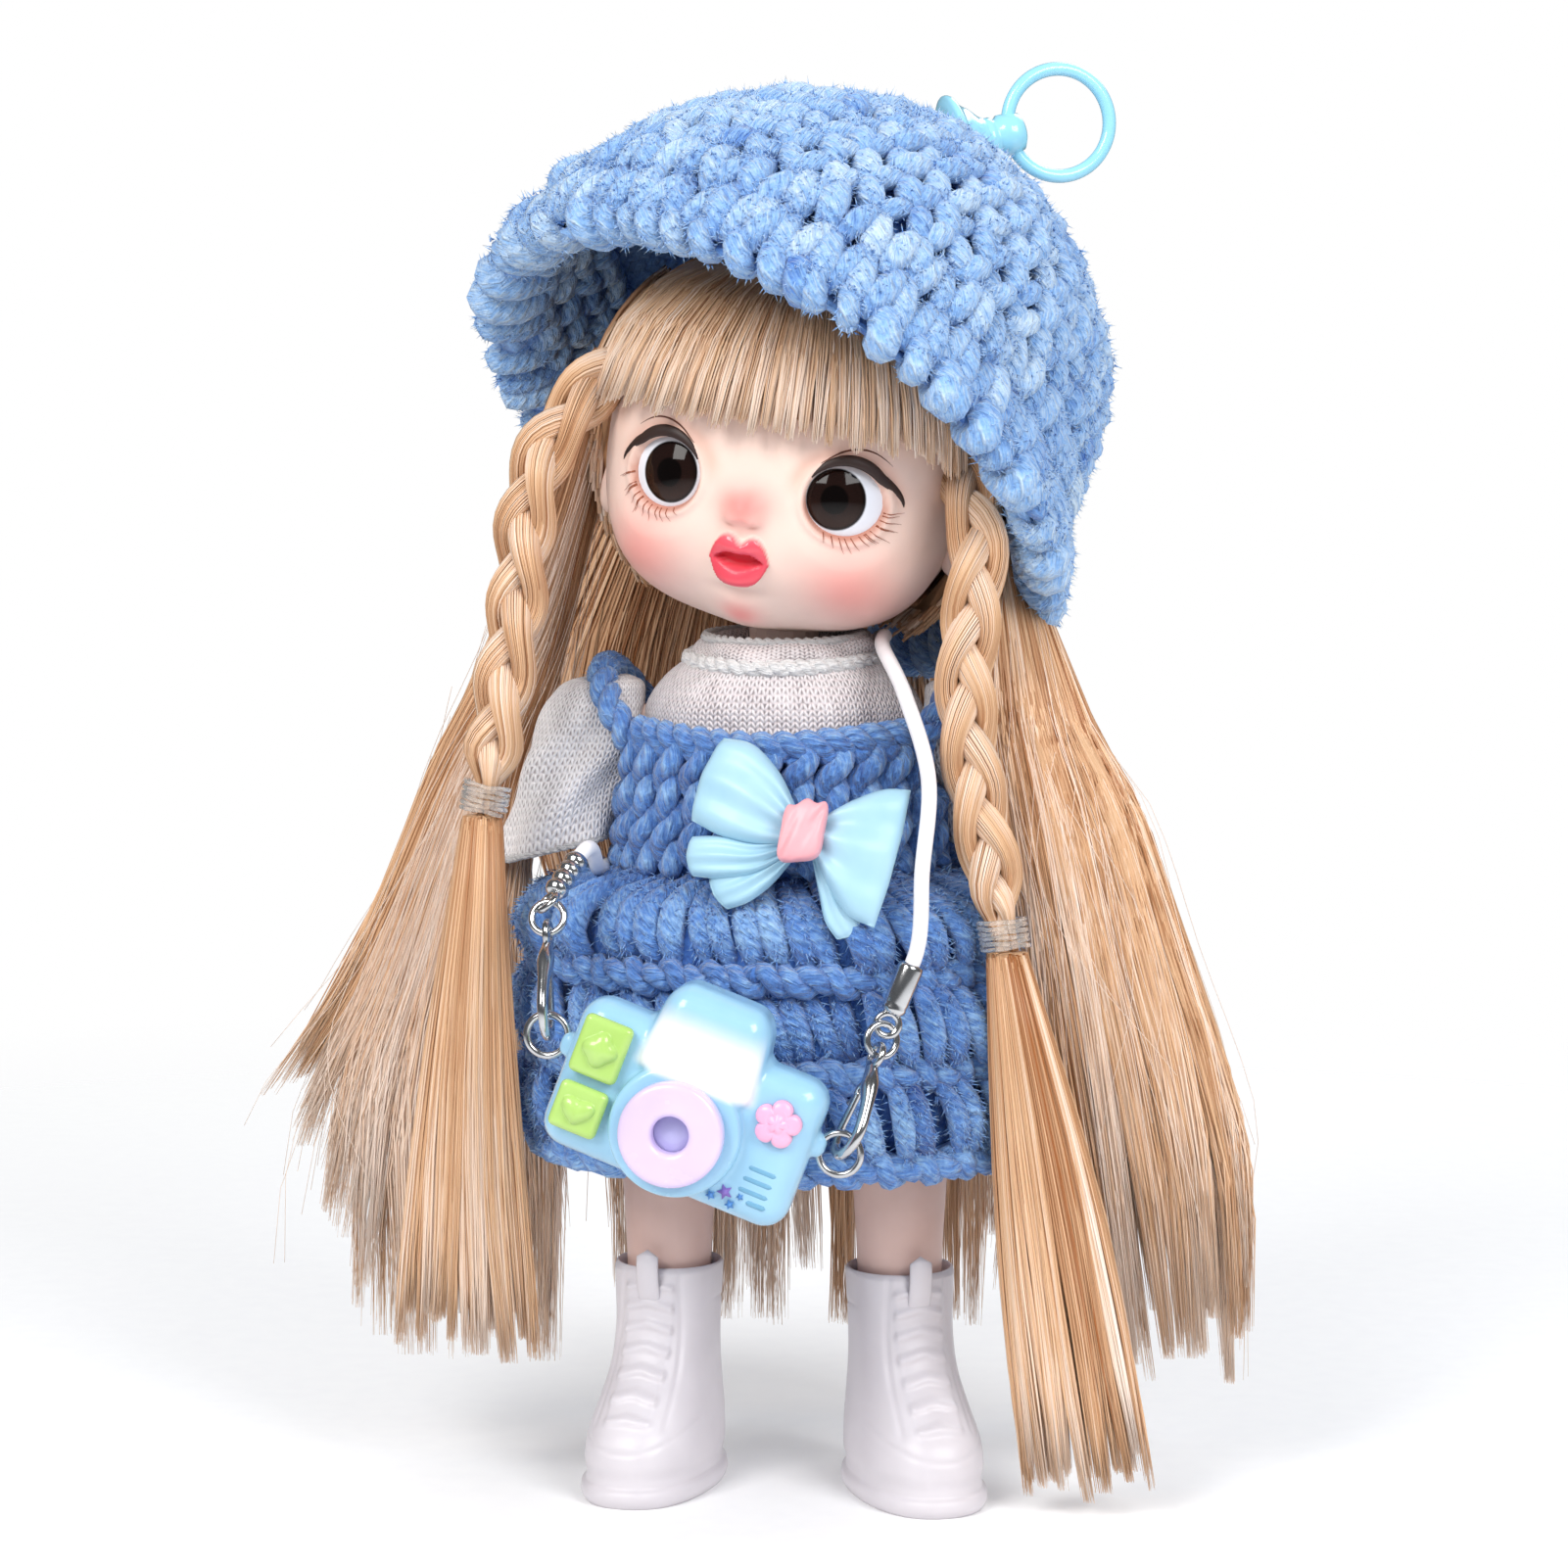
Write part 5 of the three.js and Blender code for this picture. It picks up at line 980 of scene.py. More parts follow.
def make_stray_hairs(finishes):
    """A few loose pale hairs that stand off the locks."""
    chance = dice("strays")
    paths, steps = [], 14
    for _ in range(190):
        rows = FALLS[("right", "left")[chance.integers(2)]]
        t = np.linspace(chance.uniform(0.05, 0.4), chance.uniform(0.55, 0.95), steps)
        across = chance.uniform(-1, 1) * np.ones(steps)
        across = across + 0.25 * np.sin(np.linspace(0, chance.uniform(2, 5), steps)) * chance.normal()
        through = (chance.choice([-1.0, 1.0]) * chance.uniform(1.0, 2.0)) * np.ones(steps)
        paths.append(fall_points(rows, t, np.clip(across, -1.2, 1.2), through))
    shell = strands(np.array(paths), 0.045, 3, 1.0, 0.95)
    hang_from_head(show_strands("stray_hairs", shell, None, finishes["hair"], "hair"))


# Crochet

HAT_AXIS = np.array([0.441, 0.469, 0.765])
HAT_FRONT = np.array([0.234, -0.883, 0.406])
HAT_SIDE = np.array([0.866, 0.0, -0.5])
HAT_BAND = 49.0
HAT_BRIM = 24.0
HAT_RADIUS = 33.5
HAT_FLARE = 7.5
BAND_HEIGHT = 16


def brim_spread(flare):
    """How far the brim stands out past the band."""
    return HAT_FLARE * (0.35 * flare + 0.65 * flare ** 2)


def hat_point(run, theta, proud):
    """A point of the hat's outside: run is millimetres from the crown, over the band to the brim's edge."""
    run, theta, proud = np.broadcast_arrays(*(np.asarray(v, float) for v in (run, theta, proud)))
    on_crown = run <= HAT_BAND
    tilt = np.pi / 2 * np.clip(run / HAT_BAND, 0, 1)
    flare = np.clip((run - HAT_BAND) / HAT_BRIM, 0, 1.08)
    drop = -6 + 6 * (0.5 + 0.5 * np.cos(theta))
    dome = BAND_HEIGHT + 29 * np.cos(tilt) - 1.9 * smooth(np.cos(tilt), 0.45, 1.0)
    high = np.where(on_crown, dome, BAND_HEIGHT + (drop - BAND_HEIGHT) * flare)
    far = np.where(on_crown, HAT_RADIUS * np.sin(tilt), HAT_RADIUS + brim_spread(flare))
    up = np.where(on_crown, np.cos(tilt), -0.12 * flare)
    away = np.where(on_crown, np.sin(tilt), 0.98)
    full = 4.2 * swell(run - 55, 14) * smooth(np.cos(theta + 0.7), -0.2, 0.9)
    high = 0.9 * high + up * proud + 0.15 * full + 5.4 * swell(run, 19)
    far = 0.95 * far + away * proud + full
    return (HAT_CENTRE + HAT_AXIS * high[..., None] + HAT_FRONT * (far * np.cos(theta))[..., None]
            + HAT_SIDE * (far * np.sin(theta))[..., None])


def hat_round(run):
    """The length of a row of the hat, in millimetres."""
    flare = max(0.0, (run - HAT_BAND) / HAT_BRIM)
    return 2 * np.pi * (HAT_RADIUS * math.sin(min(run / HAT_BAND, 1) * np.pi / 2) + brim_spread(flare))


def stitch_legs(surface, rows, chance, thick, rise, lean=0.5, over=0.25, steps=8):
    """Pairs of slanting yarn legs, a pair for each stitch of each (low, high, count, stagger) row."""
    paths, sizes, tones = [], [], []
    s = np.linspace(0, 1, steps)
    for low, high, count, stagger in rows:
        cell = 2 * np.pi / count
        for k in range(count):
            middle = (k + 0.5 * stagger + 0.12 * chance.normal()) * cell
            for way in (-1, 1):
                top = middle + way * cell * lean * (0.95 + 0.1 * chance.normal())
                theta = middle + way * cell * 0.1 + (top - middle) * smooth(s, 0, 1)
                run = low + (high - low) * ((1 + over) * s - over / 2 + 0.05 * chance.normal())
                proud = rise * np.sin(np.pi * s) ** 0.8 * (1 + 0.18 * chance.normal()) - 0.5
                paths.append(surface(run, theta, proud))
                sizes.append(thick * (0.62 + 0.38 * np.sin(np.pi * s)) * (1 + 0.08 * chance.normal()))
                # Tone rises in the middle of each leg and falls at its ends: painted highlight on the raised
                # yarn, painted shade where it dips.
                tones.append(0.5 + 0.1 * chance.normal() + 0.22 * (np.sin(np.pi * s) - 0.6))
    paths = np.array(paths)
    return strands(paths, np.array(sizes), 7, 0.9, np.array(tones)), paths


def fluff(paths, radius, count, chance, middle, long=(0.6, 1.35), thin=0.11, base=(0.25, 0.55)):
    """Short tapering fibres that stand off yarn tubes, mostly away from a middle (x, y, z)."""
    paths = np.asarray(paths)
    pick = chance.integers(0, len(paths), count)
    spot = chance.integers(1, paths.shape[1] - 1, count)
    step = paths[pick, spot + 1] - paths[pick, spot - 1]
    root = paths[pick, spot] + step * (0.5 * chance.random(count)[:, None] - 0.25)
    along = unit(step)
    away = chance.normal(size=(count, 3)) + 0.9 * unit(root - np.asarray(middle))
    away = turn_to(along, away)
    ahead = away + along * chance.normal(0.5, 0.5, count)[:, None]
    ahead = unit(ahead + 0.35 * chance.normal(size=(count, 3)))
    foot = root + away * radius * 0.85
    side = unit(np.cross(ahead, along + 0.01))
    over = np.cross(ahead, side)
    ring = [foot + thin * (side * math.cos(a) + over * math.sin(a)) for a in (0.0, 2.0944, 4.1888)]
    tip = foot + ahead * chance.uniform(*long, count)[:, None]
    points = np.stack(ring + [tip], axis=1).reshape(-1, 3)
    spike = np.array([[0, 2, 1], [0, 1, 3], [1, 2, 3], [2, 0, 3]])
    faces = (4 * np.arange(count)[:, None, None] + spike).reshape(-1, 3)
    # Dark roots and light tips: painted shade near the yarn and painted highlight at the fibre tips.
    tone = chance.uniform(*base, count)[:, None] + np.array([0, 0, 0, 0.5])
    return points, [faces], [np.zeros((faces.size, 2))], tone.ravel()


def rope(path, radius, pitch, thick, chance, normal=(0, 0, 1), plies=2, sides=7, tone=0.5):
    """Yarn plies twisted round a path."""
    path = np.asarray(path, float)
    ahead = unit(np.gradient(path, axis=0))
    side, carried = np.zeros_like(path), np.asarray(normal, float)
    for i in range(len(path)):
        carried = unit(carried - ahead[i] * (carried @ ahead[i]))
        side[i] = carried
    over = np.cross(ahead, side)
    far = lengths_along(path)
    paths = []
    for k in range(plies):
        turn = 2 * np.pi * (far / pitch + k / plies)
        paths.append(path + radius * (side * np.cos(turn)[:, None] + over * np.sin(turn)[:, None]))
    tones = tone + 0.06 * chance.normal(size=(plies, 1)) + 0.12 * np.sin(4 * np.pi * far / pitch)[None]
    return strands(np.array(paths), thick, sides, 1.0, tones)


def hat_lining_point(run, theta, proud):
    """A point of the hat's inside."""
    return hat_point(run, theta, -3.9 - np.asarray(proud))


def brim_wraps(chance, count=64, steps=12):
    """Stitches that wrap round the brim's edge, as tubes and as their paths."""
    s = np.linspace(0, 1, steps)
    knots = [0, 0.3, 0.5, 0.7, 1]
    run = np.interp(s, knots, [66.5, 71.6, 73.6, 72, 67.5])
    proud = np.interp(s, knots, [-0.2, 0.9, -1.6, -3.6, -4.2])
    paths, sizes, tones = [], [], []
    for k in range(count):
        middle = 2 * np.pi * (k + 0.3 * chance.normal()) / count
        turn = middle + 0.045 * np.sin(np.pi * s) + 0.05 * (s - 0.5)
        paths.append(hat_point(run, turn, proud))
        sizes.append((1.35 + 0.4 * np.sin(np.pi * s)) * (1 + 0.16 * chance.normal()))
        # Tone rises in the middle of each wrap and falls at its ends: painted highlight on the raised yarn,
        # painted shade where it dips.
        tones.append(0.52 + 0.09 * chance.normal() + 0.18 * (np.sin(np.pi * s) - 0.6))
    paths = np.array(paths)
    return strands(paths, np.array(sizes), 8, 0.95, np.array(tones)), paths


def make_hat(finishes):
    """The bucket hat: a ground, stitches in rounds, a ribbed brim and a halo of fibres."""
    chance = dice("hat")
    settled = ("head", finishes["hat_yarn"], "yarn", "hat")
    runs = np.concatenate([[0.4], np.linspace(2, 72.6, 60)])
    theta = whole_turn(120)[None]
    # The ground's low tone is painted shade in the gaps between stitches.
    skins = [hat_point(runs[:, None], theta, -1.5), hat_point(runs[::-1, None], theta, -3.4)]
    show("hat_ground", grid(np.concatenate(skins), wrap=True, tone=0.26, closed_ends=True), *settled)
    edges = np.linspace(4.0, 50.0, 11)
    rows = [(low, high, max(5, round(hat_round((low + high) / 2) / 5.2)), i % 2)
            for i, (low, high) in enumerate(zip(edges[:-1], edges[1:]))]
    crown, crown_paths = stitch_legs(hat_point, rows, chance, thick=1.75, rise=1.5, over=0.4)
    show_strands("hat_stitches", crown, *settled)
    rows = [(49.5, 60.5, 48, 0), (59.5, 70.5, 50, 1)]
    posts, post_paths = stitch_legs(hat_point, rows, chance, thick=1.85, rise=1.7, lean=0.3, over=0.12,
                                    steps=12)
    show_strands("hat_brim_ribs", posts, *settled)
    rows = [(low, low + 4.4, 50, i % 2) for i, low in enumerate((51.5, 56, 60.5, 65))]
    lining, _ = stitch_legs(hat_lining_point, rows, chance, thick=1.35, rise=0.9)
    edge, edge_paths = brim_wraps(chance)
    show_strands("hat_brim_edge", gather([lining, edge]), *settled)
    middle = HAT_CENTRE + HAT_AXIS * 8
    fibres = ((crown_paths, 1.6, 15500), (post_paths, 1.7, 11000), (edge_paths, 1.6, 7500))
    halo = gather([fluff(lines, radius, count, chance, middle) for lines, radius, count in fibres])
    show_strands("hat_fluff", halo, *settled)


# The pinafore below the bib: height, half width and half depth, from the top down.
SKIRT = [[84, 19, 17.3], [76.5, 19.6, 17.7], [74.6, 20.8, 18.6], [74.0, 24.6, 20.4], [72.6, 28.2, 22.6],
         [69.2, 30.3, 23.9], [49, 30.5, 24], [41, 29.6, 23.3]]


def skirt_point(height, angle, proud=0.0):
    """A point of the pinafore's outside below the bib; angle 0 is the front and turns to the doll's left."""
    height, angle, proud = np.broadcast_arrays(*(np.asarray(v, float) for v in (height, angle, proud)))
    rows = np.array(SKIRT)[::-1]
    wide = np.interp(height, rows[:, 0], rows[:, 1]) + proud
    deep = np.interp(height, rows[:, 0], rows[:, 2]) + proud
    return np.stack([wide * np.sin(angle), -deep * np.cos(angle), height], axis=-1)


def even_angles(height, count):
    """Angles that space stitches evenly round an oval row."""
    fine = np.linspace(0, 2 * np.pi, 721)
    far = lengths_along(skirt_point(height, fine))
    return np.interp(np.arange(count) / count * far[-1], far, fine)


BIB_HEIGHT, WAIST_TOP, WAIST_FOOT = 92.6, 84.0, 76.3
# Rows of tall skirt stitches: upper and lower height and stitches round.
SKIRT_ROWS = ((76.2, 65.4, 27), (64.0, 54.2, 28), (52.8, 43.0, 28))
# Twisted ropes between the rows: height, yarn thickness and how far they stand out.
SKIRT_ROPES = ((64.7, 1.2, -0.6), (53.5, 1.2, -0.6), (42.6, 1.35, -0.2))
SHOULDER_STRAP = np.array([[17.4, -8.2, 91.2], [19.8, -7.6, 95.2], [21.4, -4.4, 98.3], [21.7, 0.5, 99.6],
                           [20.4, 7.4, 97.4], [17.1, 13.2, 91], [13.6, 15.8, 83.4]])


def bib_top(angle):
    """The bib's upper edge dips in the middle and stops at the sides."""
    share = np.abs(angle) / math.radians(66)
    return np.where(share <= 1, BIB_HEIGHT - 1.4 * swell(share, 0.6), WAIST_TOP)


def bib_point(turn, height, wide, deep):
    """A point of the bib, on an oval of two half sizes."""
    return np.stack([wide * np.sin(turn), -deep * np.cos(turn), height], axis=-1)


def pinafore_ground():
    """The cloth under the stitches, a hollow skirt and a bib, whose low tone is painted shade in the gaps
    between stitches.
    """
    heights = np.concatenate([np.linspace(84, 76.5, 8), [74.6, 74.0, 72.6, 69.2], np.linspace(65, 41.4, 16)])
    angle = whole_turn(120)[None]
    outer = skirt_point(heights[:, None], angle, -1.5)
    inner = skirt_point(heights[::-1, None], angle, -3.2)
    inner[:, :, 2] -= np.where(heights[::-1] > 68, 1.8, 0.0)[:, None]
    across = np.radians(np.linspace(-65, 65, 50))[None]
    up = np.linspace(0, 1, 12)[:, None]
    rise = 83 + (bib_top(across) - 1.2 - 83) * up
    front = bib_point(across + 0 * up, rise, 18.4, 15.6)
    behind = front * np.array([0.955, 0.93, 1.0])
    # The bib's lower tone is painted shade between its ropes.
    bib = grid(np.concatenate([front, behind[:, ::-1]], axis=1), wrap=True, tone=0.1, closed_ends=True)
    return gather([grid(np.concatenate([outer, inner]), wrap=True, tone=0.2, loop=True), bib])


def skirt_stitches(row, high, low, count, chance, steps=9):
    """A row of tall paired stitches, as tubes and their paths; the front leaves room for the toy camera."""
    s = np.linspace(0, 1, steps)
    angles = even_angles((high + low) / 2 if row else 66.0, count)
    cell = 2 * np.pi / count
    paths, sizes, tones = [], [], []
    for angle in angles:
        fat = 1 + 0.08 * chance.normal()
        room = 2.6 * smooth(math.cos(angle + 0.25), 0.74, 0.92)
        for ply in range(2):
            lean = (s - 0.5) * (0.5 + 0.2 * chance.normal()) * cell
            spread = (ply - 0.5) * cell * (0.34 + 0.1 * (1 - s))
            wander = 0.04 * cell * chance.normal() * np.sin(np.pi * s)
            height = high + (low - high) * s + 0.25 * chance.normal()
            belly = 2.4 * fat * np.sin(np.pi * s) ** 0.6 - 0.8 - room
            turn = angle + (row % 2) * 0.5 * cell + lean + spread + wander
            paths.append(skirt_point(height, turn, belly))
            sizes.append((1.05 + 0.62 * np.sin(np.pi * s)) * fat)
            # Tone rises in the middle of each stitch and falls at its ends: painted highlight on the raised
            # yarn, painted shade where it dips.
            tones.append(0.46 + 0.09 * chance.normal() + 0.34 * (np.sin(np.pi * s) - 0.62))
    paths = np.array(paths)
    return strands(paths, np.array(sizes), 7, 0.95, np.array(tones)), paths


def bib_stitches(chance):
    """Upright ropes of the bib and the back of the waist, with their upper edges."""
    parts = []
    for turn in np.radians(np.linspace(-62, 62, 11)):
        z = np.linspace(WAIST_FOOT, float(bib_top(turn)) - 0.5, 26)
        bulge = 0.3 * swell(z - 80, 4)
        path = bib_point(turn + 0.02 * np.sin(z), z, 18.9 + bulge, 16.6 + bulge)
        parts.append(rope(path, 0.95, 8.5, 1.42, chance, (math.sin(turn), -math.cos(turn), 0), tone=0.46))
    for turn in np.radians(np.linspace(74, 286, 17)):
        path = skirt_point(np.linspace(WAIST_FOOT, 83.8, 14), turn, -0.2)
        parts.append(rope(path, 0.9, 7.0, 1.35, chance, (math.sin(turn), -math.cos(turn), 0), tone=0.46))
    back = np.radians(np.linspace(66, 294, 110))
    parts.append(rope(skirt_point(84.2, back, 0.0), 0.9, 5.0, 1.1, chance))
    lip = np.radians(np.linspace(-67, 67, 90))
    parts.append(rope(bib_point(lip, bib_top(lip), 18.9, 16.6), 0.85, 5.2, 1.15, chance))
    return parts


def make_pinafore(finishes):
    """The pinafore: ground, tall skirt stitches, ropes between them, bib, shoulder straps and fibres."""
    chance = dice("pinafore")
    settled = ("torso", finishes["dress_yarn"], "yarn", "pinafore")
    show("pinafore_ground", pinafore_ground(), *settled)
    parts, roots = [], []
    for row, (high, low, count) in enumerate(SKIRT_ROWS):
        stitches, paths = skirt_stitches(row, high, low, count, chance)
        parts.append(stitches)
        roots.append(paths)
    ring = np.linspace(0.02, 2 * np.pi + 0.02, 230)
    for height, thick, proud in SKIRT_ROPES:
        path = skirt_point(height + 0.45 * np.sin(ring * 31), ring, proud)
        parts.append(rope(path, 1.0, 5.4, thick, chance))
    parts += bib_stitches(chance)
    for way in (-1, 1):
        route = curve_through(SHOULDER_STRAP * np.array([way, 1, 1]), 90)
        parts.append(rope(route, 0.85, 6.4, 1.12, chance))
        roots.append(route[None, ::10][:, :9])
    show_strands("pinafore_stitches", gather(parts), *settled)
    halo = fluff(np.concatenate(roots), 1.5, 18000, chance, (0, 0, 64), (0.6, 1.5), base=(0.38, 0.62))
    show_strands("pinafore_fluff", halo, *settled)


# Jumper, legs and shoes


# A sleeve: position, height, distance from the middle, half width and half depth.
SLEEVE = [[0.0, 98.6, 21.2, 2.2, 3.2], [0.06, 98.0, 21.8, 4.2, 5.0], [0.2, 95.8, 22.8, 5.8, 6.4],
          [0.4, 91.5, 23.8, 6.5, 6.9], [0.66, 86, 25.4, 6.9, 6.9], [0.9, 80.5, 27, 7.5, 6.6],
          [1.0, 77.6, 27.5, 7.6, 6.4]]
# The jumper's body: position, half width, half depth and height.
JUMPER = [[0.0, 8.0, 7.6, 102.4], [0.12, 11.0, 9.9, 101.2], [0.24, 14.2, 11.7, 98.8],
          [0.36, 16.4, 13.1, 95.6], [0.5, 16.9, 13.4, 92.5], [0.75, 16.8, 13.3, 85], [1.0, 16.6, 13.2, 77.2]]
# The rolled collar: position, radius and height.
COLLAR = [[0.0, 9.3, 99.6], [0.12, 10.8, 100.4], [0.28, 11.2, 101.8], [0.42, 10.6, 103.0], [0.54, 9.4, 103.7],
          [0.64, 8.2, 103.7], [0.72, 7.4, 103.1], [0.85, 6.9, 101.5], [1.0, 6.9, 99.0]]


def knitted(shell, columns, rows):
    """A shell with a uv unit for each stitch of the knit."""
    points, faces, uvs, tone = shell
    return points, faces, [u * np.array([columns, rows]) for u in uvs], tone


def oval(ring, wide, deep, height, tilt):
    """A flat oval line that tilts from front to back."""
    return np.stack([wide * np.cos(ring), deep * np.sin(ring), height + tilt * np.sin(ring)], axis=-1)


def sleeve_rows(way, t, around, inset):
    """Points of a sleeve, with folds that deepen towards the cuff."""
    v = rows_at(SLEEVE, t)
    height, middle = v[..., 0], v[..., 1]
    folds = (0.6 * np.sin(3 * around + 7 * t) + 0.4 * np.sin(5 * around - 11 * t + way)) * smooth(t, 0.1, 0.6)
    wide, deep = v[..., 2] - inset + folds, v[..., 3] - inset + folds * 1.3
    drop = 1.8 * np.cos(around) * smooth(t, 0.45, 1.0)
    return np.stack([way * (middle + wide * np.cos(around)), deep * np.sin(around), height - drop], axis=-1)


def make_jumper(finishes):
    """The knitted sleeves, body and rolled collar, and their twisted edgings."""
    around = whole_turn(96)[None]
    outside, inside = np.linspace(0, 1, 50), np.linspace(1, 0.1, 30)
    t = np.concatenate([outside, inside])[:, None]
    inset = np.concatenate([0.25 * np.cos(outside * 2) ** 2 - 0.2, np.linspace(0.6, 1.4, 30)])[:, None]
    for name, way in SIDES:
        points = sleeve_rows(way, t + 0 * around, around + 0 * t, inset)
        # The sleeves take the lighter copy of the knit, which is painted light.
        show("sleeve_" + name + "_knit", knitted(grid(points, wrap=True, closed_ends=True), 46, 38),
             "arm_" + name, finishes["sleeve_knit_painted_light"], "jumper", "sleeve_" + name)

    t = np.linspace(0, 1, 60)[:, None]
    v = rows_at(JUMPER, t[:, 0])
    crease = 0.25 * np.sin(6 * around + 5 * t) * smooth(t, 0.15, 0.4)
    outer = np.stack([(v[:, :1] + crease) * np.cos(around), (v[:, 1:2] + crease) * np.sin(around),
                      v[:, 2:3] + 0 * around], axis=-1)
    inner = (outer * np.array([0.9, 0.9, 1.0]))[::-1]
    show("jumper_body_knit", knitted(grid(np.concatenate([outer, inner]), wrap=True, loop=True), 100, 62),
         "torso", finishes["knit"], "jumper", "jumper_body")

    v = rows_at(COLLAR, t[:, 0])
    slump = 1 + 0.035 * np.sin(3 * around + 0.7) + 0.03 * np.sin(7 * around + 9 * t)
    tilt = (0.35 * np.cos(around - 0.6) + 0.5 * np.sin(around)) * smooth(v[:, 1:2], 99, 104)
    points = np.stack([v[:, :1] * slump * np.cos(around), v[:, :1] * slump * 0.97 * np.sin(around),
                       v[:, 1:2] + tilt], axis=-1)
    show("jumper_collar_knit", knitted(grid(points, wrap=True, loop=True), 62, 18),
         "torso", finishes["knit"], "jumper", "jumper_collar")

    chance = dice("jumper")
    ring = np.linspace(0, 2 * np.pi, 100)
    edge = rope(oval(ring, 9.4, 9.2, 103.5, 0.5), 0.3, 2.4, 0.42, chance, sides=6, tone=0.85)
    seam = rope(oval(ring, 11.3, 11.0, 100.9, 0.8), 0.45, 3.4, 0.78, chance, sides=7, tone=0.9)
    show_strands("jumper_collar_edging", gather([edge, seam]), "torso", finishes["trim"], "jumper",
                 "jumper_collar")
    for name, way in SIDES:
        cuff = sleeve_rows(way, np.full(100, 0.995), ring, 0.1)
        show_strands("sleeve_" + name + "_hem", rope(cuff, 0.22, 2.0, 0.34, chance, sides=6, tone=0.75),
                     "arm_" + name, finishes["trim"], "jumper", "sleeve_" + name)


HIP_ASIDE, HIP_HEIGHT, HIP_RADIUS = 14.2, 64, 6.5
# A leg: height and radius.
LEG = [[0, 4.9], [6.5, 4.85], [20, 5.0], [27, 5.15], [40, 5.85], [54, 6.45], [64, 6.5]]


def make_legs(finishes):
    """Two legs with a domed top."""
    around = whole_turn(56)[None]
    dome = np.radians(np.linspace(80, 0, 10))
    down = np.linspace(63, 6.6, 50)
    z = np.concatenate([HIP_HEIGHT + HIP_RADIUS * np.sin(dome), down])[:, None]
    r = np.concatenate([HIP_RADIUS * np.cos(dome), rows_at(LEG, down)[:, 0]])[:, None]
    for name, way in SIDES:
        points = np.stack([way * HIP_ASIDE + r * np.cos(around), r * np.sin(around), z + 0 * around], axis=-1)
        leg = grid(points, wrap=True, closed_ends=True)
        show("leg_" + name + "_vinyl", leg, "leg_" + name, finishes["leg"], "skin", "leg_" + name)


# A shoe: height, half width, front and back.
SHOE = [[0.0, 7.25, -17.5, 8.7], [0.6, 7.65, -18.0, 9.0], [2.0, 7.7, -18.0, 9.0], [2.6, 7.3, -17.5, 8.6],
        [5.0, 7.45, -17.3, 8.5], [8.0, 7.2, -16.3, 8.3], [11, 6.6, -13.6, 8.0], [14.5, 6.1, -10.2, 7.5],
        [19, 6.0, -7.7, 6.9], [24, 6.25, -6.9, 6.75], [26.6, 6.4, -6.7, 6.7]]


SHOE_SPLAY = {"right": -11, "left": 26}


def shoe_relief(px, py, pz, sin, ahead):
    """How far a shoe's skin stands out: laced panel and its edge, toe and heel seams, line of the sole."""
    panel = swell(np.maximum(np.abs(px) - 2.6, 0), 0.35) * ahead
    panel = panel * smooth(pz, 9, 10) * smooth(-pz, -25.5, -24.5)
    bars = np.maximum(0, np.cos(2 * np.pi * (pz + 0.28 * np.abs(px)) / 2.55)) ** 0.7
    lift = 0.42 * panel * bars + 0.16 * panel
    lift = lift - 0.16 * (swell(np.abs(px) - 3.7 - 0.05 * (24 - pz), 0.28) * ahead * smooth(pz, 8.6, 9.4))
    toe = swell(pz - (6.6 + 0.028 * px ** 2 + 0.16 * (py + 16)), 0.3) * smooth(-py, 6, 8)
    heel = 0.14 * swell(pz - 22.6 + 1.2 * smooth(sin, 0, 1), 0.25)
    return lift - 0.14 * toe - heel * smooth(sin, -0.3, 0.1) - 0.2 * swell(pz - 2.45, 0.22)


def make_shoes(finishes):
    """Two high-top shoes with laces, sole, hollow shaft and a pull tab."""
    around = whole_turn(150)[None]
    z = np.concatenate([[0.0, 0.25, 0.6, 1.2, 2.0, 2.25, 2.45], np.linspace(2.7, 26.4, 96)])[:, None]
    v = rows_at(SHOE, z[:, 0])
    wide, front, back = v[:, :1], v[:, 1:2], v[:, 2:3]
    cos, sin = np.cos(around), np.sin(around)
    taper = 1 - 0.14 * smooth(sin, 0, 1) * smooth(-z, -14, -2)
    px = wide * taper * (np.sign(cos) * np.abs(cos) ** 0.84)
    py = (front + back) / 2 + (back - front) / 2 * (np.sign(sin) * np.abs(sin) ** 0.84)
    pz = z + 0 * px
    ahead = smooth(-sin, 0.25, 0.8)
    lift = shoe_relief(px, py, pz, sin, ahead)
    norm = np.sqrt(px ** 2 + (py + 2) ** 2) + 1e-6
    px, py = px + lift * px / norm, py + lift * (py + 2) / norm
    pz = pz + 0.35 * lift * ahead * smooth(-pz, -16, -9)
    rings = [np.stack([px, py, pz], axis=-1)]
    rim = [(6.65 - 0.7 * turn, 26.5 + 0.45 * np.sin(np.pi * turn)) for turn in np.linspace(0.25, 1, 5)]
    for r, height in rim + [(5.65, low) for low in np.linspace(26, 7, 8)]:
        rings.append(np.stack([r * cos, r * sin, height + 0 * cos], axis=-1))
    t = np.linspace(0, 1, 9)
    tab_path = np.stack([0 * t, -6.75 - 0.9 * np.sin(np.pi * t * 0.75), 22.8 + 6.6 * t], axis=-1)
    width = 1.4 * (1 - t ** 24) ** 0.5 + 0.02
    tab = strands(tab_path[None], width[None], 16, 0.36, across=(1, 0, 0))
    points, faces, uv, tone = gather([grid(np.concatenate(rings), wrap=True, closed_ends=True), tab])
    for name, way in SIDES:
        splayed = points @ rotation("Z", SHOE_SPLAY[name]).T + np.array([way * HIP_ASIDE, 0, 0])
        shoe = (splayed, faces, uv, tone)
        show("shoe_" + name + "_high_top", shoe, "leg_" + name, finishes["shoe"], "shoe", "shoe_" + name)


# Bow

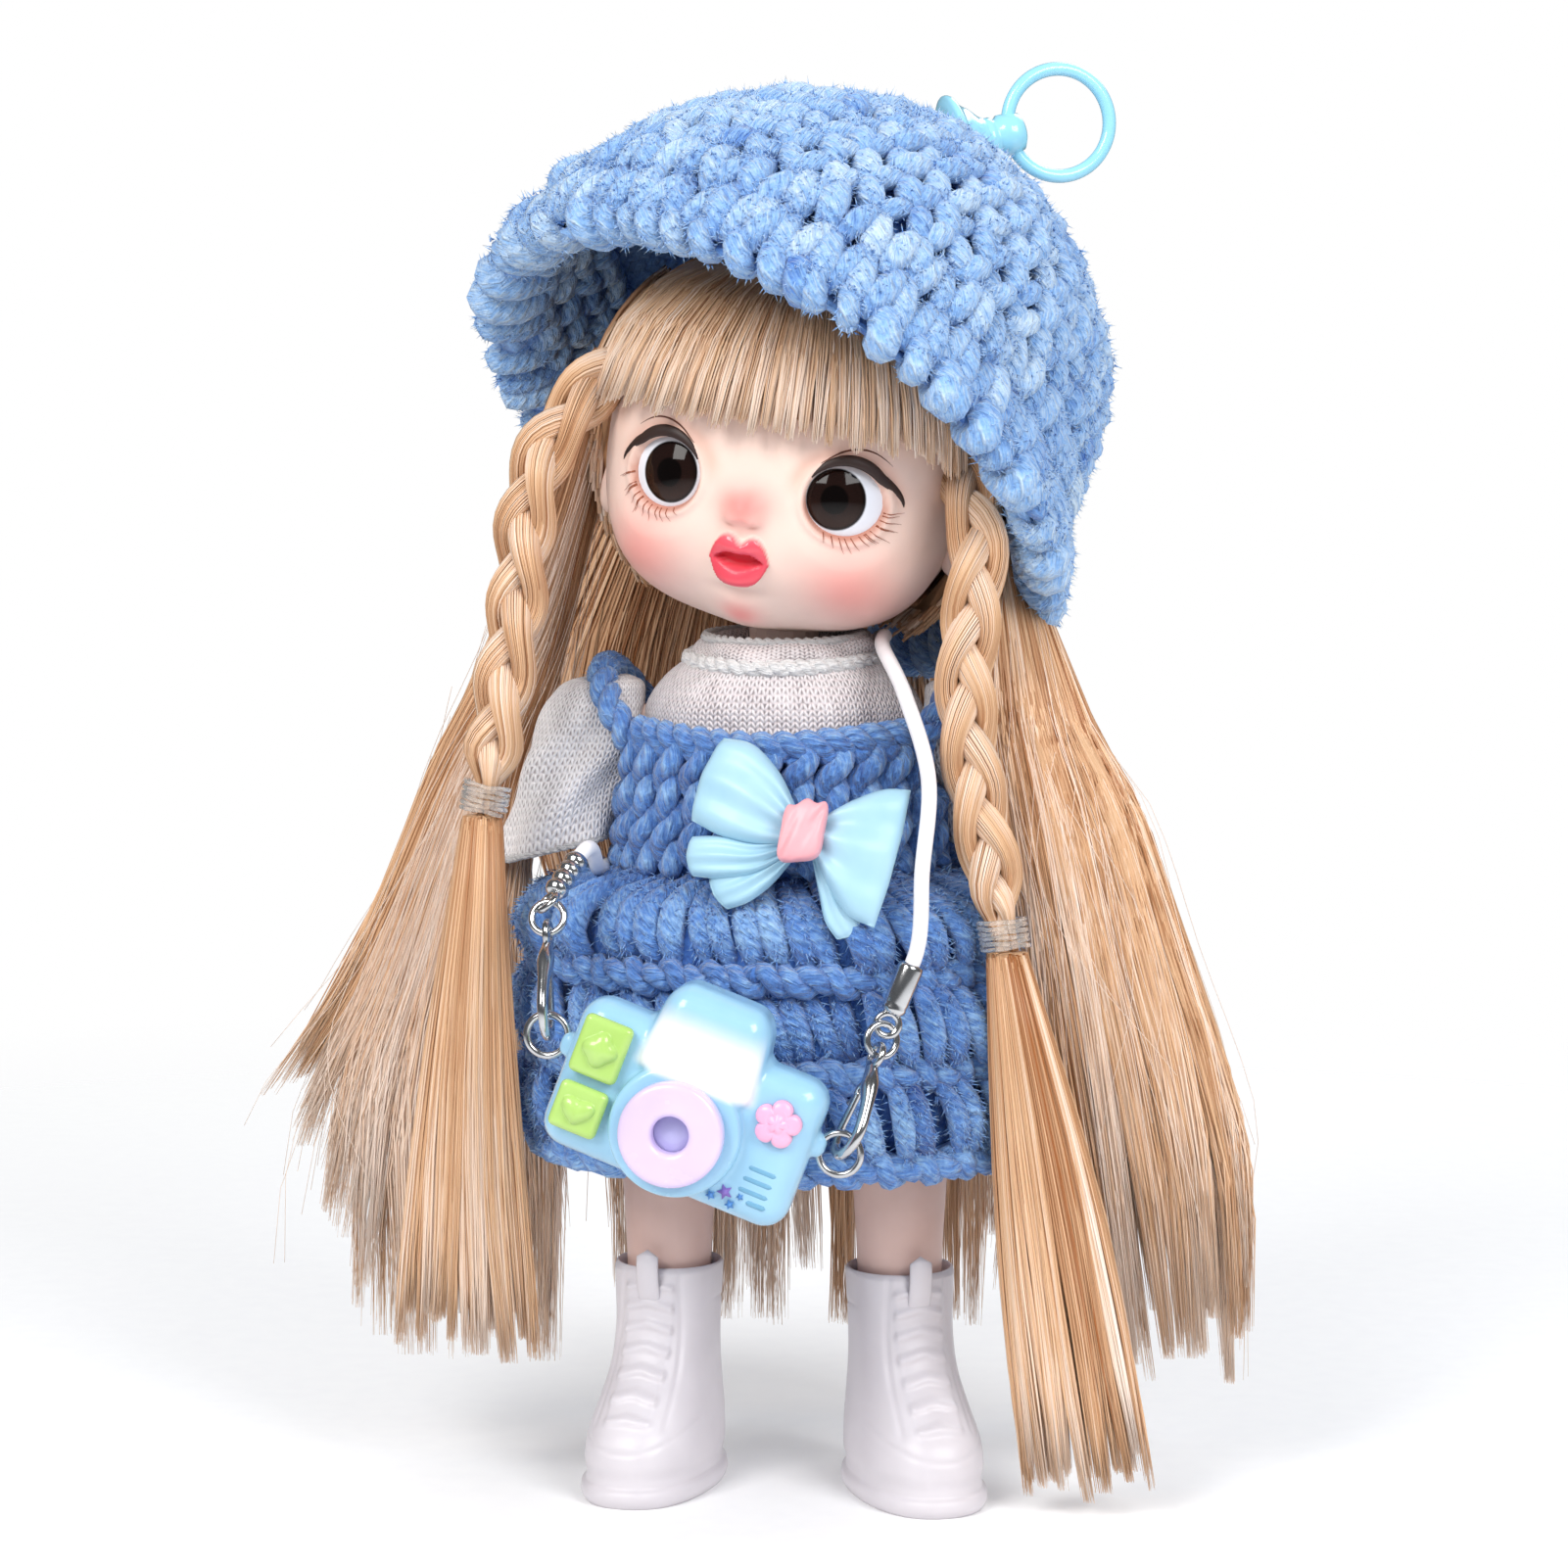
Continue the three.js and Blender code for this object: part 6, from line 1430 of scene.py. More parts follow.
BOW_TURN = rotation("X", 90 - 16.6) @ rotation("Z", -8)
BOW_CENTRE = np.array([5.7, -22.7, 81.5])


# Loops and tails of the ribbon: upper edge, lower edge, depth, puff, thickness behind and ripple.
BOW_SHAPES = (
    (([-1, 2.2], [-5, 7.6], [-8.4, 9.9], [-11.6, 10.1]),
     ([-1, -1.2], [-6, -1.9], [-10, -1.4], [-13.6, -0.1]), 0.2, 1.7, 0.3, 0.7),
    (([-1, -0.6], [-6, -1.6], [-10, -1.3], [-13.3, -1.8]),
     ([-1, -1.8], [-5, -5.2], [-9, -6.3], [-12.4, -6.4]), -0.8, 1.3, 0.2, 0.5),
    (([-1, -1], [-5, -3.6], [-8, -5.2], [-10.6, -6.0]),
     ([-1, -2.4], [-3.6, -6.6], [-5.8, -8.6], [-7.8, -9.5]), -1.4, 0.9, 0.1, 0.3),
    (([1, 2.0], [5, 5.2], [8.6, 7.0], [11.0, 7.3]),
     ([1, -1.4], [3.8, -5.6], [6.6, -8.4], [9.6, -9.2]), 0.2, 1.7, 0.3, 0.7),
    (([1, -0.6], [4.6, -4.4], [7.0, -7.6], [8.0, -8.6]),
     ([1, -2.2], [2.6, -6.4], [4.0, -9.6], [5.4, -11.0]), -1.2, 0.6, 0.1, 0.2),
)


def on_bow(points):
    """Points of the bow's own frame as doll millimetres."""
    return points @ BOW_TURN.T + BOW_CENTRE


def petal(top, foot, depth, puff, back, ripple, rows=40, columns=44):
    """A moulded ribbon loop: a puffed sheet between an upper and a lower edge that both start at the knot."""
    u = np.linspace(0, 1, columns)
    upper = curve_through([[*p, 0] for p in top], columns)[:, :2]
    lower = curve_through([[*p, 0] for p in foot], columns)[:, :2]
    v = np.linspace(-1, 1, rows)
    share = ((v + 1) / 2)[:, None, None]
    flat = lower[None] * (1 - share) + upper[None] * share
    flat = flat * (1 + 0.05 * (1 - v[:, None, None] ** 2) * u[None, :, None] ** 3)
    edge = np.maximum(1 - np.abs(v) ** 7, 0)[:, None] ** 0.5 * np.maximum(1 - u ** 26, 0)[None] ** 0.5
    roll = puff * (1 - v[:, None] ** 2) ** 0.8 * np.sin(np.pi * u[None] ** 0.8 * 0.8) - 0.9 * u[None] ** 5
    fold = ripple * np.cos(2.6 * np.pi * v)[:, None] * (np.exp(-1.3 * u) * smooth(u, 0, 0.12))[None]
    front = depth + roll + fold + 0.55 * edge
    rear = depth + 0.55 * roll + fold * 0.5 - 0.55 * edge - back
    face = np.concatenate([flat, front[..., None]], axis=-1)
    reverse = np.concatenate([flat, rear[..., None]], axis=-1)
    points, faces, uvs, tone = grid(np.concatenate([face, reverse[::-1]]), loop=True)
    index = np.arange(2 * rows * columns).reshape(2 * rows, columns)
    ends = np.stack([index[:, 0], index[:, -1]])
    return points, faces + [ends], uvs + [np.zeros((ends.size, 2))], tone


def make_bow(finishes):
    """The ribbon's loops and tails, and the pleated knot."""
    ribbon = gather([petal(*shape) for shape in BOW_SHAPES])
    show("bow_ribbon_loops", moved(ribbon, on_bow), "torso", finishes["bow"], "bow", "bow_ribbon")

    a, e = np.meshgrid(whole_turn(80), np.radians(np.linspace(89, -89, 60)))
    ball = heading(a, e)
    box = np.sign(ball) * np.abs(ball) ** 0.5
    x, y, z = 2.45 * box[..., 0], 3.5 * box[..., 2], -1.75 * box[..., 1]
    x = x * (1 + 0.1 * (y / 3.5) ** 2)
    y = y + 0.3 * np.cos(2.6 * x) * smooth(y, 1.5, 3.4) + 0.25 * x
    crease = swell(x - 0.9 - 0.42 * y, 0.45) + 0.8 * swell(x + 1.15 - 0.3 * y, 0.4)
    z = z + 0.35 * swell(x + 0.2, 1.2) - 0.4 * crease * smooth(z, 0.3, 1.2)
    knot = grid(np.stack([x, y, z + 2.7], axis=-1), wrap=True, closed_ends=True)
    show("bow_knot_pleated", moved(knot, on_bow), "torso", finishes["knot"], "knot", "bow_knot")


# Toy camera

CAMERA_CENTRE = np.array([-6.6, -32.5, 51.0])
CAMERA_TURN = rotation("Y", 21)
LENS_HEIGHT = -1.6
BUTTON_ASIDE = -11.1
CAMERA_WHITE = shade("f4f4f7")
# Buttons: height of the pad, where it sits, and whether its raised mark is a heart.
BUTTONS = {"upper": (7.0, 3.8, False), "lower": (5.6, -3.6, True)}
# Slots on the camera's front: height and where each begins.
SLOTS = ((-2.5, 8.9), (-3.85, 8.7), (-5.2, 8.6), (-6.4, 10.2))
SLOTS_END = 12.7
# Stars: x, z, size and tone.
STARS = ((7.7, -6.2, 0.95, 0.9), (6.3, -7.2, 0.6, 0.5), (8.7, -7.4, 0.6, 0.5), (9.5, -6.1, 0.45, 0.5))


def on_camera(points):
    """Points of the toy camera's own frame as doll millimetres."""
    return np.asarray(points, float) @ CAMERA_TURN.T + CAMERA_CENTRE


def bevel_all(made, width, segments):
    """Rounds every edge of a block."""
    bpy.ops.object.transform_apply(location=False, rotation=True, scale=True)
    bpy.ops.object.mode_set(mode="EDIT")
    bpy.ops.mesh.select_all(action="SELECT")
    bpy.ops.mesh.bevel(offset=width, segments=segments, affect="EDGES")
    bpy.ops.object.mode_set(mode="OBJECT")
    return made


def block(size, at, bevel, segments=4, taper=1.0):
    """A rounded block in millimetres, modelled at the world's origin: cube, scale, bevel."""
    deselect()
    bpy.ops.mesh.primitive_cube_add(size=1.0)
    bpy.context.object.scale = size
    made = bevel_all(bpy.context.object, bevel, segments)
    for vertex in made.data.vertices:
        vertex.co.x *= 1 + (taper - 1) * (vertex.co.z / size[2] + 0.5)
        vertex.co += Vector(at)
    return made


def drum(radius, depth, at, bevel):
    """A round-edged cylinder that faces -Y, in millimetres."""
    deselect()
    bpy.ops.mesh.primitive_cylinder_add(vertices=64, radius=radius, depth=depth, rotation=(math.pi / 2, 0, 0))
    made = bevel_all(bpy.context.object, bevel, 4)
    for vertex in made.data.vertices:
        vertex.co += Vector(at)
    return made


def fuse(name, blocks, voxel, rounds):
    """Joins blocks into one skin with melted corners: join, remesh, smooth."""
    deselect()
    for made in blocks:
        made.select_set(True)
    bpy.context.view_layer.objects.active = blocks[0]
    bpy.ops.object.join()
    piece = bpy.context.object
    piece.name = piece.data.name = name
    piece.data.remesh_voxel_size = voxel
    bpy.ops.object.voxel_remesh()
    soften = piece.modifiers.new("soften", "SMOOTH")
    soften.factor, soften.iterations = 0.5, rounds
    bpy.ops.object.modifier_apply(modifier=soften.name)
    bpy.ops.object.shade_smooth()
    return piece


def seat(piece, mapping):
    """Moves a finished mesh from its own millimetres to its place on the doll, and returns its own points."""
    co = np.empty(len(piece.data.vertices) * 3)
    piece.data.vertices.foreach_get("co", co)
    own = co.reshape(-1, 3)
    piece.data.vertices.foreach_set("co", place(mapping(own)).astype(np.float32).ravel())
    piece.data.update()
    return own


def squared(value):
    """A sine or cosine pressed towards a square wave, for a ring with flat sides."""
    return math.copysign(abs(value) ** 0.45, value)


def turned(profile, at, count=90):
    """A piece turned about -Y from (radius, depth) pairs."""
    turn = whole_turn(count)[None]
    r, y = (np.array(values)[:, None] for values in zip(*profile))
    return np.stack([at[0] + r * np.cos(turn), at[1] + y + 0 * turn, at[2] + r * np.sin(turn)], axis=-1)


def make_camera_body(colours):
    """The toy camera's fused body, with a white panel on its finder."""
    blocks = [block((30, 7.6, 18), (0, 0, 0), 3.0, 6),
              block((15.8, 9.6, 12.2), (0, -0.55, 8.3), 3.2, 6, taper=0.76),
              block((19, 6.0, 5), (0, 0, 7.4), 2.2, 5, taper=0.8),
              drum(7.6, 6.0, (0, -3.0, LENS_HEIGHT), 0.8),
              block((32.6, 2.4, 3.0), (0, 0, 2), 1.1)]
    shell = fuse("camera_body_resin", blocks, 0.24, 9)
    x, y, z = seat(shell, on_camera).T
    share = smooth(-y, 3.2, 4.1) * smooth(z, 3.4, 4.4) * smooth(-z, -12.4, -8.4)
    share = (share * smooth(8.4 - np.abs(x) - 0.12 * z, 0, 1.6))[:, None]
    paint_points(shell.data, np.array(colours.camera[:]) * (1 - share) + np.array(CAMERA_WHITE) * share)
    settle(shell, "camera", painted("camera_resin", 0.24, 0.5, coat=0.5, subsurface=0.04), "camera",
           "camera_body")


def make_buttons(finishes):
    """Two green buttons, one with a raised dome of four soft lobes and one with a raised heart."""
    for name, (tall, height, heart) in BUTTONS.items():
        pad = block((5.8, 1.7, tall), (BUTTON_ASIDE, -4.5, height), 0.75)
        deselect()
        bpy.ops.mesh.primitive_uv_sphere_add(segments=40, ring_count=24, radius=1.0)
        dome = bpy.context.object
        for vertex in dome.data.vertices:
            x, y, z = vertex.co
            if heart:
                vertex.co = Vector((2.0 * x, y, 1.45 * (z + 0.55 * abs(x) - 0.2)))
            else:
                lobe = 1 + 0.1 * math.cos(4 * math.atan2(z, x))
                vertex.co = Vector((1.95 * x * lobe, 1.15 * y, 1.95 * z * lobe))
            vertex.co += Vector((BUTTON_ASIDE, -5.25, height))
        key = fuse("button_" + name + "_green", [pad, dome], 0.11, 3)
        seat(key, on_camera)
        settle(key, "camera", finishes["green"], "green", "button_" + name)


def make_camera_marks():
    """Printed stars and dark slot lines on the camera's front; the slot lines are painted shade for cut
    slots.
    """
    parts = []
    round_end = 0.34 * (1 - np.linspace(-1, 1, 9) ** 8) ** 0.5 + 0.02
    # Each slot is a line in a darker blue of the body: painted shade for a cut slot.
    for z, start in SLOTS:
        x = np.linspace(start, SLOTS_END, 9)
        line = np.stack([x, -3.62 + 0 * x, z + 0 * x], axis=-1)
        parts.append(strands(line[None], round_end[None], 10, 0.8, 0.1, across=(0, 0, 1)))
    for x, z, size, tone in STARS:
        points = np.array([[x + size * (1 if k % 2 else 0.45) * math.sin(np.pi * k / 5), 0,
                            z + size * (1 if k % 2 else 0.45) * math.cos(np.pi * k / 5)] for k in range(10)])
        star = np.stack([points + [0, -3.55, 0], points + [0, -3.98, 0]])
        parts.append(grid(star, wrap=True, tone=tone, closed_ends=True))
    f = Finish("camera_print_and_slot_shade", Roughness=0.35)
    value = f.math("MULTIPLY_ADD", f.noise(800.0), 0.06, f.attribute("tone"))
    inks_and_slot_shade = [(0.12, shade("6fa6c4")), (0.5, shade("4f8fd2")), (0.93, shade("8a6fc4"))]
    f.to("Base Color", f.ramp(value, inks_and_slot_shade))
    show("camera_slots_and_stars", moved(gather(parts), on_camera), "camera", f.material, "camera")


def make_camera(finishes, colours):
    """The toy camera: body, lens ring, lens, buttons, flower, printed stars and slot lines of painted shade.
    """
    make_camera_body(colours)
    ring = [(4.05 + 1.95 * squared(math.cos(a)), -1.4 * squared(math.sin(a))) for a in whole_turn(40)]
    ring = grid(turned(ring, (0, -7.4, LENS_HEIGHT)), wrap=True, loop=True)
    show("lens_ring_lilac", moved(ring, on_camera), "camera", finishes["lilac"], "lilac", "lens_ring")
    lens = [(0.02, -0.1), (1.0, -0.05), (2.0, 0.1), (2.5, 0.4), (2.5, 1.2), (0.02, 1.2)]
    lens = grid(turned(lens, (0, -6.5, LENS_HEIGHT)), wrap=True, closed_ends=True)
    show("lens_disc", moved(lens, on_camera), "camera", finishes["lens"], "lens", "lens")
    make_buttons(finishes)
    a, r = np.meshgrid(whole_turn(100), np.linspace(0.02, 1, 26))
    edge = 1.95 + 0.85 * np.abs(np.cos(2.5 * a)) ** 0.55
    height = 0.5 + 0.75 * np.sqrt(np.maximum(1 - r ** 4, 0))
    height = height + 0.3 * swell(r, 0.35) - 0.14 * swell(r - 0.42, 0.1)
    front = np.stack([edge * r * np.sin(a), -height, edge * r * np.cos(a)], axis=-1)
    rear = np.stack([edge[-1] * np.sin(a[-1]), 0 * a[-1] + 0.2, edge[-1] * np.cos(a[-1])], axis=-1)[None]
    petals = grid(np.concatenate([front, rear]) + np.array([10.5, -3.85, 3.4]), wrap=True, closed_ends=True)
    show("flower_pink", moved(petals, on_camera), "camera", finishes["blossom"], "flower", "flower")
    make_camera_marks()


# Strap and key ring


def wire(points, radius, sides=14):
    """A round bar along a line."""
    return strands(points[None], np.full((1, len(points)), radius), sides)


def hoop(centre, one, two, radius, thick, count=56, sides=14):
    """A round ring of round bar, in the plane of two directions."""
    around = whole_turn(count)[:, None]
    points = centre + radius * (np.cos(around) * unit(one) + np.sin(around) * unit(two))
    along = unit(np.roll(points, -1, axis=0) - np.roll(points, 1, axis=0))
    normal = unit(np.cross(points[0] - points[len(points) // 3], points[0] - points[len(points) // 2]))
    out = unit(np.cross(along, normal))
    a = whole_turn(sides)[:, None, None]
    tube = points[None] + thick * (out[None] * np.cos(a) + normal * np.sin(a))
    return grid(tube.transpose(1, 0, 2), wrap=True, loop=True)


def spun(profile, foot, axis, count=64):
    """A turned piece: (height, radius) pairs about an axis."""
    axis = unit(axis)
    one = unit(np.cross(axis, [0.3, 0.9, -0.2]))
    two = np.cross(axis, one)
    h, r = np.array(profile, float).T
    a = whole_turn(count)
    ring = np.cos(a)[:, None] * one + np.sin(a)[:, None] * two
    return grid(foot + h[:, None, None] * axis + r[:, None, None] * ring, wrap=True, closed_ends=True)


CLASP_LONG, CLASP_WIDE = 12.0, 5.0
# The hook's line and its lobe: shares of the clasp's length, then of its width, up and across.
HOOK = ((0.72, 0, -0.2), (0.45, 0, -0.46), (0, 0.4, -0.5), (0, 0.1, -0.28), (0, 0, 0), (0, 0.12, 0.3),
        (0, 0.42, 0.42))
LOBE = ((0.74, 0, -0.1), (0.68, 0, 0.12), (0.6, 0, 0.2))
EYE_RADIUS, LINK_RADIUS, EYELET_RADIUS, BAR = 1.3, 1.9, 2.4, 0.42
# Each side's rise of the clasp, lead of the cord and turn of the clasp in degrees.
STRAP_ENDS = {
    "right": ([-1.4, 8, 19], [0.35, 0.7, 0.62], 0),
    "left": ([5.9, 6.5, 17.2], [0.36, 0.12, 0.92], 30),
}
RIB_PITCH = 1.48
RIBS = [(0.15 + h, 1.12 + 0.3 * abs(math.sin(math.pi * h / RIB_PITCH))) for h in np.linspace(0, 5.92, 50)]
# The ferrules as (height, radius): a ribbed one and a plain tube.
FERRULES = {
    "right": [(0.0, 0.1), (0.02, 0.8)] + RIBS + [(6.18, 0.9), (6.2, 0.1)],
    "left": [(0, 0.1), (0.05, 1.0), (0.3, 1.34), (0.8, 1.46), (1.1, 1.36), (1.4, 1.46), (5.6, 1.5),
             (5.95, 1.44), (6.15, 1.2), (6.2, 0.1)],
}
CORD_IN_FERRULE = (3.72, 4.96, 6.8)
CORD_POINTS = 420


def make_clasp(name, way, finishes):
    """One end of the strap: eyelet ring, clasp with its gate, link and ferrule. Returns its cord's points."""
    steel = (finishes["steel"], "steel")
    rise, lead, turn = STRAP_ENDS[name]
    rise, lead = unit(rise), unit(lead)
    origin = on_camera([18.0 * way, 0, 2.0])
    across = unit(np.array([0, 1, 0]) - rise * rise[1])
    if turn:
        across = np.array(Matrix.Rotation(math.radians(turn), 3, rise.tolist())) @ across
    long, wide = CLASP_LONG, CLASP_WIDE

    def at(up, over):
        return origin + rise * up + across * over

    def shaped(shares):
        return [at(a * long + b * wide, c * wide) for a, b, c in shares]

    line = curve_through([at(long - 1.3, 0)] + shaped(HOOK), 60)
    t = np.linspace(0, 1, 60)
    heavy = 0.7 + 0.5 * swell(t - 0.16, 0.13) + 0.12 * swell(t - 0.45, 0.2) - 0.2 * smooth(t, 0.86, 1.0)
    hook = strands(line[None], heavy[None], 16, 0.8, 0.5, across=across)
    lobe = wire(curve_through(shaped(LOBE), 16), 0.5)
    eye = hoop(at(long, 0), rise, across, EYE_RADIUS, BAR)
    show("clasp_hook_" + name, gather([hook, lobe, eye]), "torso", *steel, "clasp_" + name)

    hinge, tip = at(long * 0.66, 0.14 * wide), at(0.42 * wide, 0.42 * wide)
    down = unit(tip - hinge)
    bar = np.linspace(hinge + down * 0.4, tip - down * 0.4, 20)
    bar = strands(bar[None], np.full((1, 20), 0.52), 14, 0.8, 0.5, across=across)
    bend = [hinge + down * a + across * b for a, b in ((0.9, 0.0), (1.5, 0.5), (1.9, 1.1))]
    lever = wire(curve_through(bend, 10), 0.36)
    show("clasp_trigger_" + name, gather([bar, lever]), "clasp_gate_" + name, *steel, "clasp_gate_" + name)

    link = hoop(at(long + LINK_RADIUS, 0), rise, np.cross(rise, across), LINK_RADIUS, BAR)
    show("split_link_" + name, link, "torso", *steel, "link_" + name)
    eye = at(long + 3.8, 0)
    tube = spun(FERRULES[name], eye + lead * EYE_RADIUS, lead)
    loop = hoop(eye, lead, unit(np.cross(lead, rise)), EYE_RADIUS, BAR)
    show("ferrule_tube_" + name, gather([tube, loop]), "torso", *steel, "ferrule_" + name)
    eyelet = hoop(origin, CAMERA_TURN[:, 0], CAMERA_TURN[:, 2], EYELET_RADIUS, BAR)
    show("eyelet_ring_" + name, eyelet, "camera", *steel, "eyelet_" + name)
    return [eye + lead * (EYE_RADIUS + d) for d in CORD_IN_FERRULE]


STRAP_ROUTE = [[19.4, -24.6, 78], [19.9, -22.6, 88], [16.6, -17.6, 97.5], [12.9, -8, 102.6], [11.9, 2, 103.4],
               [9, 11.5, 101.6], [3, 17, 96], [-6, 19.5, 87], [-14.5, 18.4, 79], [-19.6, 9.5, 75.9],
               [-21.2, 0, 75.6], [-21, -9.5, 76]]


def make_strap(finishes, thick):
    """The white cord, from one clasp over the shoulder and round the back to the other."""
    left = make_clasp("left", 1, finishes)
    right = make_clasp("right", -1, finishes)
    line = curve_through(left + STRAP_ROUTE + right[::-1], CORD_POINTS)
    run = lengths_along(line)
    even = np.linspace(0, run[-1], CORD_POINTS)
    line = np.stack([np.interp(even, run, line[:, k]) for k in range(3)], axis=-1)
    cord = wire(line, thick * METRE / 2, sides=20)
    piece = show("strap_cord_white", cord, "torso", finishes["cord"], "cord", "strap_cord")
    path = place(line)
    path[0]
    path[::4].tolist() + [path[-1].tolist()]


RING_MIDDLE = np.array([0.034309, 0.026279, 0.166319])
RING_RADIUS = 6.6
# The bell: height along its axis and radius.
BELL = [(0, 0.1), (0.0, 6.0), (0.25, 6.35), (0.6, 6.4), (0.95, 6.2), (1.2, 5.7), (1.9, 4.9), (2.7, 4.3),
        (3.4, 3.6), (4.0, 3.0), (4.5, 2.7), (4.6, 0.1)]
# The swivel post below the ring, and its knob, measured from where the ring passes: height and radius.
POST = [(4.2, 0.1), (4.22, 2.3), (4.6, 2.6), (5.3, 2.6), (5.6, 2.25)]
KNOB = [(-1.6, 2.2), (-1.2, 2.6), (0.4, 2.6), (1.5, 2.3), (1.9, 1.5), (2.0, 0.1)]


def make_key_ring(finishes):
    """The bell on the hat's crown, the swivel post in it and the ring through the post."""
    enamel = (finishes["enamel"], "aqua")
    axis = unit([0.907, 0.349, 0.234])
    tangent = unit([-0.218, -0.084, 0.972])
    bell = curve_through([[h, r, 0] for h, r in BELL], 70)[:, :2]
    bell[:, 1] = np.maximum(bell[:, 1], 0.05)
    show("bell_cap_enamel", spun(bell, BELL_FOOT, axis), "head", *enamel, "bell_cap")
    ring_at = (RING_MIDDLE - SHIFT) * METRE
    reach = float(np.dot(ring_at - BELL_FOOT, axis)) - RING_RADIUS
    post = POST + [(reach + h, r) for h, r in KNOB]
    show("swivel_post_enamel", spun(post, BELL_FOOT, axis), "head", *enamel, "ring_post")
    ring = hoop(ring_at, axis, tangent, RING_RADIUS, 0.85, 96)
    show("key_ring_enamel", ring, "key_ring", *enamel, "key_ring")


# Body and stage


def finish_body(colours):
    """Gives the solids that show under the clothes their vinyl."""
    skin = resin("body_vinyl", colours.skin[:], roughness=0.5, coat=0.0, mottle=0.06)
    for name in ("torso", "arm_left", "arm_right"):
        solid = bpy.data.objects[name]
        solid.data.materials.clear()
        solid.data.materials.append(skin)


ROOM_TINT = (0.92, 0.95, 1.0, 1)
GLOSSY_SHARE = 0.22


def white_room(name, brightness):
    """World light: a plain white backdrop for the camera and a soft grey-white glow on the doll."""
    world = bpy.data.worlds.new(name)
    bpy.context.scene.world = world
    world.use_nodes = True
    tree = world.node_tree
    tree.nodes.clear()
    path = tree.nodes.new("ShaderNodeLightPath")

    def light(colour, strength):
        node = tree.nodes.new("ShaderNodeBackground")
        node.inputs["Color"].default_value = colour
        node.inputs["Strength"].default_value = strength
        return node

    def choose(ray, otherwise, chosen):
        node = tree.nodes.new("ShaderNodeMixShader")
        tree.links.new(path.outputs[ray], node.inputs["Fac"])
        tree.links.new(otherwise.outputs[0], node.inputs[1])
        tree.links.new(chosen.outputs[0], node.inputs[2])
        return node

    glow = choose("Is Glossy Ray", light(ROOM_TINT, brightness), light(ROOM_TINT, brightness * GLOSSY_SHARE))
    shown = choose("Is Camera Ray", glow, light((1, 1, 1, 1), 1.0))
    out = tree.nodes.new("ShaderNodeOutputWorld")
    tree.links.new(shown.outputs[0], out.inputs["Surface"])


def floor_finish():
    """Matt white card that fades into the backdrop away from the doll."""
    f = Finish("floor_card", Roughness=0.9)
    grain = f.noise(300.0)
    f.to("Base Color", f.ramp(grain, [(0.3, (0.93, 0.93, 0.935)), (0.7, (0.95, 0.95, 0.95))]))
    length = f.node("VectorMath", {0: f.where()}, operation="LENGTH").outputs["Value"]
    f.to("Alpha", f.ramp(length, [(0.12, (1, 1, 1)), (0.4, (0, 0, 0))]))
    return f.material


def aim_at(made, name, target):
    """Names a lamp or camera and turns it to a target."""
    made.name = name
    made.rotation_euler = (made.location - Vector(target)).to_track_quat("Z", "Y").to_euler()
    return made


def lamp(name, offset, target, size, power, tint=(1, 1, 1)):
    """A square soft lamp, set off from its target."""
    deselect()
    bpy.ops.object.light_add(type="AREA", location=tuple(target + np.array(offset)))
    made = aim_at(bpy.context.object, name, target)
    made.data.shape = "SQUARE"
    made.data.size = size
    made.data.energy = power
    made.data.color = tint
    return made


VIEW_AZIMUTH, VIEW_ELEVATION = math.radians(8.0), math.radians(5.0)
VIEW_DISTANCE = 0.470
VIEW_AIM = (0.0, 0.0, 85.5)


def make_stage(stage):
    """The white floor, the lamps and the photograph's view."""
    scene = bpy.context.scene
    scene.view_settings.view_transform = "Standard"
    aim = place(VIEW_AIM)
    deselect()
    bpy.ops.mesh.primitive_circle_add(vertices=96, radius=0.9, fill_type="NGON",
                                      location=(float(SHIFT[0]), float(SHIFT[1]), CAD_BOX[0][2]))
    floor = bpy.context.object
    floor.name = "floor"
    floor.data.materials.append(floor_finish())
    white_room("white_room", stage.room_light)
    key = lamp("key_lamp", (-0.26, -0.5, 0.4), aim, 0.32, stage.key_light, (1.0, 0.98, 0.95))
    fill = lamp("fill_lamp", (0.42, -0.44, 0.36), aim, 0.34, stage.key_light * 0.95)
    rim = lamp("rim_lamp", (0.2, 0.5, 0.5), aim, 0.4, stage.key_light * 0.5)
    back = heading(VIEW_AZIMUTH, VIEW_ELEVATION)
    deselect()
    bpy.ops.object.camera_add(location=tuple(aim + back * VIEW_DISTANCE))
    camera = aim_at(bpy.context.object, "photo_camera", aim)
    camera.data.sensor_width = 36.0
    camera.data.lens = stage.lens
    camera.data.clip_start, camera.data.clip_end = 0.01, 20.0
    scene.camera = camera


# Add-on


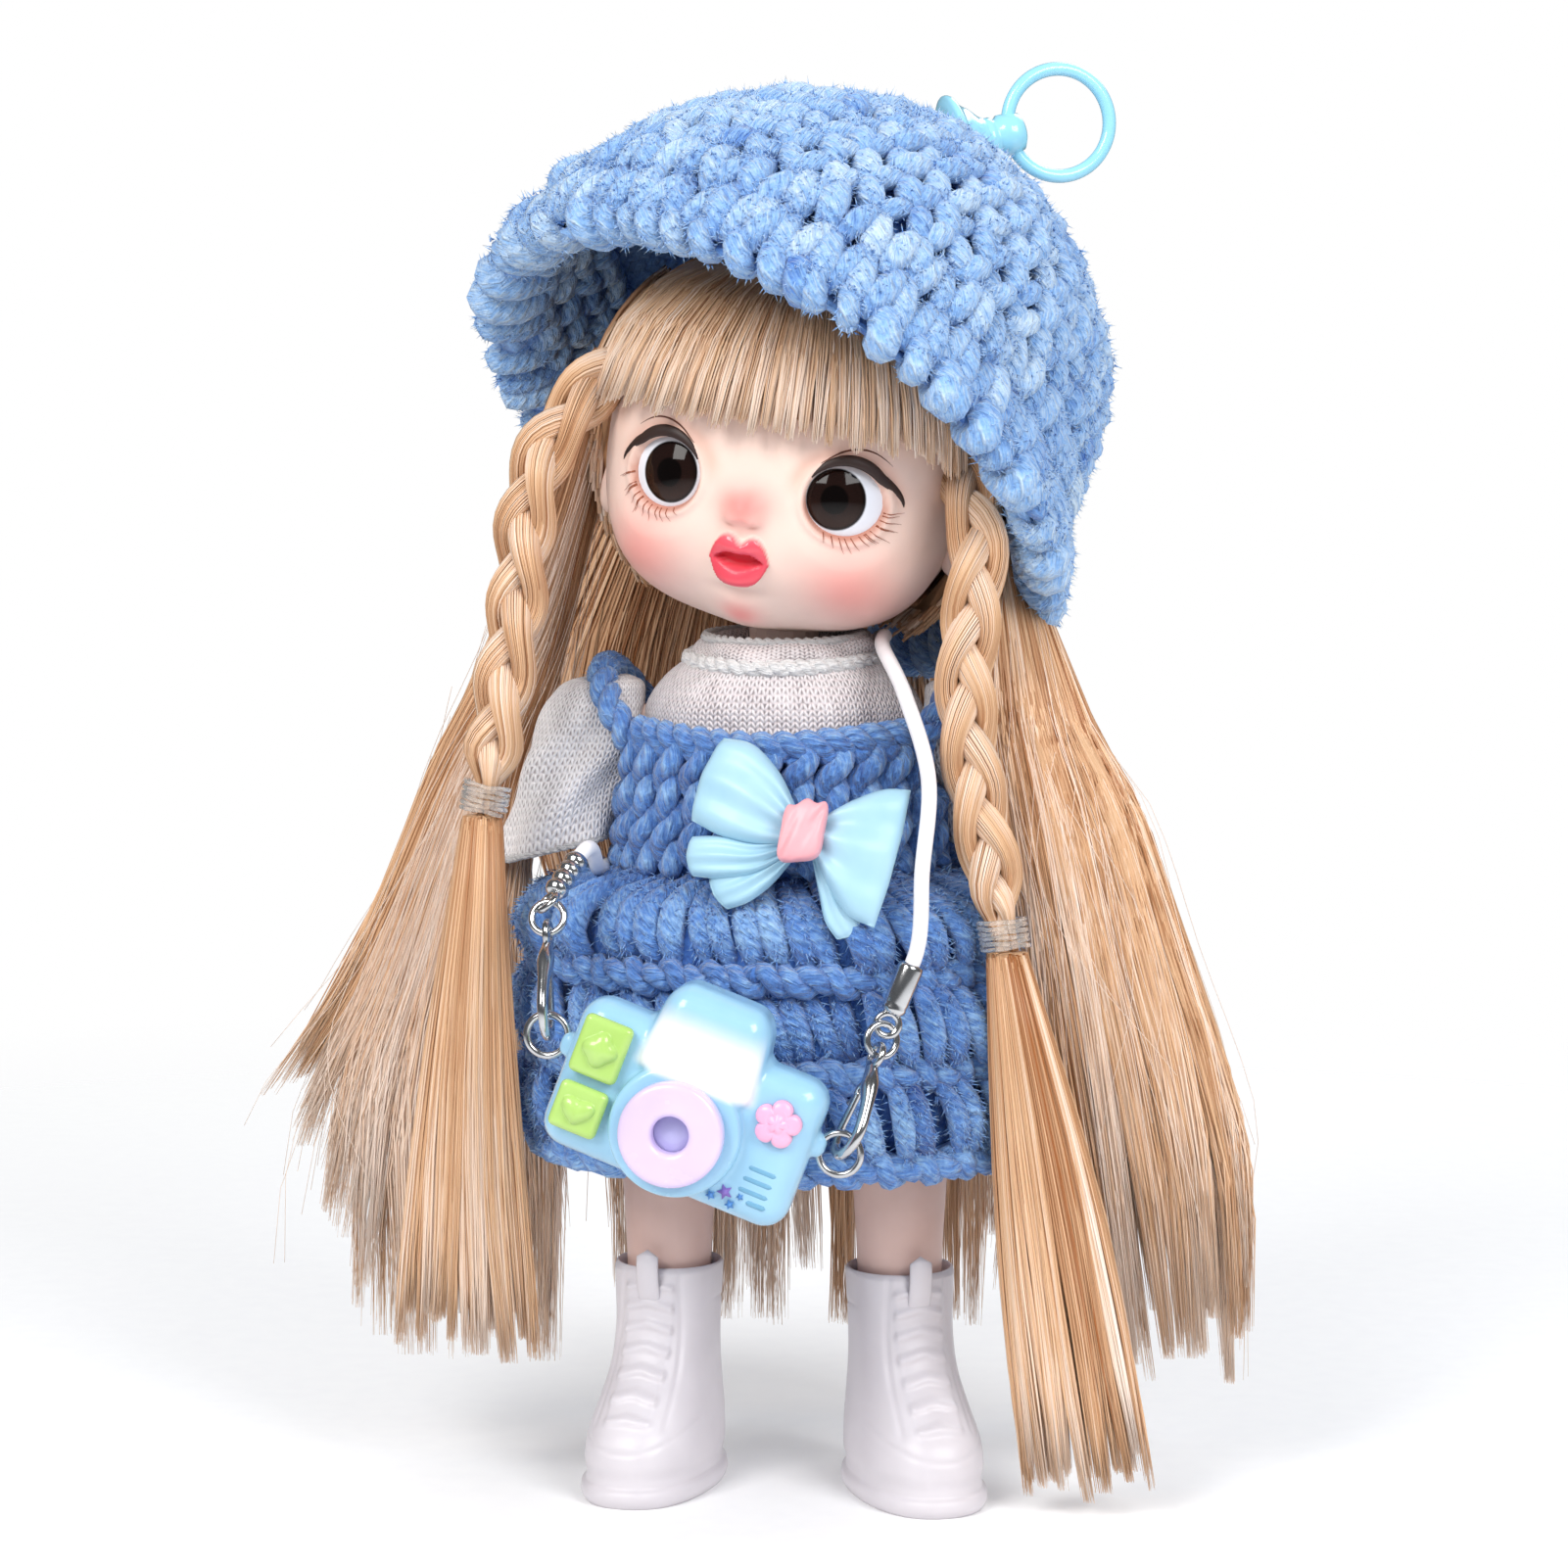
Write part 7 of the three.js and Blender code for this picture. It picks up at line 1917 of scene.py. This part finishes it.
class FinishSet(dict):
    """The doll's finishes by name, each made when a piece first asks for it."""

    def __init__(self, colours):
        self.colours = colours

    def __missing__(self, name):
        c = self.colours
        makers = {
            # The hair's dark stop is a painted shadow colour and its light stop a painted highlight colour.
            "hair": lambda: hair("hair_strands", shade("9e6032"), c.hair[:], c.hair_ends[:]),
            "hair_core": lambda: hair("hair_inner", shade("9e6032"), c.hair[:], c.hair_ends[:], 240.0),
            "elastic": lambda: clear_elastic("wound_elastic"),
            # The yarns' deep and light stops are painted shade and painted highlight colours, picked by the
            # stitches' tone.
            "hat_yarn": lambda: yarn("hat_wool", shade("2f6cc6"), c.hat[:], shade("d6ecff")),
            "dress_yarn": lambda: yarn("dress_wool", shade("1c4a97"), c.dress[:], shade("a4cff8")),
            "knit": lambda: knit("jumper_knit", c.jumper[:], darker(c.jumper[:], 0.6)),
            # The sleeves' knit is a lighter copy of the jumper's knit: painted light on the sleeves.
            "sleeve_knit_painted_light": lambda: knit("sleeve_knit_painted_light", lighter(c.jumper[:], 0.5), darker(c.jumper[:], 0.4)),
            # The trim's darker and whiter stops are likewise painted shade and painted highlight.
            "trim": lambda: yarn("jumper_trim", shade("d6cfcf"), shade("f3efef"), shade("ffffff")),
            "leg": lambda: resin("leg_vinyl", c.legs[:], roughness=0.5, coat=0.05),
            "shoe": lambda: resin("shoe_vinyl", c.shoes[:], roughness=0.42, coat=0.1),
            "bow": lambda: resin("bow_resin", c.bow[:], roughness=0.42, coat=0.12, mottle=0.08),
            "knot": lambda: resin("knot_resin", c.knot[:], roughness=0.42, coat=0.1),
            "lilac": lambda: resin("lens_ring_resin", c.lens_ring[:], roughness=0.25, coat=0.4),
            "lens": lambda: resin("lens_resin", c.lens[:], roughness=0.12, coat=0.6),
            "green": lambda: resin("button_resin", c.buttons[:], roughness=0.2, coat=0.4),
            "blossom": lambda: resin("flower_resin", c.flower[:], roughness=0.3, coat=0.3),
            "steel": lambda: bright_plate("bright_plate"),
            "cord": lambda: coated_cord("coated_cord", c.cord[:]),
            "enamel": lambda: resin("aqua_enamel", c.ring[:], roughness=0.16, coat=0.5),
        }
        self[name] = makers[name]()
        return self[name]


def colour_property(name, description, code):
    """A colour that can be set in the panel; code is its six-digit shade."""
    return bpy.props.FloatVectorProperty(name=name, description=description, default=shade(code),
                                         subtype="COLOR", size=3, min=0, max=1)


class DollColours(bpy.types.PropertyGroup):
    skin: colour_property("Skin", "Vinyl of the head and body", "f4d8cb")
    blush: colour_property("Blush", "Airbrushed cheeks, nose and chin", "f58a84")
    lips: colour_property("Lips", "Painted lips", "ee0a38")
    legs: colour_property("Legs", "Vinyl of the legs", "d9b6ab")
    hair: colour_property("Hair", "Main colour of the hair", "e3b890")
    # Hair light is the colour of light strands and also the painted highlight towards the hair's ends.
    hair_ends: colour_property("Hair light", "Light strands of the hair", "fdeadb")
    hat: colour_property("Hat", "Wool of the hat", "90bff5")
    dress: colour_property("Pinafore", "Wool of the pinafore", "588cd6")
    jumper: colour_property("Jumper", "Wool of the jumper", "d6cbcd")
    shoes: colour_property("Shoes", "Vinyl of the shoes", "d3cdd2")
    bow: colour_property("Bow", "Ribbon of the bow", "a3cfe4")
    knot: colour_property("Knot", "Knot of the bow", "f5a5ad")
    camera: colour_property("Toy camera", "Body of the toy camera", "9bcae6")
    lens_ring: colour_property("Lens ring", "Ring round the toy lens", "dac6ee")
    lens: colour_property("Lens", "Toy lens", "b6b6e2")
    buttons: colour_property("Buttons", "Two square buttons", "aed46c")
    flower: colour_property("Flower", "Flower on the toy camera", "f7aecf")
    ring: colour_property("Key ring", "Enamel of the ring, post and bell", "9adcf2")
    cord: colour_property("Strap", "Coated cord of the strap", "f3f1f3")


class DollSizes(bpy.types.PropertyGroup):
    strap: bpy.props.FloatProperty(name="Strap", description="Thickness of the strap cord", default=0.0018,
                                   min=0.001, max=0.003, unit="LENGTH")


class DollStage(bpy.types.PropertyGroup):
    key_light: bpy.props.FloatProperty(name="Key lamp", description="Strength of the main lamp", default=2.9,
                                       min=0, unit="POWER")
    room_light: bpy.props.FloatProperty(name="Room light", description="Strength of the room's own light",
                                        default=0.62, min=0)
    lens: bpy.props.FloatProperty(name="Lens", description="Focal length of the view", default=89.2, min=20,
                                  max=200, unit="CAMERA")


class DOLL_OT_strap(bpy.types.Operator):
    """Adds the white strap cord with its ferrules, links and clasps"""
    bl_idname = "doll.strap"
    bl_label = "Strap"
    bl_options = {"REGISTER", "UNDO"}

    def execute(self, context):
        make_strap(FinishSet(context.scene.doll_colours), context.scene.doll_sizes.strap)
        return {"FINISHED"}


class DOLL_OT_toy_camera(bpy.types.Operator):
    """Adds the toy camera with its lens, buttons and flower"""
    bl_idname = "doll.toy_camera"
    bl_label = "Toy camera"
    bl_options = {"REGISTER", "UNDO"}

    def execute(self, context):
        colours = context.scene.doll_colours
        make_camera(FinishSet(colours), colours)
        return {"FINISHED"}


class DOLL_OT_head(bpy.types.Operator):
    """Adds the painted head, the eyes and the lashes"""
    bl_idname = "doll.head"
    bl_label = "Head"
    bl_options = {"REGISTER", "UNDO"}

    def execute(self, context):
        make_head(context.scene.doll_colours)
        for side, way in SIDES:
            make_eye(side, way)
        make_lashes()
        return {"FINISHED"}


class DOLL_OT_hair(bpy.types.Operator):
    """Adds the wig, fringe, side falls, braids and stray hairs"""
    bl_idname = "doll.hair"
    bl_label = "Hair"
    bl_options = {"REGISTER", "UNDO"}

    def execute(self, context):
        finishes = FinishSet(context.scene.doll_colours)
        make_wig(finishes)
        make_fringe(finishes)
        make_falls(finishes)
        make_braid("right", finishes)
        make_braid("left", finishes)
        make_stray_hairs(finishes)
        return {"FINISHED"}


class DOLL_OT_hat(bpy.types.Operator):
    """Adds the crocheted hat"""
    bl_idname = "doll.hat"
    bl_label = "Hat"
    bl_options = {"REGISTER", "UNDO"}

    def execute(self, context):
        make_hat(FinishSet(context.scene.doll_colours))
        return {"FINISHED"}


class DOLL_OT_pinafore(bpy.types.Operator):
    """Adds the crocheted pinafore"""
    bl_idname = "doll.pinafore"
    bl_label = "Pinafore"
    bl_options = {"REGISTER", "UNDO"}

    def execute(self, context):
        make_pinafore(FinishSet(context.scene.doll_colours))
        return {"FINISHED"}


class DOLL_OT_jumper(bpy.types.Operator):
    """Adds the knitted jumper"""
    bl_idname = "doll.jumper"
    bl_label = "Jumper"
    bl_options = {"REGISTER", "UNDO"}

    def execute(self, context):
        make_jumper(FinishSet(context.scene.doll_colours))
        return {"FINISHED"}


class DOLL_OT_legs(bpy.types.Operator):
    """Adds the legs and the laced shoes"""
    bl_idname = "doll.legs"
    bl_label = "Legs and shoes"
    bl_options = {"REGISTER", "UNDO"}

    def execute(self, context):
        finishes = FinishSet(context.scene.doll_colours)
        make_legs(finishes)
        make_shoes(finishes)
        return {"FINISHED"}


class DOLL_OT_bow(bpy.types.Operator):
    """Adds the moulded bow and its knot"""
    bl_idname = "doll.bow"
    bl_label = "Bow"
    bl_options = {"REGISTER", "UNDO"}

    def execute(self, context):
        make_bow(FinishSet(context.scene.doll_colours))
        return {"FINISHED"}


class DOLL_OT_key_ring(bpy.types.Operator):
    """Adds the bell cap, swivel post and key ring"""
    bl_idname = "doll.key_ring"
    bl_label = "Key ring"
    bl_options = {"REGISTER", "UNDO"}

    def execute(self, context):
        make_key_ring(FinishSet(context.scene.doll_colours))
        return {"FINISHED"}


class DOLL_OT_body(bpy.types.Operator):
    """Gives the vinyl finish to the torso and arms"""
    bl_idname = "doll.body"
    bl_label = "Body"
    bl_options = {"REGISTER", "UNDO"}

    def execute(self, context):
        finish_body(context.scene.doll_colours)
        return {"FINISHED"}


class DOLL_OT_stage(bpy.types.Operator):
    """Adds the floor, lamps and camera"""
    bl_idname = "doll.stage"
    bl_label = "Stage"
    bl_options = {"REGISTER", "UNDO"}

    def execute(self, context):
        make_stage(context.scene.doll_stage)
        return {"FINISHED"}


OPERATORS = (DOLL_OT_strap, DOLL_OT_toy_camera, DOLL_OT_head, DOLL_OT_hair, DOLL_OT_hat, DOLL_OT_pinafore,
             DOLL_OT_jumper, DOLL_OT_legs, DOLL_OT_bow, DOLL_OT_key_ring, DOLL_OT_body, DOLL_OT_stage)


class DOLL_PT_panel(bpy.types.Panel):
    """Lists the doll's pieces, colours and sizes"""
    bl_idname = "DOLL_PT_panel"
    bl_label = "Crochet Doll"
    bl_space_type = "VIEW_3D"
    bl_region_type = "UI"
    bl_category = "Doll"

    def draw(self, context):
        column = self.layout.column(align=True)
        for operator in OPERATORS:
            column.operator(operator.bl_idname)
        for group in (context.scene.doll_colours, context.scene.doll_sizes, context.scene.doll_stage):
            box = self.layout.box()
            for name in group.__annotations__:
                box.prop(group, name)


CLASSES = (DollColours, DollSizes, DollStage, *OPERATORS, DOLL_PT_panel)


def register():
    """Registers the classes and hangs their settings on the scene."""
    for entry in CLASSES:
        bpy.utils.register_class(entry)
    bpy.types.Scene.doll_colours = bpy.props.PointerProperty(type=DollColours)
    bpy.types.Scene.doll_sizes = bpy.props.PointerProperty(type=DollSizes)
    bpy.types.Scene.doll_stage = bpy.props.PointerProperty(type=DollStage)


def unregister():
    """Undoes what register() does."""
    del bpy.types.Scene.doll_colours
    del bpy.types.Scene.doll_sizes
    del bpy.types.Scene.doll_stage
    for entry in reversed(CLASSES):
        bpy.utils.unregister_class(entry)


def main():
    """Builds the doll piece by piece."""
    register()
    for operator in OPERATORS:
        getattr(bpy.ops.doll, operator.bl_idname.split(".")[1])()


if __name__ == "__main__":
    main()
